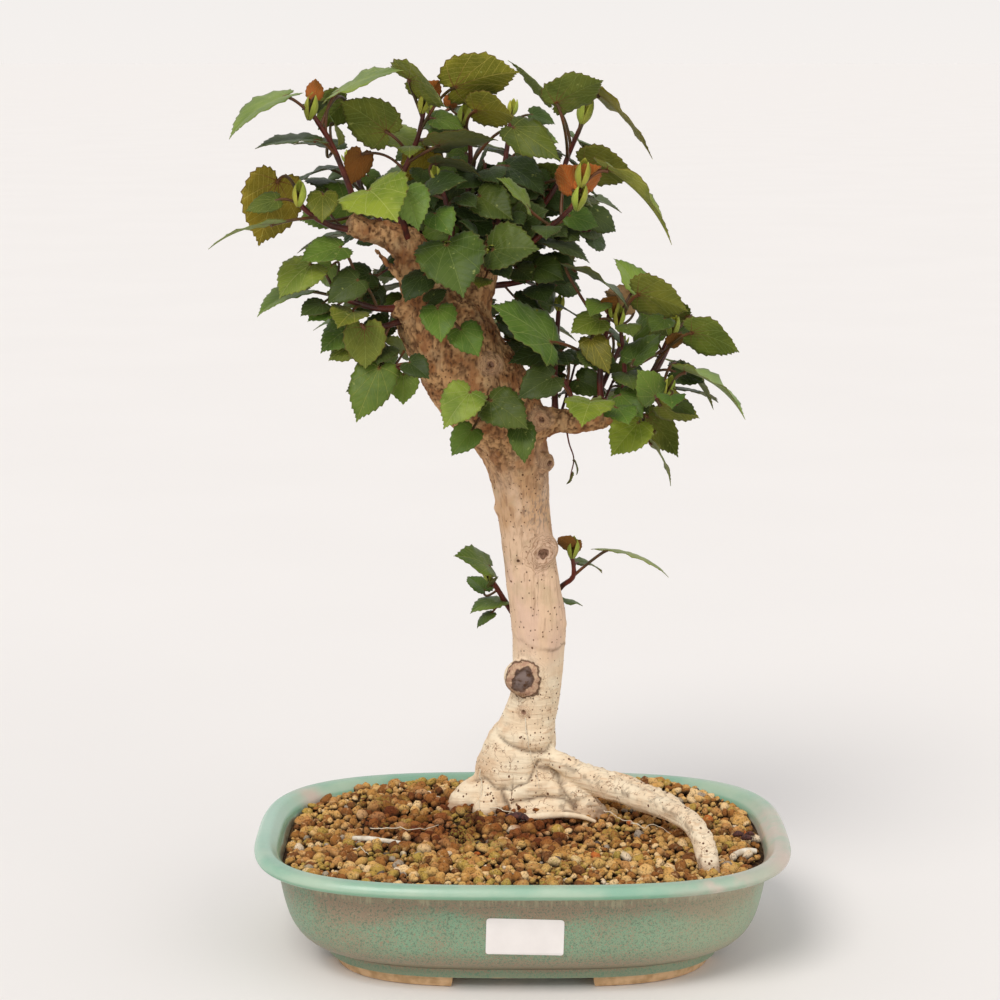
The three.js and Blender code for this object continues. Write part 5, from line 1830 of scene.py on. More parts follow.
        flake *= smoothstep(18, 26, points[:, 0]) * smoothstep(96, 90, z)
        moved += 0.8 * flake[:, None] * normals
        crevice = np.maximum(crevice, 1.9 * flake * (1 - flake))
        move_vertices(mesh, moved)
        store(mesh, "crevice", crevice * calm)

    def lenticels(self, wood: Object) -> Object:
        """Small raised pores in loose upright rows, set on the bark by nodes.

        Args:
            wood: the finished wood.

        Returns:
            The pores as a finished piece.
        """
        surface = ray_target(wood)
        draw = Draws(self.lenticel_seed)
        spots, facings, sizes = [], [], []

        def cast(middle: np.ndarray, way: Vector, size: Callable[[], float]) -> None:
            """Sets a pore where a ray from outside meets the bark, if it does.

            Args:
                middle: place and radius of the wood within.
                way: the way out of it.
                size: draws the pore's size.
            """
            start = Vector(metres(middle[:3])) + way * (middle[3] + self.outside) * MM
            hit, normal, *_ = surface.ray_cast(start, -way)
            if hit is not None:
                spots.append(np.array(hit) / MM - DATUM)
                facings.append(tuple(normal))
                sizes.append(size())

        stations = spline(np.array(self.trunk, float), np.linspace(0, 1, 400))
        for row in range(self.lenticel_rows):
            angle = 2 * math.pi * (row + 0.6 * draw()) / self.lenticel_rows
            part = 0.1 + 0.3 * draw()
            while part < 0.97:
                part += draw.between(0.006, 0.045) * (1.0 if draw() < 0.75 else 3.0)
                if part >= 0.99:
                    break
                turned = angle + 0.12 * (draw() - 0.5)
                way = Vector((math.cos(turned), math.sin(turned), 0))
                middle = stations[int(part * 399)]
                cast(middle, way, lambda: draw.between(0.22, 0.5) * (1.4 if draw() < 0.12 else 1.0))
        for arm in self.arms[self.limbs:]:
            stations = spline(np.array(arm, float), np.linspace(0, 1, 60))
            for _ in range(int(10 + 16 * (len(arm) > 9))):
                middle = stations[int(draw() * 59)]
                way = Vector((draw() - 0.5, -draw(), 0.9 * draw() + 0.05)).normalized()
                cast(middle, way, lambda: draw.between(0.4, 0.8))
        pores = mesh_object("lenticels", np.array(spots), [])
        store(pores.data, "facing", np.array(facings), "FLOAT_VECTOR")
        store(pores.data, "size", np.array(sizes) * MM)
        g = Recipe("set_pores", {"Flatness": "Float"})
        pore = g.add("GeometryNodeMeshIcoSphere", {"Radius": 1.0, "Subdivisions": 1})
        away = g.named("facing", "FLOAT_VECTOR")
        turn = g.add("FunctionNodeAlignRotationToVector", {"Vector": away}, axis="Z")
        size = g.named("size")
        tall = g.times(size, g.given["Flatness"])
        scale = g.add("ShaderNodeCombineXYZ", [size, g.times(size, 1.25), tall])
        placed = g.add("GeometryNodeInstanceOnPoints", {
            "Points": g.given[0], "Instance": pore, "Rotation": turn, "Scale": scale,
        })
        real = g.add("GeometryNodeRealizeInstances", [placed])
        smooth = g.add("GeometryNodeSetShadeSmooth", {"Geometry": real})
        finish = Plain("lenticel", (0.09, 0.035, 0.015), (0.24, 0.12, 0.06), 0.9, 1200).material()
        tree = g.end(g.add("GeometryNodeSetMaterial", {"Geometry": smooth, "Material": finish}))
        dress(pores, tree, {"Flatness": 0.45})
        return settle_piece(pores, "bark")


# Leaves


class Tone(Enum):
    """Shades of a blade: its upper side, its underside and its veins."""

    DARK = ((0.036, 0.062, 0.012), (0.075, 0.095, 0.03), (0.11, 0.16, 0.05))
    DEEP = ((0.06, 0.1, 0.017), (0.1, 0.125, 0.03), (0.15, 0.2, 0.06))
    MID = ((0.092, 0.17, 0.028), (0.14, 0.165, 0.024), (0.25, 0.31, 0.08))
    LIGHT = ((0.195, 0.28, 0.05), (0.2, 0.235, 0.045), (0.36, 0.43, 0.16))
    BRIGHT = ((0.195, 0.262, 0.03), (0.22, 0.28, 0.045), (0.38, 0.44, 0.13))
    GREY = ((0.14, 0.225, 0.05), (0.18, 0.22, 0.08), (0.27, 0.36, 0.13))
    BRONZE = ((0.11, 0.115, 0.015), (0.2, 0.17, 0.014), (0.44, 0.4, 0.09))
    OLIVE = ((0.11, 0.145, 0.018), (0.165, 0.18, 0.015), (0.38, 0.38, 0.09))
    RUST = ((0.2, 0.08, 0.016), (0.22, 0.085, 0.016), (0.34, 0.16, 0.04))
    ORANGE = ((0.34, 0.085, 0.014), (0.38, 0.095, 0.018), (0.5, 0.26, 0.08))
    PINK = ((0.32, 0.2, 0.12), (0.36, 0.22, 0.14), (0.42, 0.26, 0.18))
    BRACT = ((0.3, 0.36, 0.05), (0.34, 0.4, 0.07), (0.44, 0.46, 0.12))


class Facing(Enum):
    """How a blade faces: the way its upper side looks, before it is squared to its own length."""

    FRONT = (0, -0.85, 0.5)
    FRONT_HIGH = (0, -0.5, 0.85)
    FRONT_LEFT = (-0.3, -0.75, 0.55)
    UP = (0, -0.12, 1)
    UP_LEFT = (-0.3, -0.2, 0.93)
    UP_RIGHT = (0.55, 0, 0.83)
    SLANT_LEFT = (-0.45, 0.02, 0.9)
    SLANT_RIGHT = (0.45, 0.1, 0.88)
    STEEP_RIGHT = (0.76, 0.1, 0.64)
    SIDE = (0.92, 0.07, 0.4)
    UP_BACK = (0, 0.3, 0.95)
    BACK = (0, 0.8, 0.55)


T, F = Tone, Facing

# Shoots given one by one: the stem's points, then each leaf as its place along the stem from 0 to 1,
# where its blade starts, where it ends, how it faces and its shades
SHOOTS = {
    "stub_low": ([(-86, 22, 388), (-102, 16, 391), (-115, 10, 400), (-118, 8, 407)], [
        (0.95, (-130, 22, 414), (-140, 14, 380), F.BACK, T.BRONZE),
        (0.5, (-131, 2, 393), (-163, -10, 381), F.SLANT_LEFT, T.LIGHT),
        (0.4, (-96, 44, 401), (-121, 50, 391), F.FRONT, T.MID),
    ]),
    "stub_high": ([(-85, 25, 388), (-91, 26, 407), (-100, 16, 432), (-106, 10, 443), (-111, 8, 451)], [
        (0.85, (-123, 2, 459), (-152, -8, 437), F.UP_LEFT, T.LIGHT),
        (0.45, (-108, 2, 436), (-139, -6, 432), F.UP, T.DEEP),
        (0.6, (-101, 40, 430), (-124, 52, 432), F.UP, T.DARK),
        (0.65, (-97, 12, 461), (-62, 0, 472), F.UP_LEFT, T.LIGHT),
        (0.75, (-94, 26, 456), (-110, 36, 440), F.BACK, T.MID),
    ]),
    "stub_mid": ([(-68, 28, 381), (-65, 34, 413), (-60, 32, 426), (-55, 28, 439), (-52, 26, 453)], [
        (0.75, (-36, 16, 463), (-2, 2, 471), F.BACK, T.OLIVE),
        (0.9, (-60, 18, 467), (-43, -12, 457), F.BACK, T.OLIVE),
        (0.5, (-72, 22, 440), (-96, 16, 456), F.BACK, T.MID),
        (0.45, (-45, 14, 433), (-13, 4, 436), F.UP_BACK, T.DEEP),
        (0.65, (-51, 50, 429), (-64, 52, 411), F.BACK, T.BRONZE),
        (0.55, (-76, 38, 440), (-52, 30, 430), F.FRONT_HIGH, T.LIGHT),
        (0.35, (-86, 42, 428), (-92, 42, 411), F.BACK, T.RUST),
    ]),
    "front_low": ([(-60, 27, 378), (-65, 6, 399), (-72, -2, 407)], [
        (0.95, (-80, -8, 411), (-64, -35, 396), F.FRONT, T.BRIGHT),
        (0.75, (-61, -2, 410), (-54, -16, 390), F.FRONT, T.GREY),
        (0.5, (-46, 4, 398), (-37, -8, 387), F.FRONT, T.MID),
    ]),
    "front_head": ([(-48, 30, 356), (-44, 20, 371), (-41, 8, 378)], [
        (1, (-40, 0, 382), (-31, -21, 356), F.FRONT, T.DEEP),
        (0.6, (-52, 2, 366), (-62, -6, 352), F.FRONT_LEFT, T.DARK),
    ]),
    "inner_left": ([(-46, 32, 358), (-38, 26, 384), (-40, 22, 400), (-44, 20, 412)], [
        (0.9, (-46, 36, 423), (-22, 32, 416), F.UP_BACK, T.DARK),
        (0.8, (-50, 14, 409), (-29, 8, 415), F.FRONT_HIGH, T.DARK),
    ]),
    "top_mid": ([(-39, 62, 352), (-36, 52, 378), (-30, 46, 403), (-28, 40, 430), (-32, 34, 447)], [
        (0.85, (-25, 28, 451), (-5, 12, 448), F.BACK, T.BRONZE),
        (0.65, (-5, 24, 442), (20, 12, 425), F.FRONT, T.OLIVE),
        (0.6, (-22, 66, 430), (-4, 80, 422), F.UP, T.DARK),
    ]),
    "middle_front": ([(-20, 40, 364), (-18, 24, 370), (-17, 12, 376)], [
        (0.95, (-16, 4, 379), (9, -6, 380), F.FRONT, T.DEEP),
        (0.7, (-24, 10, 384), (-34, 2, 394), F.FRONT_HIGH, T.DARK),
    ]),
    "inner_front": ([(-15, 43, 380), (-13, 36, 394), (-12, 28, 402)], [
        (0.9, (-23, 16, 406), (-5, 4, 394), F.FRONT, T.DEEP),
        (0.7, (-4, 28, 389), (14, 18, 399), F.FRONT, T.DARK),
        (0.95, (-8, 34, 421), (12, 26, 405), F.FRONT_HIGH, T.DARK),
    ]),
    "right_main": ([(-17, 42, 372), (-2, 30, 376), (10, 22, 386), (23, 12, 398), (29, 8, 406)], [
        (0.85, (44, 2, 421), (77, -12, 383), F.STEEP_RIGHT, T.LIGHT),
        (0.6, (2, 10, 402), (-14, 0, 417), F.FRONT_HIGH, T.LIGHT),
        (0.7, (33, 30, 422), (60, 20, 416), F.BACK, T.MID),
        (0.5, (11, 38, 383), (36, 28, 370), F.UP, T.DARK),
    ]),
    "right_high": ([
        (-14, 45, 384), (1, 46, 391), (11, 42, 400), (20, 38, 414), (24, 34, 426), (31, 28, 443),
    ], [
        (0.85, (14, 26, 456), (-8, 14, 477), F.UP, T.LIGHT),
        (0.8, (17, 20, 455), (41, 2, 467), F.BACK, T.MID),
        (0.98, (40, 18, 459), (68, 8, 426), F.STEEP_RIGHT, T.BRONZE),
        (0.6, (6, 52, 411), (24, 46, 420), F.BACK, T.MID),
    ]),
    "bough_left": ([(44, 30, 286), (42, 30, 307), (44, 28, 326), (46, 24, 340), (48, 22, 349)], [
        (0.6, (28, 20, 367), (56, 6, 347), F.SLANT_RIGHT, T.DEEP),
        (0.75, (36, 12, 331), (46, 4, 313), F.FRONT, T.BRONZE),
        (0.35, (15, 4, 330), (-17, -6, 351), F.FRONT_HIGH, T.MID),
        (0.7, (34, 26, 336), (14, 18, 348), F.UP, T.DARK),
    ]),
    "bough_dark": ([(30, 33, 284), (27, 29, 296), (23, 25, 306)], [
        (0.9, (21, 26, 323), (-8, 18, 317), F.FRONT_HIGH, T.DARK),
        (0.6, (16, 20, 312), (-3, 14, 301), F.FRONT, T.DARK),
    ]),
    "bough_mid": ([(54, 28, 292), (55, 24, 313), (53, 22, 332), (51, 20, 341)], [
        (0.75, (61, 14, 355), (87, 2, 347), F.BACK, T.MID),
        (0.9, (61, 22, 356), (49, 30, 372), F.UP, T.LIGHT),
        (0.85, (60, 32, 348), (44, 36, 354), F.FRONT, T.PINK),
    ]),
    "bough_right": ([(62, 26, 299), (70, 22, 313), (76, 18, 327), (80, 14, 338)], [
        (0.45, (89, 6, 336), (113, -8, 327), F.BACK, T.MID),
        (0.8, (89, 28, 341), (68, 34, 330), F.BACK, T.MID),
        (0.6, (59, 8, 320), (74, 20, 333), F.UP, T.DEEP),
    ]),
    "bough_front": ([(60, 27, 297), (71, 14, 299), (79, 6, 305)], [
        (0.4, (70, 4, 302), (60, -2, 317), F.FRONT, T.MID),
        (0.9, (86, 2, 315), (117, -10, 291), F.UP_RIGHT, T.LIGHT),
        (0.7, (88, 30, 312), (104, 24, 290), F.STEEP_RIGHT, T.MID),
        (0.9, (74, 16, 294), (95, 8, 288), F.BACK, T.MID),
    ]),
    "bough_under": ([(50, 29, 289), (48, 14, 295), (42, 4, 300)], [
        (0.9, (36, -2, 301), (30, -28, 291), F.FRONT_HIGH, T.BRIGHT),
        (0.6, (52, 6, 301), (64, -6, 290), F.FRONT, T.MID),
    ]),
    "bough_low": ([(56, 28, 293), (62, 29, 284), (70, 24, 280)], [
        (0.5, (62, 18, 286), (47, 10, 269), F.FRONT, T.BRIGHT),
        (0.8, (68, 18, 286), (85, 12, 264), F.BACK, T.MID),
        (1, (70, 24, 273), (80, 18, 251), F.SIDE, T.MID),
    ]),
    "collar_up": ([(-40, 26, 336), (-41, 12, 345)], [
        (1, (-45, 4, 348), (-43, -8, 331), F.FRONT, T.MID),
        (0.9, (-33, 8, 337), (-23, 0, 323), F.FRONT, T.MID),
    ]),
    "collar_low": ([(-16, 22, 296), (-19, 8, 300)], [
        (1, (-28, 0, 304), (-42, -12, 286), F.FRONT, T.LIGHT),
        (0.6, (-27, 6, 283), (-38, -2, 270), F.FRONT, T.MID),
        (0.7, (-17, 1, 299), (3, -9, 285), F.FRONT, T.DEEP),
        (0.5, (-1, 6, 285), (1, -4, 266), F.FRONT, T.DEEP),
    ]),
    "spur_out": ([(-67, 24, 346), (-79, 18, 347), (-91, 13, 351), (-101, 10, 355)], [
        (0.95, (-112, 8, 371), (-128, -2, 354), F.FRONT_LEFT, T.LIGHT),
        (0.75, (-116, 20, 356), (-141, 10, 343), F.UP, T.LIGHT),
        (0.6, (-96, 8, 380), (-117, -2, 373), F.FRONT_HIGH, T.MID),
        (0.3, (-87, 8, 363), (-103, 2, 351), F.FRONT, T.DARK),
    ]),
    "spur_down": ([(-59, 28, 341), (-74, 20, 337), (-84, 16, 337)], [
        (0.95, (-84, 8, 338), (-83, -2, 317), F.BACK, T.MID),
        (0.8, (-89, 22, 337), (-108, 14, 323), F.FRONT_HIGH, T.MID),
    ]),
    "flank": ([(-48, 29, 312), (-59, 20, 314), (-68, 12, 316), (-74, 8, 317)], [
        (0.95, (-76, 2, 317), (-88, -8, 289), F.FRONT, T.MID),
        (0.7, (-63, 16, 324), (-75, 26, 328), F.BACK, T.MID),
    ]),
    "sprig_left": ([(4, 58, 160), (-5, 66, 169), (-14, 64, 184), (-20, 60, 194)], [
        (0.95, (-18, 56, 198), (-38, 46, 206), F.FRONT_HIGH, T.MID),
        (0.6, (-12, 58, 176), (-29, 50, 170), F.UP, T.MID),
    ]),
    "sprig_right": ([(12, 58, 170), (17, 64, 178), (23, 60, 186), (29, 54, 193), (28, 50, 206)], [
        (0.7, (47, 46, 210), (81, 36, 196), F.SLANT_RIGHT, T.LIGHT),
        (0.8, (32, 66, 198), (46, 74, 190), F.UP, T.MID),
    ]),
}

# Shoots grown by rule behind and inside the crown: the stem's points and how many leaves
RULED = {
    "back_low": ([(-41, 50, 334), (-52, 76, 336), (-66, 92, 342)], 3),
    "back_left": ([(-39, 66, 358), (-60, 88, 370), (-80, 100, 386)], 4),
    "back_rear": ([(-36, 78, 374), (-38, 98, 396), (-46, 108, 422)], 3),
    "back_right": ([(-35, 80, 377), (-18, 98, 388), (0, 110, 400)], 3),
    "back_stub": ([(-72, 27, 384), (-84, 52, 402), (-94, 70, 420)], 2),
    "back_top": ([(-38, 68, 360), (-42, 72, 410), (-50, 78, 446)], 3),
    "inner_top": ([(-15, 44, 386), (-10, 56, 418), (-6, 64, 446)], 2),
    "inner_right": ([(-17, 43, 374), (0, 62, 392), (16, 76, 410)], 3),
    "back_trunk": ([(-28, 50, 312), (-18, 76, 322), (-6, 92, 336)], 3),
    "inner_low": ([(-24, 40, 356), (-2, 48, 358), (14, 54, 364)], 2),
    "bough_rear": ([(33, 33, 283), (44, 54, 300), (54, 70, 318)], 3),
    "bough_tip": ([(56, 29, 293), (72, 52, 306), (84, 66, 326)], 3),
    "bough_inner": ([(18, 35, 284), (18, 46, 312), (20, 54, 340)], 2),
}

# Width of blades that the photograph shows slimmer or fuller, as a share of a full blade, by shoot and
# number
GIRTHS = {
    ("flank", 0): 0.7, ("top_mid", 1): 0.6, ("collar_low", 0): 0.82, ("collar_low", 1): 0.8,
    ("collar_low", 2): 0.84, ("collar_low", 3): 0.66, ("bough_left", 1): 0.66,
    ("right_high", 0): 0.6, ("right_high", 1): 0.7, ("right_high", 2): 0.72, ("stub_mid", 0): 0.76,
    ("front_low", 0): 1.0, ("front_low", 1): 0.8, ("front_head", 0): 1.0, ("right_main", 0): 0.3,
    ("bough_front", 1): 0.75, ("right_main", 1): 0.7, ("bough_left", 2): 0.95,
    ("bough_low", 0): 0.88, ("bough_low", 1): 0.68,
}

# Shares of their width for stems that are thinner than the others
SLIM = {"hanging": 0.26, "bough_right": 0.68, "bough_mid": 0.78, "bough_front": 0.8}

# Places where the bare wood shows at the front: from x to x, from z to z, and the depth of the wood
CLEARINGS = (
    (-98, -56, 368, 397, 34), (-60, 20, 268, 346, 40), (-64, -40, 340, 380, 30), (18, 62, 262, 288, 30),
)

# Tufts of small leaves in the dark of the crown: the twig's points, how many leaves and how long.
# The last is a thin hanging twig, whose leaves are listed one by one
TUFTS = {
    "under_left": ([(-64, 28, 372), (-76, 38, 364), (-88, 38, 356)], 8, (13, 20)),
    "low_left": ([(-50, 32, 346), (-66, 38, 336), (-78, 40, 326)], 8, (13, 20)),
    "left_fork": ([(-60, 30, 376), (-58, 46, 394), (-52, 50, 410)], 9, (13, 21)),
    "fork": ([(-50, 36, 356), (-44, 42, 374), (-38, 44, 388)], 9, (13, 21)),
    "middle": ([(-24, 40, 358), (-30, 38, 376), (-32, 34, 390)], 9, (13, 21)),
    "middle_high": ([(-14, 44, 384), (-22, 42, 404), (-20, 40, 420)], 9, (14, 22)),
    "right_fork": ([(-16, 42, 376), (-2, 44, 366), (14, 44, 356)], 9, (13, 21)),
    "right_rise": ([(-14, 44, 386), (2, 48, 400), (14, 50, 412)], 9, (14, 22)),
    "right_reach": ([(-14, 44, 380), (12, 44, 384), (34, 44, 386)], 9, (14, 22)),
    "rear_left": ([(-38, 70, 364), (-52, 64, 386), (-62, 60, 404)], 9, (14, 22)),
    "rear_high": ([(-36, 78, 376), (-30, 66, 400), (-26, 60, 420)], 9, (14, 22)),
    "bough_top": ([(20, 35, 284), (26, 44, 302), (30, 50, 316)], 5, (12, 19)),
    "bough_crown": ([(40, 31, 284), (48, 44, 300), (54, 52, 312)], 5, (12, 19)),
    "bough_in": ([(8, 38, 288), (4, 42, 306), (8, 44, 322)], 6, (13, 20)),
    "collar": ([(-40, 28, 330), (-50, 22, 330), (-56, 18, 334)], 3, (10, 15)),
    "hanging": ([(24, 31, 280), (25.5, 29, 272), (28, 27, 264), (26.5, 26, 256)], 0, (7, 8)),
}

# Shoots given one by one that end in a bud like the ruled ones
BUDDED = ("inner_left", "inner_front", "middle_front", "front_head")

# Buds at shoot tips: foot and tip of the bracts, and the shoot
BUDS = (
    ((-118, 6, 401), (-117, 5, 414), "stub_low"), ((-112, 8, 446), (-110, 8, 459), "stub_high"),
    ((-54, 25, 449), (-50, 24, 461), "stub_mid"), ((-33, 33, 442), (-30, 32, 454), "top_mid"),
    ((28, 8, 399), (31, 4, 413), "right_main"), ((30, 6, 411), (32, 2, 425), "right_main"),
    ((31, 28, 443), (35, 28, 458), "right_high"),
    ((48, 20, 341), (49, 18, 351), "bough_left"), ((51, 20, 336), (52, 18, 347), "bough_mid"),
    ((79, 14, 331), (81, 13, 343), "bough_right"), ((76, 8, 301), (79, 5, 311), "bough_front"),
    ((28, 51, 203), (29, 49, 215), "sprig_right"), ((-18, 61, 188), (-20, 59, 198), "sprig_left"),
)

# Young and small leaves: where each starts and ends, how it faces, its shades and its shoot
SMALL = (
    ((-109, 8, 458), (-108, 7, 468), F.BACK, T.ORANGE, "stub_high"),
    ((-50, 22, 457), (-44, 19, 467), F.BACK, T.ORANGE, "stub_mid"),
    ((-39, 32, 453), (-33, 29, 460), F.BACK, T.ORANGE, "top_mid"),
    ((26, 6, 410), (19, 0, 424), F.BACK, T.ORANGE, "right_main"),
    ((30, 6, 411), (41, 1, 423), F.BACK, T.ORANGE, "right_main"),
    ((44, 18, 346), (50, 12, 354), F.BACK, T.RUST, "bough_left"),
    ((79, 12, 328), (86, 6, 334), F.BACK, T.RUST, "bough_right"),
    ((-104, 52, 410), (-119, 66, 413), F.UP, T.DARK, "stub_low"),
    ((-102, 24, 369), (-106, 34, 357), F.FRONT, T.MID, "spur_out"),
    ((-64, 20, 311), (-64, 14, 295), F.FRONT, T.LIGHT, "flank"),
    ((-60, 0, 320), (-49, -8, 312), F.FRONT, T.DARK, "flank"),
    ((-50, 12, 351), (-40, 16, 357), F.FRONT_HIGH, T.DARK, "collar_up"),
    ((25, 32, 395), (41, 34, 389), F.FRONT, T.MID, "right_main"),
    ((-21, 74, 180), (-31, 84, 186), F.UP, T.MID, "sprig_left"),
    ((27, 48, 211), (20, 43, 217), F.BACK, T.RUST, "sprig_right"),
    ((22, 68, 176), (35, 74, 171), F.UP, T.MID, "sprig_right"),
    ((-17, 60, 186), (-13, 56, 192), F.UP, T.DEEP, "sprig_left"),
    ((-17, 60, 170), (-25, 57, 162), F.UP, T.DEEP, "sprig_left"),
    ((28, 50, 208), (33, 47, 215), F.BACK, T.RUST, "sprig_right"),
    ((28, 27, 263), (29.5, 26, 255), F.SIDE, T.DEEP, "hanging"),
    ((27, 26, 256), (24, 26, 250), F.SIDE, T.DEEP, "hanging"),
)


@dataclass
class Leaf:
    """One leaf: where it leaves its stem, how it bends, and the frame of its blade."""

    shoot: str
    start: np.ndarray
    heading: np.ndarray
    arch: float
    fold: float
    wave: float
    phase: float
    tone: Tone
    girth: float = 1.0
    base: np.ndarray = field(default_factory=lambda: np.zeros(3))
    axis: np.ndarray = field(default_factory=lambda: np.zeros(3))
    normal: np.ndarray = field(default_factory=lambda: np.zeros(3))
    side: np.ndarray = field(default_factory=lambda: np.zeros(3))
    length: float = 0.0
    room: float = 0.0
    samples: np.ndarray = field(default_factory=lambda: np.zeros((0, 3)))
    stalk_samples: np.ndarray = field(default_factory=lambda: np.zeros((0, 3)))
    centre: np.ndarray = field(default_factory=lambda: np.zeros(3))

    def framed(self, base: np.ndarray, tip: np.ndarray, facing: np.ndarray) -> "Leaf":
        """Copy of the leaf with its blade from base to tip, facing a given way.

        Args:
            base: where the blade starts.
            tip: where it ends.
            facing: the way that its upper side looks.

        Returns:
            The copy.
        """
        leaf = replace(self)
        leaf.base = np.array(base, float)
        leaf.axis = np.array(tip, float) - leaf.base
        leaf.length = float(np.linalg.norm(leaf.axis))
        leaf.axis /= leaf.length
        facing = np.array(facing, float)
        leaf.normal = facing - facing.dot(leaf.axis) * leaf.axis
        leaf.normal /= np.linalg.norm(leaf.normal)
        leaf.side = np.cross(leaf.normal, leaf.axis)
        return leaf

    def points(self, along: np.ndarray, across: np.ndarray) -> np.ndarray:
        """Points of the bent blade, at places in parts of its length.

        Args:
            along: parts of the length along the blade.
            across: parts of the length across it, from its midrib.

        Returns:
            The points.
        """
        ripple = np.sin(9 * along + self.phase + np.where(across > 0, 0, 2))
        bend = self.arch * 4 * along * (1 - along)
        rise = bend + self.fold * np.abs(across) + self.wave * 4 * across**2 * ripple
        shift = np.outer(along, self.axis) + np.outer(across, self.side) + np.outer(rise, self.normal)
        return self.base + shift * self.length

    def stalk(self) -> np.ndarray:
        """Three points of the stalk, which bows out and meets the notch from behind and below.

        Returns:
            Where the stalk starts, its middle and its end.
        """
        reach = float(np.linalg.norm(self.base - self.start))
        middle = (self.start + self.base) / 2 + self.heading * 0.16 * reach
        for way, share in ((self.axis, 0.12), (self.normal, 0.05)):
            short = share * reach - (self.base - middle).dot(way)
            if short > 0:
                middle = middle - way * short
        return np.array([self.start, middle, self.base])


# Edge of one half of a blade from notch to tip, along and across: the plain one that leaves keep clear
# of each other by, and the rounder one that is seen
OUTLINE = np.array([
    (0, 0), (-0.11, 0.1), (-0.14, 0.27), (-0.03, 0.43), (0.18, 0.49), (0.43, 0.43), (0.66, 0.27),
    (0.85, 0.09), (1, 0),
])
ROUNDED = np.array([
    (0, 0), (-0.12, 0.1), (-0.15, 0.28), (-0.04, 0.45), (0.17, 0.53), (0.42, 0.5), (0.64, 0.37),
    (0.81, 0.19), (0.91, 0.06), (1, 0),
])

# Rule of the leaves, in radians: a turn about the stem, the twist from leaf to leaf and the swings that
# are tried; then the least and the spread of a blade's arch, fold and wave
TURN = 6.28
TWIST = 2.4
SWINGS = (0, 0.3, -0.3, 0.6, -0.6, 0.9, -0.9, 1.2, -1.2)
BENDS = ((0.04, 0.07), (-0.06, 0.26), (0, 0.05))


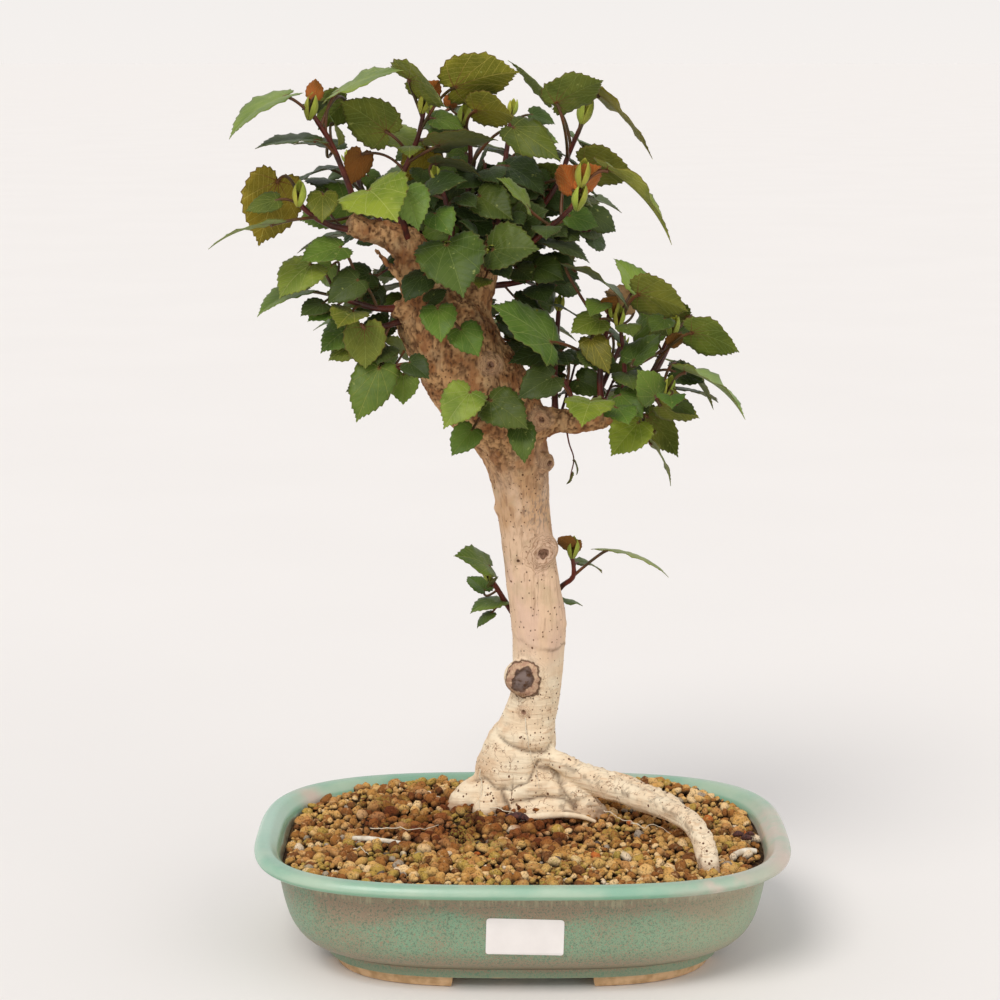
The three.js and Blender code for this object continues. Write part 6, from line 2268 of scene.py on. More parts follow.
@dataclass
class Growth:
    """Grows every leaf by the same rule as the solids, so that each sits where its solid is."""

    wood: Wood
    seed: int = 7
    clear_blade: float = 4.0
    clear_wood: float = 2.2
    far: float = 90.0
    far_small: float = 45.0
    grain: float = 3.0
    beyond_tip: float = 9.0
    least_in_tuft: float = 0.06
    least_on_shoot: float = 0.3
    leaves: list[Leaf] = field(default_factory=list)
    starts: np.ndarray = field(default_factory=lambda: np.zeros((0, 3)))
    ends: np.ndarray = field(default_factory=lambda: np.zeros((0, 3)))
    radii: np.ndarray = field(default_factory=lambda: np.zeros(0))
    owners: list[str] = field(default_factory=list)

    def spans(self) -> None:
        """Lists the wood as tapering spans, to keep leaves clear of it."""
        rows: list[tuple] = []

        def add(stations: Sequence, owner: str) -> None:
            for one, other in zip(stations[:-1], stations[1:]):
                rows.append((one[:3], other[:3], one[3] if len(one) > 3 else 2.0, owner))

        for stations in (self.wood.trunk, *self.wood.arms[:self.wood.limbs]):
            add(stations, "")
        for shoot, (stem, _) in {**SHOOTS, **RULED}.items():
            tip, before = np.array(stem[-1], float), np.array(stem[-2], float)
            way = (tip - before) / np.linalg.norm(tip - before)
            add([*stem, tuple(tip + way * self.beyond_tip)], shoot)
        self.starts = np.array([row[0] for row in rows], float)
        self.ends = np.array([row[1] for row in rows], float)
        self.radii = np.array([row[2] for row in rows], float)
        self.owners = [row[3] for row in rows]

    def sample(self, leaf: Leaf) -> None:
        """Spreads points over a blade and its stalk.

        Args:
            leaf: the leaf, which keeps the points.
        """
        rows = math.ceil(1.35 * leaf.length / self.grain)
        columns = math.ceil(0.47 * leaf.length / self.grain)
        edge = spline(OUTLINE, np.arange(rows + 1) / rows)
        spine = np.clip(edge[:, 0], 0.04, 0.96)
        parts = np.arange(columns + 1) / columns
        along = (spine[:, None] + (edge[:, :1] - spine[:, None]) * parts).ravel()
        across = (edge[:, 1:] * parts).ravel()
        leaf.samples = np.vstack([leaf.points(along, across), leaf.points(along, -across)])
        start, middle, end = leaf.stalk()
        steps = np.array([0.2, 0.4, 0.6, 0.8, 1])[:, None]
        leaf.stalk_samples = np.vstack([start + (middle - start) * steps, middle + (end - middle) * steps])
        leaf.centre = leaf.points(np.array([0.4]), np.array([0.0]))[0]

    @staticmethod
    def gap(points: np.ndarray, start: np.ndarray, end: np.ndarray) -> float:
        """Least distance from points to a span.

        Args:
            points: the points.
            start: where the span starts.
            end: where it ends.

        Returns:
            The distance.
        """
        span = end - start
        part = np.clip((points - start) @ span / max(span.dot(span), 1e-4), 0, 1)
        return float(np.min(np.linalg.norm(points - start - part[:, None] * span, axis=1)))

    def room_for(self, leaf: Leaf, far: float) -> float:
        """Room that a leaf has, less than 1 where it is too near to something.

        Args:
            leaf: the leaf.
            far: how far off other leaves are looked at, in millimetres.

        Returns:
            The room.
        """
        room = math.inf
        both = np.vstack([leaf.samples, leaf.stalk_samples])
        spans = np.linalg.norm(self.ends - self.starts, axis=1)
        near = np.linalg.norm(leaf.centre - self.starts, axis=1) - spans
        for index in np.nonzero(near - self.radii <= leaf.length)[0]:
            owner = self.owners[index]
            if owner == leaf.shoot:
                continue
            points = both if owner else leaf.samples
            gap = self.gap(points, self.starts[index], self.ends[index]) - self.radii[index]
            room = min(room, gap / self.clear_wood)
        for other in self.leaves:
            reach = math.dist(leaf.centre, other.centre)
            if reach > far:
                continue
            if reach < (leaf.length + other.length) * 0.75 + self.clear_blade:
                apart = np.linalg.norm(leaf.samples[:, None] - other.samples[None], axis=2).min()
                room = min(room, float(apart) / self.clear_blade)
            points = leaf.samples if other.shoot == leaf.shoot else both
            theirs, ours = other.stalk(), leaf.stalk()
            for i in range(2):
                room = min(room, self.gap(points, theirs[i], theirs[i + 1]) / self.clear_wood)
                room = min(room, self.gap(other.samples, ours[i], ours[i + 1]) / self.clear_wood)
        return room

    def settle(self, placings: Iterable[Leaf], far: float) -> Leaf:
        """The first of several placings that has room, or else the roomiest.

        Args:
            placings: the placings, best first.
            far: how far off other leaves are looked at, in millimetres.

        Returns:
            The placing.
        """
        best: Leaf | None = None
        for leaf in placings:
            self.sample(leaf)
            leaf.room = self.room_for(leaf, far)
            if best is None or leaf.room > best.room:
                best = leaf
            if leaf.room >= 1:
                break
        return best

    @staticmethod
    def along_stem(stem: Sequence[Point], part: float) -> tuple[np.ndarray, np.ndarray]:
        """Place along a stem, from 0 to 1, with the way that it heads.

        Args:
            stem: the stem's points.
            part: the part along it.

        Returns:
            The place and the way.
        """
        points = np.array(stem, float)
        scaled = part * (len(points) - 1)
        index = min(math.floor(scaled), len(points) - 2)
        span = points[index + 1] - points[index]
        return points[index] + span * (scaled - index), span / np.linalg.norm(span)

    def new_leaf(self, shoot: str, stem: Sequence[Point], part: float, draw: Draws, tone: Tone) -> Leaf:
        """Leaf with its bends drawn, before it is placed.

        Args:
            shoot: the shoot that it grows on.
            stem: the shoot's stem.
            part: its place along the stem, from 0 to 1.
            draw: the draws.
            tone: its shades.

        Returns:
            The leaf.
        """
        place, heading = self.along_stem(stem, part)
        bends = [low + spread * draw() for low, spread in BENDS]
        leaf = Leaf(shoot, place, heading, *bends, TURN * draw(), tone)
        leaf.girth = 0.8 + 0.17 * (leaf.phase * 3.7 % 1)
        return leaf

    def grow(self) -> list[Leaf]:
        """Grows the leaves, those given one by one first.

        Returns:
            Every leaf that the solids have.
        """
        self.spans()
        draw = Draws(self.seed)
        steps = [0] + [sign * step for step in range(3, 19, 3) for sign in (1, -1)]
        for shoot, (stem, leaves) in SHOOTS.items():
            for number, (part, base, tip, facing, tone) in enumerate(leaves):
                leaf = self.new_leaf(shoot, stem, part, draw, tone)
                leaf.girth = GIRTHS.get((shoot, number), leaf.girth)
                shifts = [np.array([0, step, 0]) for step in steps]
                placings = (leaf.framed(base + shift, tip + shift, facing.value) for shift in shifts)
                self.leaves.append(self.settle(placings, self.far))
        for shoot, (stem, count) in RULED.items():
            start = TURN * draw()
            for i in range(count):
                part = 0.38 + 0.62 * (i + 0.5) / count
                leaf = self.new_leaf(shoot, stem, part, draw, (T.DARK, T.DEEP, T.MID)[i % 3])
                stalk, length = 17 + 10 * draw(), 23 + 10 * draw()
                best = self.settle(self.swung(leaf, start + i * TWIST, stalk, length), self.far)
                if best.room >= 1:
                    self.leaves.append(best)
        return self.leaves

    @staticmethod
    def swung(
        leaf: Leaf, angle: float, stalk: float, length: float, up: Point = (0, 0, 1),
    ) -> Iterable[Leaf]:
        """Placings of a ruled leaf, turned about its stem by growing steps.

        Args:
            leaf: the leaf before it is placed.
            angle: how far round its stem it starts.
            stalk: length of its stalk.
            length: length of its blade.
            up: the way that its upper side looks.

        Yields:
            The leaf at each step.
        """
        across = np.cross((0, 0, 1), leaf.heading)
        across /= np.linalg.norm(across)
        above = np.cross(leaf.heading, across)
        for swing in SWINGS:
            outward = across * math.cos(angle + swing) + above * math.sin(angle + swing)
            reach = leaf.heading * 0.75 + outward
            reach /= np.linalg.norm(reach)
            base = leaf.start + reach * stalk
            flat = np.array([reach[0], reach[1], -0.35])
            flat /= np.linalg.norm(flat)
            yield leaf.framed(base, base + flat * length, np.array(up) + flat * 0.3)

    def fill(self) -> list[Leaf]:
        """Small leaves beside the others that thicken the crown, where there is room.

        Returns:
            The small leaves.
        """
        draw = Draws(self.seed + 90)
        small: list[Leaf] = []
        for base, tip, facing, tone, shoot in SMALL:
            stem = {**SHOOTS, **RULED, **TUFTS}[shoot][0]
            foot = self.nearest(stem, np.array(base, float))
            leaf = self.new_leaf(shoot, stem, foot, draw, tone)
            leaf.fold = 0.5 if tone is T.ORANGE else leaf.fold
            small.append(leaf.framed(base, tip, facing.value))
        tones = (T.DARK, T.DEEP, T.DARK, T.MID, T.DARK, T.OLIVE)
        for tuft, (stem, count, sizes) in TUFTS.items():
            for i in range(count):
                part = 0.2 + 0.8 * (i + draw()) / count
                leaf = self.new_leaf(tuft, stem, part, draw, tones[int(draw() * 5)])
                stalk, length = draw.between(5, 12), draw.between(*sizes)
                placings = self.swung(leaf, i * TWIST + draw(), stalk, length, F.FRONT.value)
                self.keep(placings, self.least_in_tuft, small)
        for shoot, (stem, _) in {**SHOOTS, **RULED}.items():
            if shoot.startswith("sprig"):
                continue
            tries = 3 if shoot.startswith(("bough", "stub", "top")) else 5
            for i in range(tries):
                part = 0.12 + 0.84 * (i + draw()) / tries
                leaf = self.new_leaf(shoot, stem, part, draw, tones[int(draw() * len(tones))])
                stalk, length = draw.between(7, 15), draw.between(11, 21)
                placings = self.swung(leaf, TURN * draw(), stalk, length, (0, -0.6, 0.75))
                self.keep(placings, self.least_on_shoot, small)
        return small

    def keep(self, placings: Iterable[Leaf], least: float, small: list[Leaf]) -> None:
        """Keeps a small leaf that has the least room and hides no bare wood.

        Args:
            placings: the leaf's placings.
            least: the least room.
            small: the list that it joins.
        """
        found = self.settle(placings, self.far_small)
        if found.room >= least and self.unseen(found):
            self.leaves.append(found)
            small.append(found)

    @staticmethod
    def unseen(leaf: Leaf) -> bool:
        """Whether a small leaf leaves the bare limb and bark at the front in sight.

        Args:
            leaf: the leaf.

        Returns:
            True where it hides none of it.
        """
        for x_low, x_high, z_low, z_high, behind in CLEARINGS:
            x, y, z = leaf.samples.T
            inside = (x > x_low) & (x < x_high) & (z > z_low) & (z < z_high) & (y < behind)
            if inside.any():
                return False
        return True

    @staticmethod
    def nearest(stem: Sequence[Point], place: np.ndarray) -> float:
        """Part along a stem that lies nearest to a place.

        Args:
            stem: the stem's points.
            place: the place.

        Returns:
            The part, from 0 to 1.
        """
        parts = np.linspace(0, 1, 40)
        gaps = [np.linalg.norm(Growth.along_stem(stem, part)[0] - place) for part in parts]
        return float(parts[int(np.argmin(gaps))])


class Cut(Enum):
    """Patterns that blades are cut from: teeth on a side, steps for a tooth and columns."""

    LARGE = (15, 3, 5)
    MEDIUM = (11, 2, 4)
    SMALL = (9, 2, 3)
    BRACT = (0, 12, 3)


@dataclass
class Foliage:
    """Leafy shoots: blades cut from a few patterns and bent by nodes, on stalks that nodes sweep."""

    growth: Growth
    thickness: float = 0.36
    stem_root: float = 2.0
    stem_tip: float = 1.15
    stalk_radius: float = 0.85
    bud_reach: float = 3.0
    tube_sides: int = 8
    ruffle: float = 0.012
    large_from: float = 24.0
    medium_from: float = 15.0
    tuft_share: float = 0.45
    stalk_steps: int = 12
    young: float = 0.7
    old: float = 0.12

    @staticmethod
    def half_edge(cut: Cut) -> np.ndarray:
        """One side's edge of a pattern from notch to tip, with its saw teeth.

        Args:
            cut: the pattern.

        Returns:
            The edge's points, along and across.
        """
        teeth, steps, _ = cut.value
        if cut is Cut.BRACT:
            parts = np.linspace(0, 1, steps)
            return np.stack([parts, 0.24 * np.sin(math.pi * parts) ** 0.75 * (1.25 - 0.5 * parts)], axis=1)
        count = teeth * steps + 1
        parts = np.linspace(0, 1, count + 1)
        edge = spline(ROUNDED, parts)
        ahead = np.gradient(edge, axis=0)
        ahead /= np.linalg.norm(ahead, axis=1)[:, None]
        out = np.stack([-ahead[:, 1], ahead[:, 0]], axis=1)
        push = {3: (-0.012, 0.001, 0.023), 2: (-0.013, 0.024)}[steps]
        size = np.array([push[i % steps] for i in range(count + 1)])
        size *= np.sin(math.pi * np.clip(parts * 1.02, 0, 1)) ** 0.4
        size[0] = size[-1] = 0
        large = 1 + 0.35 * (np.arange(count + 1) // steps % 2)
        return edge + out * (size * large)[:, None] + ahead * (np.abs(size) * 0.5)[:, None]

    def pattern(self, cut: Cut) -> Object:
        """Flat pattern of a blade with two faces and a rim, in parts of the blade's length.

        Args:
            cut: which pattern.

        Returns:
            The pattern.
        """
        edge = self.half_edge(cut)
        columns = cut.value[2]
        rows = len(edge)
        spine = (np.arange(rows) / (rows - 1)) ** 1.5
        vertices, under, rim_share, faces = [], [], [], []
        half = self.thickness / 2 * MM
        index: dict[tuple, int] = {}

        def vertex(row: int, column: int, low: int) -> int:
            """Number of a vertex, made when it is first asked for; columns run from -n to n.

            Args:
                row: its row.
                column: its column.
                low: 1 on the underside and 0 on the upper side.

            Returns:
                The number.
            """
            if row in (0, rows - 1):
                column = 0
            key = (row, column, low)
            if key not in index:
                part = abs(column) / columns
                along = spine[row] + (edge[row, 0] - spine[row]) * part
                across = math.copysign(edge[row, 1] * part, column)
                if row == 0:
                    along = across = 0.0
                puff = 0.0 if cut is Cut.BRACT else self.relief(along, abs(across))
                thin = 1 - 0.55 * part**3
                lift = puff * MM + (-half if low else half) * thin
                index[key] = len(vertices)
                vertices.append((along, across, lift))
                under.append(float(low))
                rim_share.append(part)
            return index[key]

        for low in (0, 1):
            for row in range(rows - 1):
                for column in range(-columns, columns):
                    a, b = vertex(row, column, low), vertex(row, column + 1, low)
                    c, d = vertex(row + 1, column + 1, low), vertex(row + 1, column, low)
                    corners = list(dict.fromkeys((a, b, c, d)))
                    if len(corners) > 2:
                        faces.append(corners if low else corners[::-1])
        for side in (-columns, columns):
            for row in range(rows - 1):
                top = [vertex(row, side, 0), vertex(row + 1, side, 0)]
                bottom = [vertex(row + 1, side, 1), vertex(row, side, 1)]
                corners = list(dict.fromkeys(top + bottom))
                if len(corners) > 2:
                    faces.append(corners if side > 0 else corners[::-1])
        for end in (0, rows - 1):
            vertex(end, 0, 0)
            vertex(end, 0, 1)
        mesh = bpy.data.meshes.new(f"pattern_{cut.name.lower()}")
        mesh.from_pydata(vertices, [], faces)
        mesh.shade_smooth()
        store(mesh, "flat", np.array(vertices), "FLOAT_VECTOR")
        store(mesh, "under", np.array(under))
        store(mesh, "edge", np.array(rim_share))
        return linked(mesh.name, mesh)

    @staticmethod
    def relief(along: float, across: float) -> float:
        """Quilting of a blade between its veins, in millimetres.

        Args:
            along: the part along the blade.
            across: the part across it.

        Returns:
            The height.
        """
        off_rib = 1 - math.exp(-((across / 0.05) ** 2))
        rows = abs(math.sin((along - 0.95 * across) * math.pi / 0.14))
        return 0.42 * off_rib * rows * (1 - min(across / 0.5, 1) ** 2)

    def bend_tree(self, patterns: dict[Cut, Object], blade: Material, stalk: Material) -> Tree:
        """Node tree that dresses a shoot's skeleton: tubes along its edges, blades on its points.

        Args:
            patterns: the flat patterns.
            blade: the blades' material.
            stalk: the stalks' material.

        Returns:
            The tree, with the tubes' sides and the ruffle of the edges as inputs.
        """
        g = Recipe("dress_shoot", {"Sides": "Int", "Ruffle": "Float"})
        tree, named, skeleton = g.tree, g.named, g.given["Geometry"]
        joined = tree.nodes.new("GeometryNodeJoinGeometry")
        curve = g.add("GeometryNodeMeshToCurve", [skeleton])
        curve = g.add("GeometryNodeSetCurveRadius", {"Curve": curve, "Radius": named("thick")})
        ring = g.add("GeometryNodeCurvePrimitiveCircle", {"Resolution": g.given["Sides"], "Radius": 1.0})
        sweep = tree.nodes.new("GeometryNodeCurveToMesh")
        g.feed(sweep.inputs["Curve"], curve)
        g.feed(sweep.inputs["Profile Curve"], ring)
        sweep.inputs["Fill Caps"].default_value = True
        if "Scale" in sweep.inputs:
            g.feed(sweep.inputs["Scale"], named("thick"))
        tubes = g.add("GeometryNodeSetShadeSmooth", {"Geometry": sweep.outputs[0]})
        tubes = g.add("GeometryNodeSetMaterial", {"Geometry": tubes, "Material": stalk})
        tree.links.new(tubes, joined.inputs[0])
        blades = tree.nodes.new("GeometryNodeJoinGeometry")
        for number, cut in enumerate(Cut, 1):
            pair = {0: named("cut"), 1: float(number)}
            chosen = g.add("FunctionNodeCompare", pair, data_type="FLOAT", operation="EQUAL")
            points = g.add("GeometryNodeMeshToPoints", {"Mesh": skeleton, "Selection": chosen})
            shape = g.add("GeometryNodeObjectInfo", {"Object": patterns[cut]}, "Geometry")
            placed = g.add("GeometryNodeInstanceOnPoints", {"Points": points, "Instance": shape})
            tree.links.new(g.add("GeometryNodeRealizeInstances", [placed]), blades.inputs[0])
        flat = tree.nodes.new("ShaderNodeSeparateXYZ")
        g.feed(flat.inputs[0], named("flat", "FLOAT_VECTOR"))
        along, across, lift = flat.outputs
        bend = g.times(named("arch"), 4.0, g.times(along, g.minus(1.0, along)))
        fold = g.times(named("fold"), g.math("ABSOLUTE", across))
        squared = g.times(across, across, 4.0)
        turned = g.times(g.math("LESS_THAN", across, 0.0), 2.0)
        angle = g.plus(g.times(along, 9.0), g.plus(named("phase"), turned))
        wave = g.times(named("wave"), squared, g.math("SINE", angle))
        fine = g.math("SINE", g.plus(g.times(along, 26.0), g.times(named("phase"), 3.0)))
        ruffle = g.times(squared, g.given["Ruffle"], fine)
        rise = g.plus(bend, fold, g.plus(wave, ruffle))
        length = named("length")
        rise = g.plus(g.times(rise, length), lift)
        place = named("base", "FLOAT_VECTOR")
        sideways = g.times(across, length, named("girth"))
        for name, reach in (("axis", g.times(along, length)), ("side", sideways), ("normal", rise)):
            place = g.vector("ADD", place, g.scale(named(name, "FLOAT_VECTOR"), reach))
        bent = g.add("GeometryNodeSetPosition", {"Geometry": blades.outputs[0], "Position": place})
        bent = g.add("GeometryNodeSetMaterial", {"Geometry": bent, "Material": blade})
        tree.links.new(bent, joined.inputs[0])
        return g.end(joined.outputs[0])

    def build(self) -> list[Object]:
        """Makes every shoot.

        Returns:
            One piece for each shoot.
        """
        leaves = [*self.growth.grow()]
        leaves += self.growth.fill()
        patterns = {cut: self.pattern(cut) for cut in Cut}
        tree = self.bend_tree(patterns, Blade().material(), Stalk().material())
        pieces = []
        for shoot, (stem, *_) in {**SHOOTS, **RULED, **TUFTS}.items():
            own = [leaf for leaf in leaves if leaf.shoot == shoot]
            if own:
                pieces.append(self.shoot(shoot, stem, own, tree))
            else:
                log.info("no leaf has room on %s", shoot)
        for pattern in patterns.values():
            bpy.data.objects.remove(pattern)
        return pieces

    def shoot(self, name: str, stem: Sequence[Point], leaves: Sequence[Leaf], tree: Tree) -> Object:
        """One shoot as a finished piece.

        Args:
            name: the shoot.
            stem: its stem's points.
            leaves: its leaves.
            tree: the tree that dresses it.

        Returns:
            The piece.
        """
        points: list[np.ndarray] = []
        edges: list[tuple[int, int]] = []
        thick: list[float] = []
        fresh: list[float] = []

        def path(stations: np.ndarray, radii: np.ndarray, youth: np.ndarray) -> None:
            """Adds a chain of points to sweep a tube along.

            Args:
                stations: its points.
                radii: the tube's radius at each.
                youth: how young the wood is at each, from 0 to 1.
            """
            first = len(points)
            points.extend(stations)
            thick.extend(radii)
            fresh.extend(youth)
            edges.extend((first + i, first + i + 1) for i in range(len(stations) - 1))

        line = np.array(stem, float)
        way = (line[-1] - line[-2]) / np.linalg.norm(line[-1] - line[-2])
        line = np.vstack([line, line[-1] + way * self.bud_reach])
        parts = np.linspace(0, 1, 8 * (len(line) - 1))
        flare = 1 + 0.5 * np.exp(-parts * 14)
        knots = 1 + 0.1 * np.exp(-((((parts * 7) % 1 - 0.5) / 0.12) ** 2))
        radii = (self.stem_root + (self.stem_tip - self.stem_root) * parts) * flare * knots * 0.9
        radii *= SLIM.get(name, self.tuft_share if name in TUFTS else 1.0)
        path(spline(line, parts), radii, smoothstep(0.75, 1.0, parts) * 0.6)
        for leaf in leaves:
            parts = np.linspace(0, 1, self.stalk_steps)
            start, middle, end = leaf.stalk()
            end = end + leaf.axis * 0.02 * leaf.length - leaf.normal * 0.3
            curve = arc(start, 2 * middle - (start + end) / 2, end, self.stalk_steps)
            slim = self.stalk_radius * min(1.0, 0.5 + leaf.length / 50)
            swell = 1 + 0.3 * np.exp(-parts * 12) + 0.22 * np.exp(-(1 - parts) * 10)
            youth = self.young if leaf.tone is T.BRIGHT else self.old
            path(curve, slim * swell, np.full(self.stalk_steps, youth))
        skeleton = len(points)
        blades = list(leaves)
        for foot, tip, shoot in BUDS:
            if shoot == name:
                blades += self.bracts(np.array(foot, float), np.array(tip, float))
        if name in RULED or name in BUDDED:
            tip = line[-1]
            blades += self.bracts(tip - way * 2, tip + way * 7)
        points.extend(leaf.base for leaf in blades)
        mesh = bpy.data.meshes.new(f"shoot_{name}")
        mesh.from_pydata(metres(np.array(points)).tolist(), edges, [])
        total, count = len(points), len(blades)
        pad = np.zeros(skeleton)
        store(mesh, "thick", np.concatenate([np.array(thick), np.zeros(count)]) * MM)
        store(mesh, "fresh", np.concatenate([np.array(fresh), np.zeros(count)]))
        cuts = [self.cut_for(leaf) for leaf in blades]
        store(mesh, "cut", np.concatenate([pad, cuts]))
        for key in ("arch", "fold", "wave", "phase"):
            store(mesh, key, np.concatenate([pad, [getattr(leaf, key) for leaf in blades]]))
        store(mesh, "length", np.concatenate([pad, [leaf.length * MM for leaf in blades]]))
        store(mesh, "girth", np.concatenate([pad, [leaf.girth for leaf in blades]]))
        for key in ("axis", "side", "normal"):
            values = np.zeros((total, 3))
            values[skeleton:] = [getattr(leaf, key) for leaf in blades]
            store(mesh, key, values, "FLOAT_VECTOR")
        store(mesh, "base", metres(np.array(points)), "FLOAT_VECTOR")
        for key, side in (("top_shade", 0), ("under_shade", 1), ("vein_shade", 2)):
            shades = np.ones((total, 4))
            shades[skeleton:, :3] = [leaf.tone.value[side] for leaf in blades]
            shades[skeleton:, :3] *= self.variation(count)
            store(mesh, key, shades, "FLOAT_COLOR")
        obj = linked(f"leafy_{name}", mesh)
        dress(obj, tree, {"Sides": self.tube_sides, "Ruffle": self.ruffle})
        return settle_piece(obj, "leaf", *([] if name in TUFTS else [f"shoot_{name}"]))

    @staticmethod
    def variation(count: int) -> np.ndarray:
        """Small differences of shade between leaves.

        Args:
            count: how many leaves.

        Returns:
            Factors on the red, green and blue of each leaf.
        """
        draw = Draws(count + 17)
        pairs = [(draw.between(0.82, 1.18), draw.between(0.9, 1.14)) for _ in range(count)]
        return np.array([(level * warm, level, level) for level, warm in pairs]).reshape(count, 3)

    def cut_for(self, leaf: Leaf) -> float:
        """Number of the pattern that a blade is cut from.

        Args:
            leaf: the leaf.

        Returns:
            The number, from 1.
        """
        if leaf.tone is T.BRACT:
            return 4.0
        if leaf.length >= self.large_from:
            return 1.0
        return 2.0 if leaf.length >= self.medium_from else 3.0

    @staticmethod
    def bracts(foot: np.ndarray, tip: np.ndarray) -> list[Leaf]:
        """Bud of three bracts that clasp each other.

        Args:
            foot: where the bud starts.
            tip: where it ends.

        Returns:
            The bracts, as small leaves.
        """
        way = (tip - foot) / np.linalg.norm(tip - foot)
        across = np.cross(way, (0, 1, 0.2))
        across /= np.linalg.norm(across)
        above = np.cross(way, across)
        made = []
        for i in range(3):
            angle = 0.5 + i * 2 * math.pi / 3
            out = across * math.cos(angle) + above * math.sin(angle)
            base = foot + out * 0.7
            end = foot + (tip - foot) * (0.95 + 0.1 * i) + out * (2.1 if i < 2 else 0.6)
            leaf = Leaf("", foot, way, -0.16, 0.34, 0.0, 0.0, T.BRACT)
            made.append(leaf.framed(base, end, -out))
        return made


# Small things


@dataclass
class Litter:
    """Drain screens, dead bits of root, rootlets, a thin root and dark crumbs on the soil."""

    tray: Tray
    soil: Soil
    screen: tuple[float, float, float] = (34.0, 26.0, 1.0)
    bars: tuple[int, int] = (12, 15)
    screen_rim: float = 0.6
    bits: dict[str, tuple[tuple[float, ...], ...]] = field(default_factory=lambda: {
        "root_piece_left": (
            (-92, -8, 60.2, 1.3), (-83, -13, 61.6, 1.5), (-74, -16, 61.4, 1.3), (-66, -17, 60.8, 0.9),
        ),
        "root_piece_right": ((113, -36, 60.4, 1.6), (119, -33, 61.4, 1.8), (125, -32, 61, 1.3)),
    })
    thin_root: tuple[tuple[float, ...], ...] = (
        (-5, 19, 61, 1.4), (2, 18, 63.4, 1.8), (11, 17.5, 64.6, 1.9), (22, 17, 65.6, 1.8),
        (33, 16.5, 64.6, 1.4), (41, 15.5, 62, 0.8),
    )
    scraps: tuple[tuple[tuple[float, ...], ...], ...] = (
        ((-6, 17, 63.4, 1.2), (-3, 16, 65.2, 2.0), (1, 16, 64.6, 1.6), (4, 15, 63, 0.9)),
        ((-9, 18, 64.6, 0.7), (-4, 15.5, 66.4, 0.8), (1, 15, 65.8, 0.7), (3, 14, 63, 0.5)),
        ((115, -9, 62.4, 1.0), (117, -11, 63.8, 1.5), (120, -11, 63.2, 1.0)),
        ((119, -15, 62.6, 0.9), (121, -17, 63.8, 1.5), (124, -16, 62.8, 0.9)),
        ((122, -8, 62.6, 0.8), (124, -10, 63.6, 1.2), (126, -9, 62.8, 0.7)),
    )
    clinging: tuple[int, ...] = (0, 3)
    rootlet_steps: int = 22
    rootlet_radius: float = 0.34
    rootlet_waver: float = 2.6
    rootlets: tuple[tuple[Point, ...], ...] = (
        ((1.9, 36, 115), (3.6, 31, 103), (6.5, 27, 91), (9.4, 20, 77)),
        ((-1, 27, 63), (4, 21, 65), (14, 18, 64), (24, 17, 66), (34, 18, 63)),
        ((-20, 30, 67), (-14, 23, 67), (-6, 20, 66), (0, 18, 64)),
        ((-24, 33, 84), (-22, 29, 76), (-24, 25, 68), (-28, 22, 63)),
        ((-83, 4, 62), (-70, -2, 64), (-58, -1, 63), (-46, 4, 63)),
        ((-90, -30, 61), (-87, -33, 63), (-82, -37, 61)),
        ((-54, 58, 66), (-50, 50, 67), (-44, 44, 65)),
        ((60, 2, 66), (66, -3, 65), (72, -2, 66), (80, -9, 63)),
        ((46, 24, 66), (52, 16, 65), (56, 8, 66), (64, 4, 64)),
        ((104, -50, 62), (100, -60, 63), (96, -70, 62)),
    )

    def build(self) -> list[Object]:
        """Makes the small pieces.

        Returns:
            The pieces.
        """
        pieces = self.screens() + self.dead_roots()
        fine = Plain("rootlet", (0.62, 0.52, 0.38), (0.78, 0.7, 0.55), 0.75, 700).material()
        skins = []
        surface = ray_target(bpy.data.objects["trunk_and_roots"])
        for number, path in enumerate(self.rootlets):
            line = spline(np.array(path, float), np.linspace(0, 1, self.rootlet_steps))
            if number in self.clinging:
                line = np.array([Wood.on_front(surface, point) for point in line]) - np.array([0, 0.9, 0])
            radius = self.rootlet_radius * (1 - 0.55 * np.linspace(0, 1, self.rootlet_steps))
            wobble = np.stack([fractal(line + 50 * axis, (0.3,) * 3, 2) - 0.5 for axis in range(3)], axis=1)
            line = line + self.rootlet_waver * wobble
            skins.append(tube(np.column_stack([line, radius]), 6))
        pieces.append(skin_piece("rootlets", merged(skins), fine, "dead_root"))
        barky = Plain("thin_root_bark", (0.74, 0.57, 0.38), (0.87, 0.73, 0.53), 0.8, 260).material()
        crumb = Plain("dark_crumb", (0.022, 0.012, 0.012), (0.13, 0.042, 0.032), 0.85, 900).material()
        for name, paths, finish, slot in (
            ("thin_root", (self.thin_root,), barky, "bark"), ("crumbs", self.scraps, crumb, "dead_root"),
        ):
            parts = [self.rough_tube(np.array(path, float)) for path in paths]
            pieces.append(skin_piece(name, merged(parts), finish, slot))
        return pieces

    @staticmethod
    def rough_tube(path: np.ndarray) -> Skin:
        """Closed tube with knobs and wrinkles along a path of points and radii.

        Args:
            path: rows of x, y, z and radius.

        Returns:
            The tube's skin.
        """
        stations = spline(path, np.linspace(0, 1, 30))
        stations[:, 3] *= 0.75 + 0.55 * fractal(stations[:, :3], (0.45,) * 3, 2)
        return tube(stations, 10)

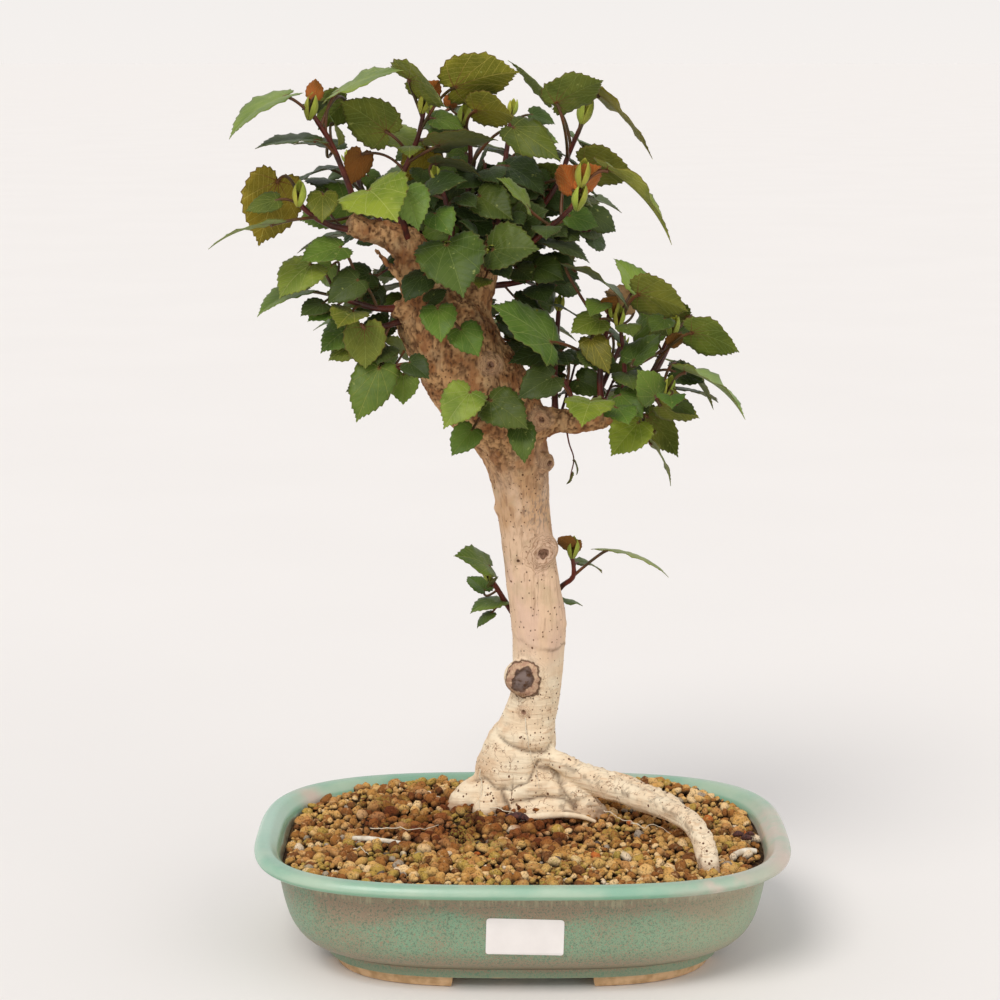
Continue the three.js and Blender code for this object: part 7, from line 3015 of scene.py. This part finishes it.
    def screens(self) -> list[Object]:
        """Plastic mesh over each drain hole, with fine square holes.

        Returns:
            The two screens.
        """
        finish = Plain("black_plastic", (0.012, 0.012, 0.012), (0.03, 0.03, 0.03), 0.5, 500, 0.05).material()
        pieces = []
        length, depth, thick = self.screen
        level, rim = self.tray.floor + self.soil.seat + thick / 2, self.screen_rim
        for side, x in (("left", -self.tray.drain_x), ("right", self.tray.drain_x)):
            skins = []
            for i in range(self.bars[0]):
                y = -depth / 2 + rim + i * (depth - 2 * rim) / (self.bars[0] - 1)
                skins.append(self.bar((x - length / 2, y, level), (x + length / 2, y, level), thick / 2))
            for i in range(self.bars[1]):
                across = x - length / 2 + rim + i * (length - 2 * rim) / (self.bars[1] - 1)
                skins.append(self.bar((across, -depth / 2, level), (across, depth / 2, level), thick / 2))
            node = f"drain_screen_{side}"
            pieces.append(skin_piece(f"mesh_{node}", merged(skins), finish, "screen_plastic", node))
        return pieces

    @staticmethod
    def bar(start: Point, end: Point, radius: float) -> Skin:
        """Thin round bar of a screen."""
        return tube(np.array([(*start, radius * 0.9), (*end, radius * 0.9)], float), 6)

    def dead_roots(self) -> list[Object]:
        """Loose bits of bleached root on the soil.

        Returns:
            The bits.
        """
        finish = Plain("bleached_root", (0.55, 0.46, 0.34), (0.8, 0.74, 0.62), 0.85, 260, 0.3).material()
        pieces = []
        for node, stations in self.bits.items():
            rows = spline(np.array(stations, float), np.linspace(0, 1, 26))
            rows[:, 3] *= 0.85 + 0.35 * fractal(rows[:, :3], (0.3,) * 3, 2)
            pieces.append(skin_piece(f"dead_{node}", tube(rows, 14), finish, "dead_root", node))
        return pieces


# Studio


@dataclass
class Studio:
    """Plain pale floor, soft lights and the camera."""

    target: Point = (-12.1, 0.0, 246.1)
    distance: float = 1300.0
    pitch: float = 10.47
    lens: float = 87.65
    floor_reach: float = 90000.0
    floor_drop: float = 0.05
    floor_shades: tuple[Colour, Colour] = ((0.86, 0.835, 0.81), (0.87, 0.845, 0.82))
    sky: tuple[tuple[float, Colour], ...] = (
        (0.0, (0.91, 0.875, 0.85)), (0.08, (0.87, 0.85, 0.84)), (0.4, (0.62, 0.62, 0.64)),
        (1.0, (0.52, 0.52, 0.53)),
    )
    suns: tuple[tuple[str, Point, float, float, Colour], ...] = (
        ("key", (-0.5, -0.8, 1.1), 1.62, 30, (1.0, 0.965, 0.93)),
        ("fill", (0.9, -0.7, 0.6), 0.52, 50, (1.0, 0.96, 0.92)),
    )

    def build(self) -> None:
        """Sets the floor, the lights and the camera."""
        scene = bpy.context.scene
        scene.view_settings.view_transform = "Standard"
        scene.view_settings.look = "None"
        signs = np.array([(-1, -1, 0), (1, -1, 0), (1, 1, 0), (-1, 1, 0)])
        corners = signs * self.floor_reach - np.array([0, 0, self.floor_drop])
        floor = mesh_object("floor", corners, [(0, 1, 2, 3)])
        s = Surface("pale_floor", 0.8)
        tone = s.mix(s.spots(3, 2, 0.3, 0.7), *self.floor_shades)
        floor.data.materials.append(s.finish(Base_Color=tone, Specular_IOR_Level=0.0))
        world = bpy.data.worlds.new("studio")
        scene.world = world
        world.use_nodes = True
        w = Nodes(world.node_tree)
        back = world.node_tree.nodes["Background"]
        sky = w.add("ShaderNodeSeparateXYZ", [w.add("ShaderNodeTexCoord", out="Generated")], "Z")
        w.feed(back.inputs["Color"], w.steps(sky, self.sky))
        for sun in self.suns:
            self.sun(*sun)
        self.camera()

    @staticmethod
    def sun(name: str, way: Point, power: float, spread: float, colour: Colour) -> None:
        """Soft distant light that shines from a way.

        Args:
            name: its name.
            way: the way that it stands in.
            power: its strength.
            spread: its width in degrees.
            colour: its colour.
        """
        data = bpy.data.lights.new(name, "SUN")
        data.energy, data.angle, data.color = power, math.radians(spread), colour
        linked(name, data).rotation_euler = Vector(way).to_track_quat("Z", "Y").to_euler()

    def camera(self) -> None:
        """Camera at the photograph's place, a little above the tray and in front of it."""
        data = bpy.data.cameras.new("camera")
        data.lens, data.sensor_width = self.lens, 36.0
        data.clip_start, data.clip_end = 0.05, 300.0
        camera = linked("camera", data)
        angle = math.radians(self.pitch)
        away = np.array([0, -math.cos(angle), math.sin(angle)]) * self.distance
        start, end = Vector(metres(np.array(self.target) + away)), Vector(metres(self.target))
        camera.location = start
        camera.rotation_euler = (end - start).to_track_quat("-Z", "Y").to_euler()
        bpy.context.scene.camera = camera


def main() -> None:
    """Builds the tree, its tray and the studio."""
    logging.basicConfig(level=logging.INFO, format="%(name)s %(message)s")
    tray, wood = Tray(), Wood()
    soil = Soil(tray)
    makers = (tray, Label(tray), soil, wood, Foliage(Growth(wood)), Litter(tray, soil))
    for maker in makers:
        pieces = maker.build()
        log.info("%s made %d pieces", type(maker).__name__, len(pieces))
    Studio().build()
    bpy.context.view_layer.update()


if __name__ == "__main__":
    main()
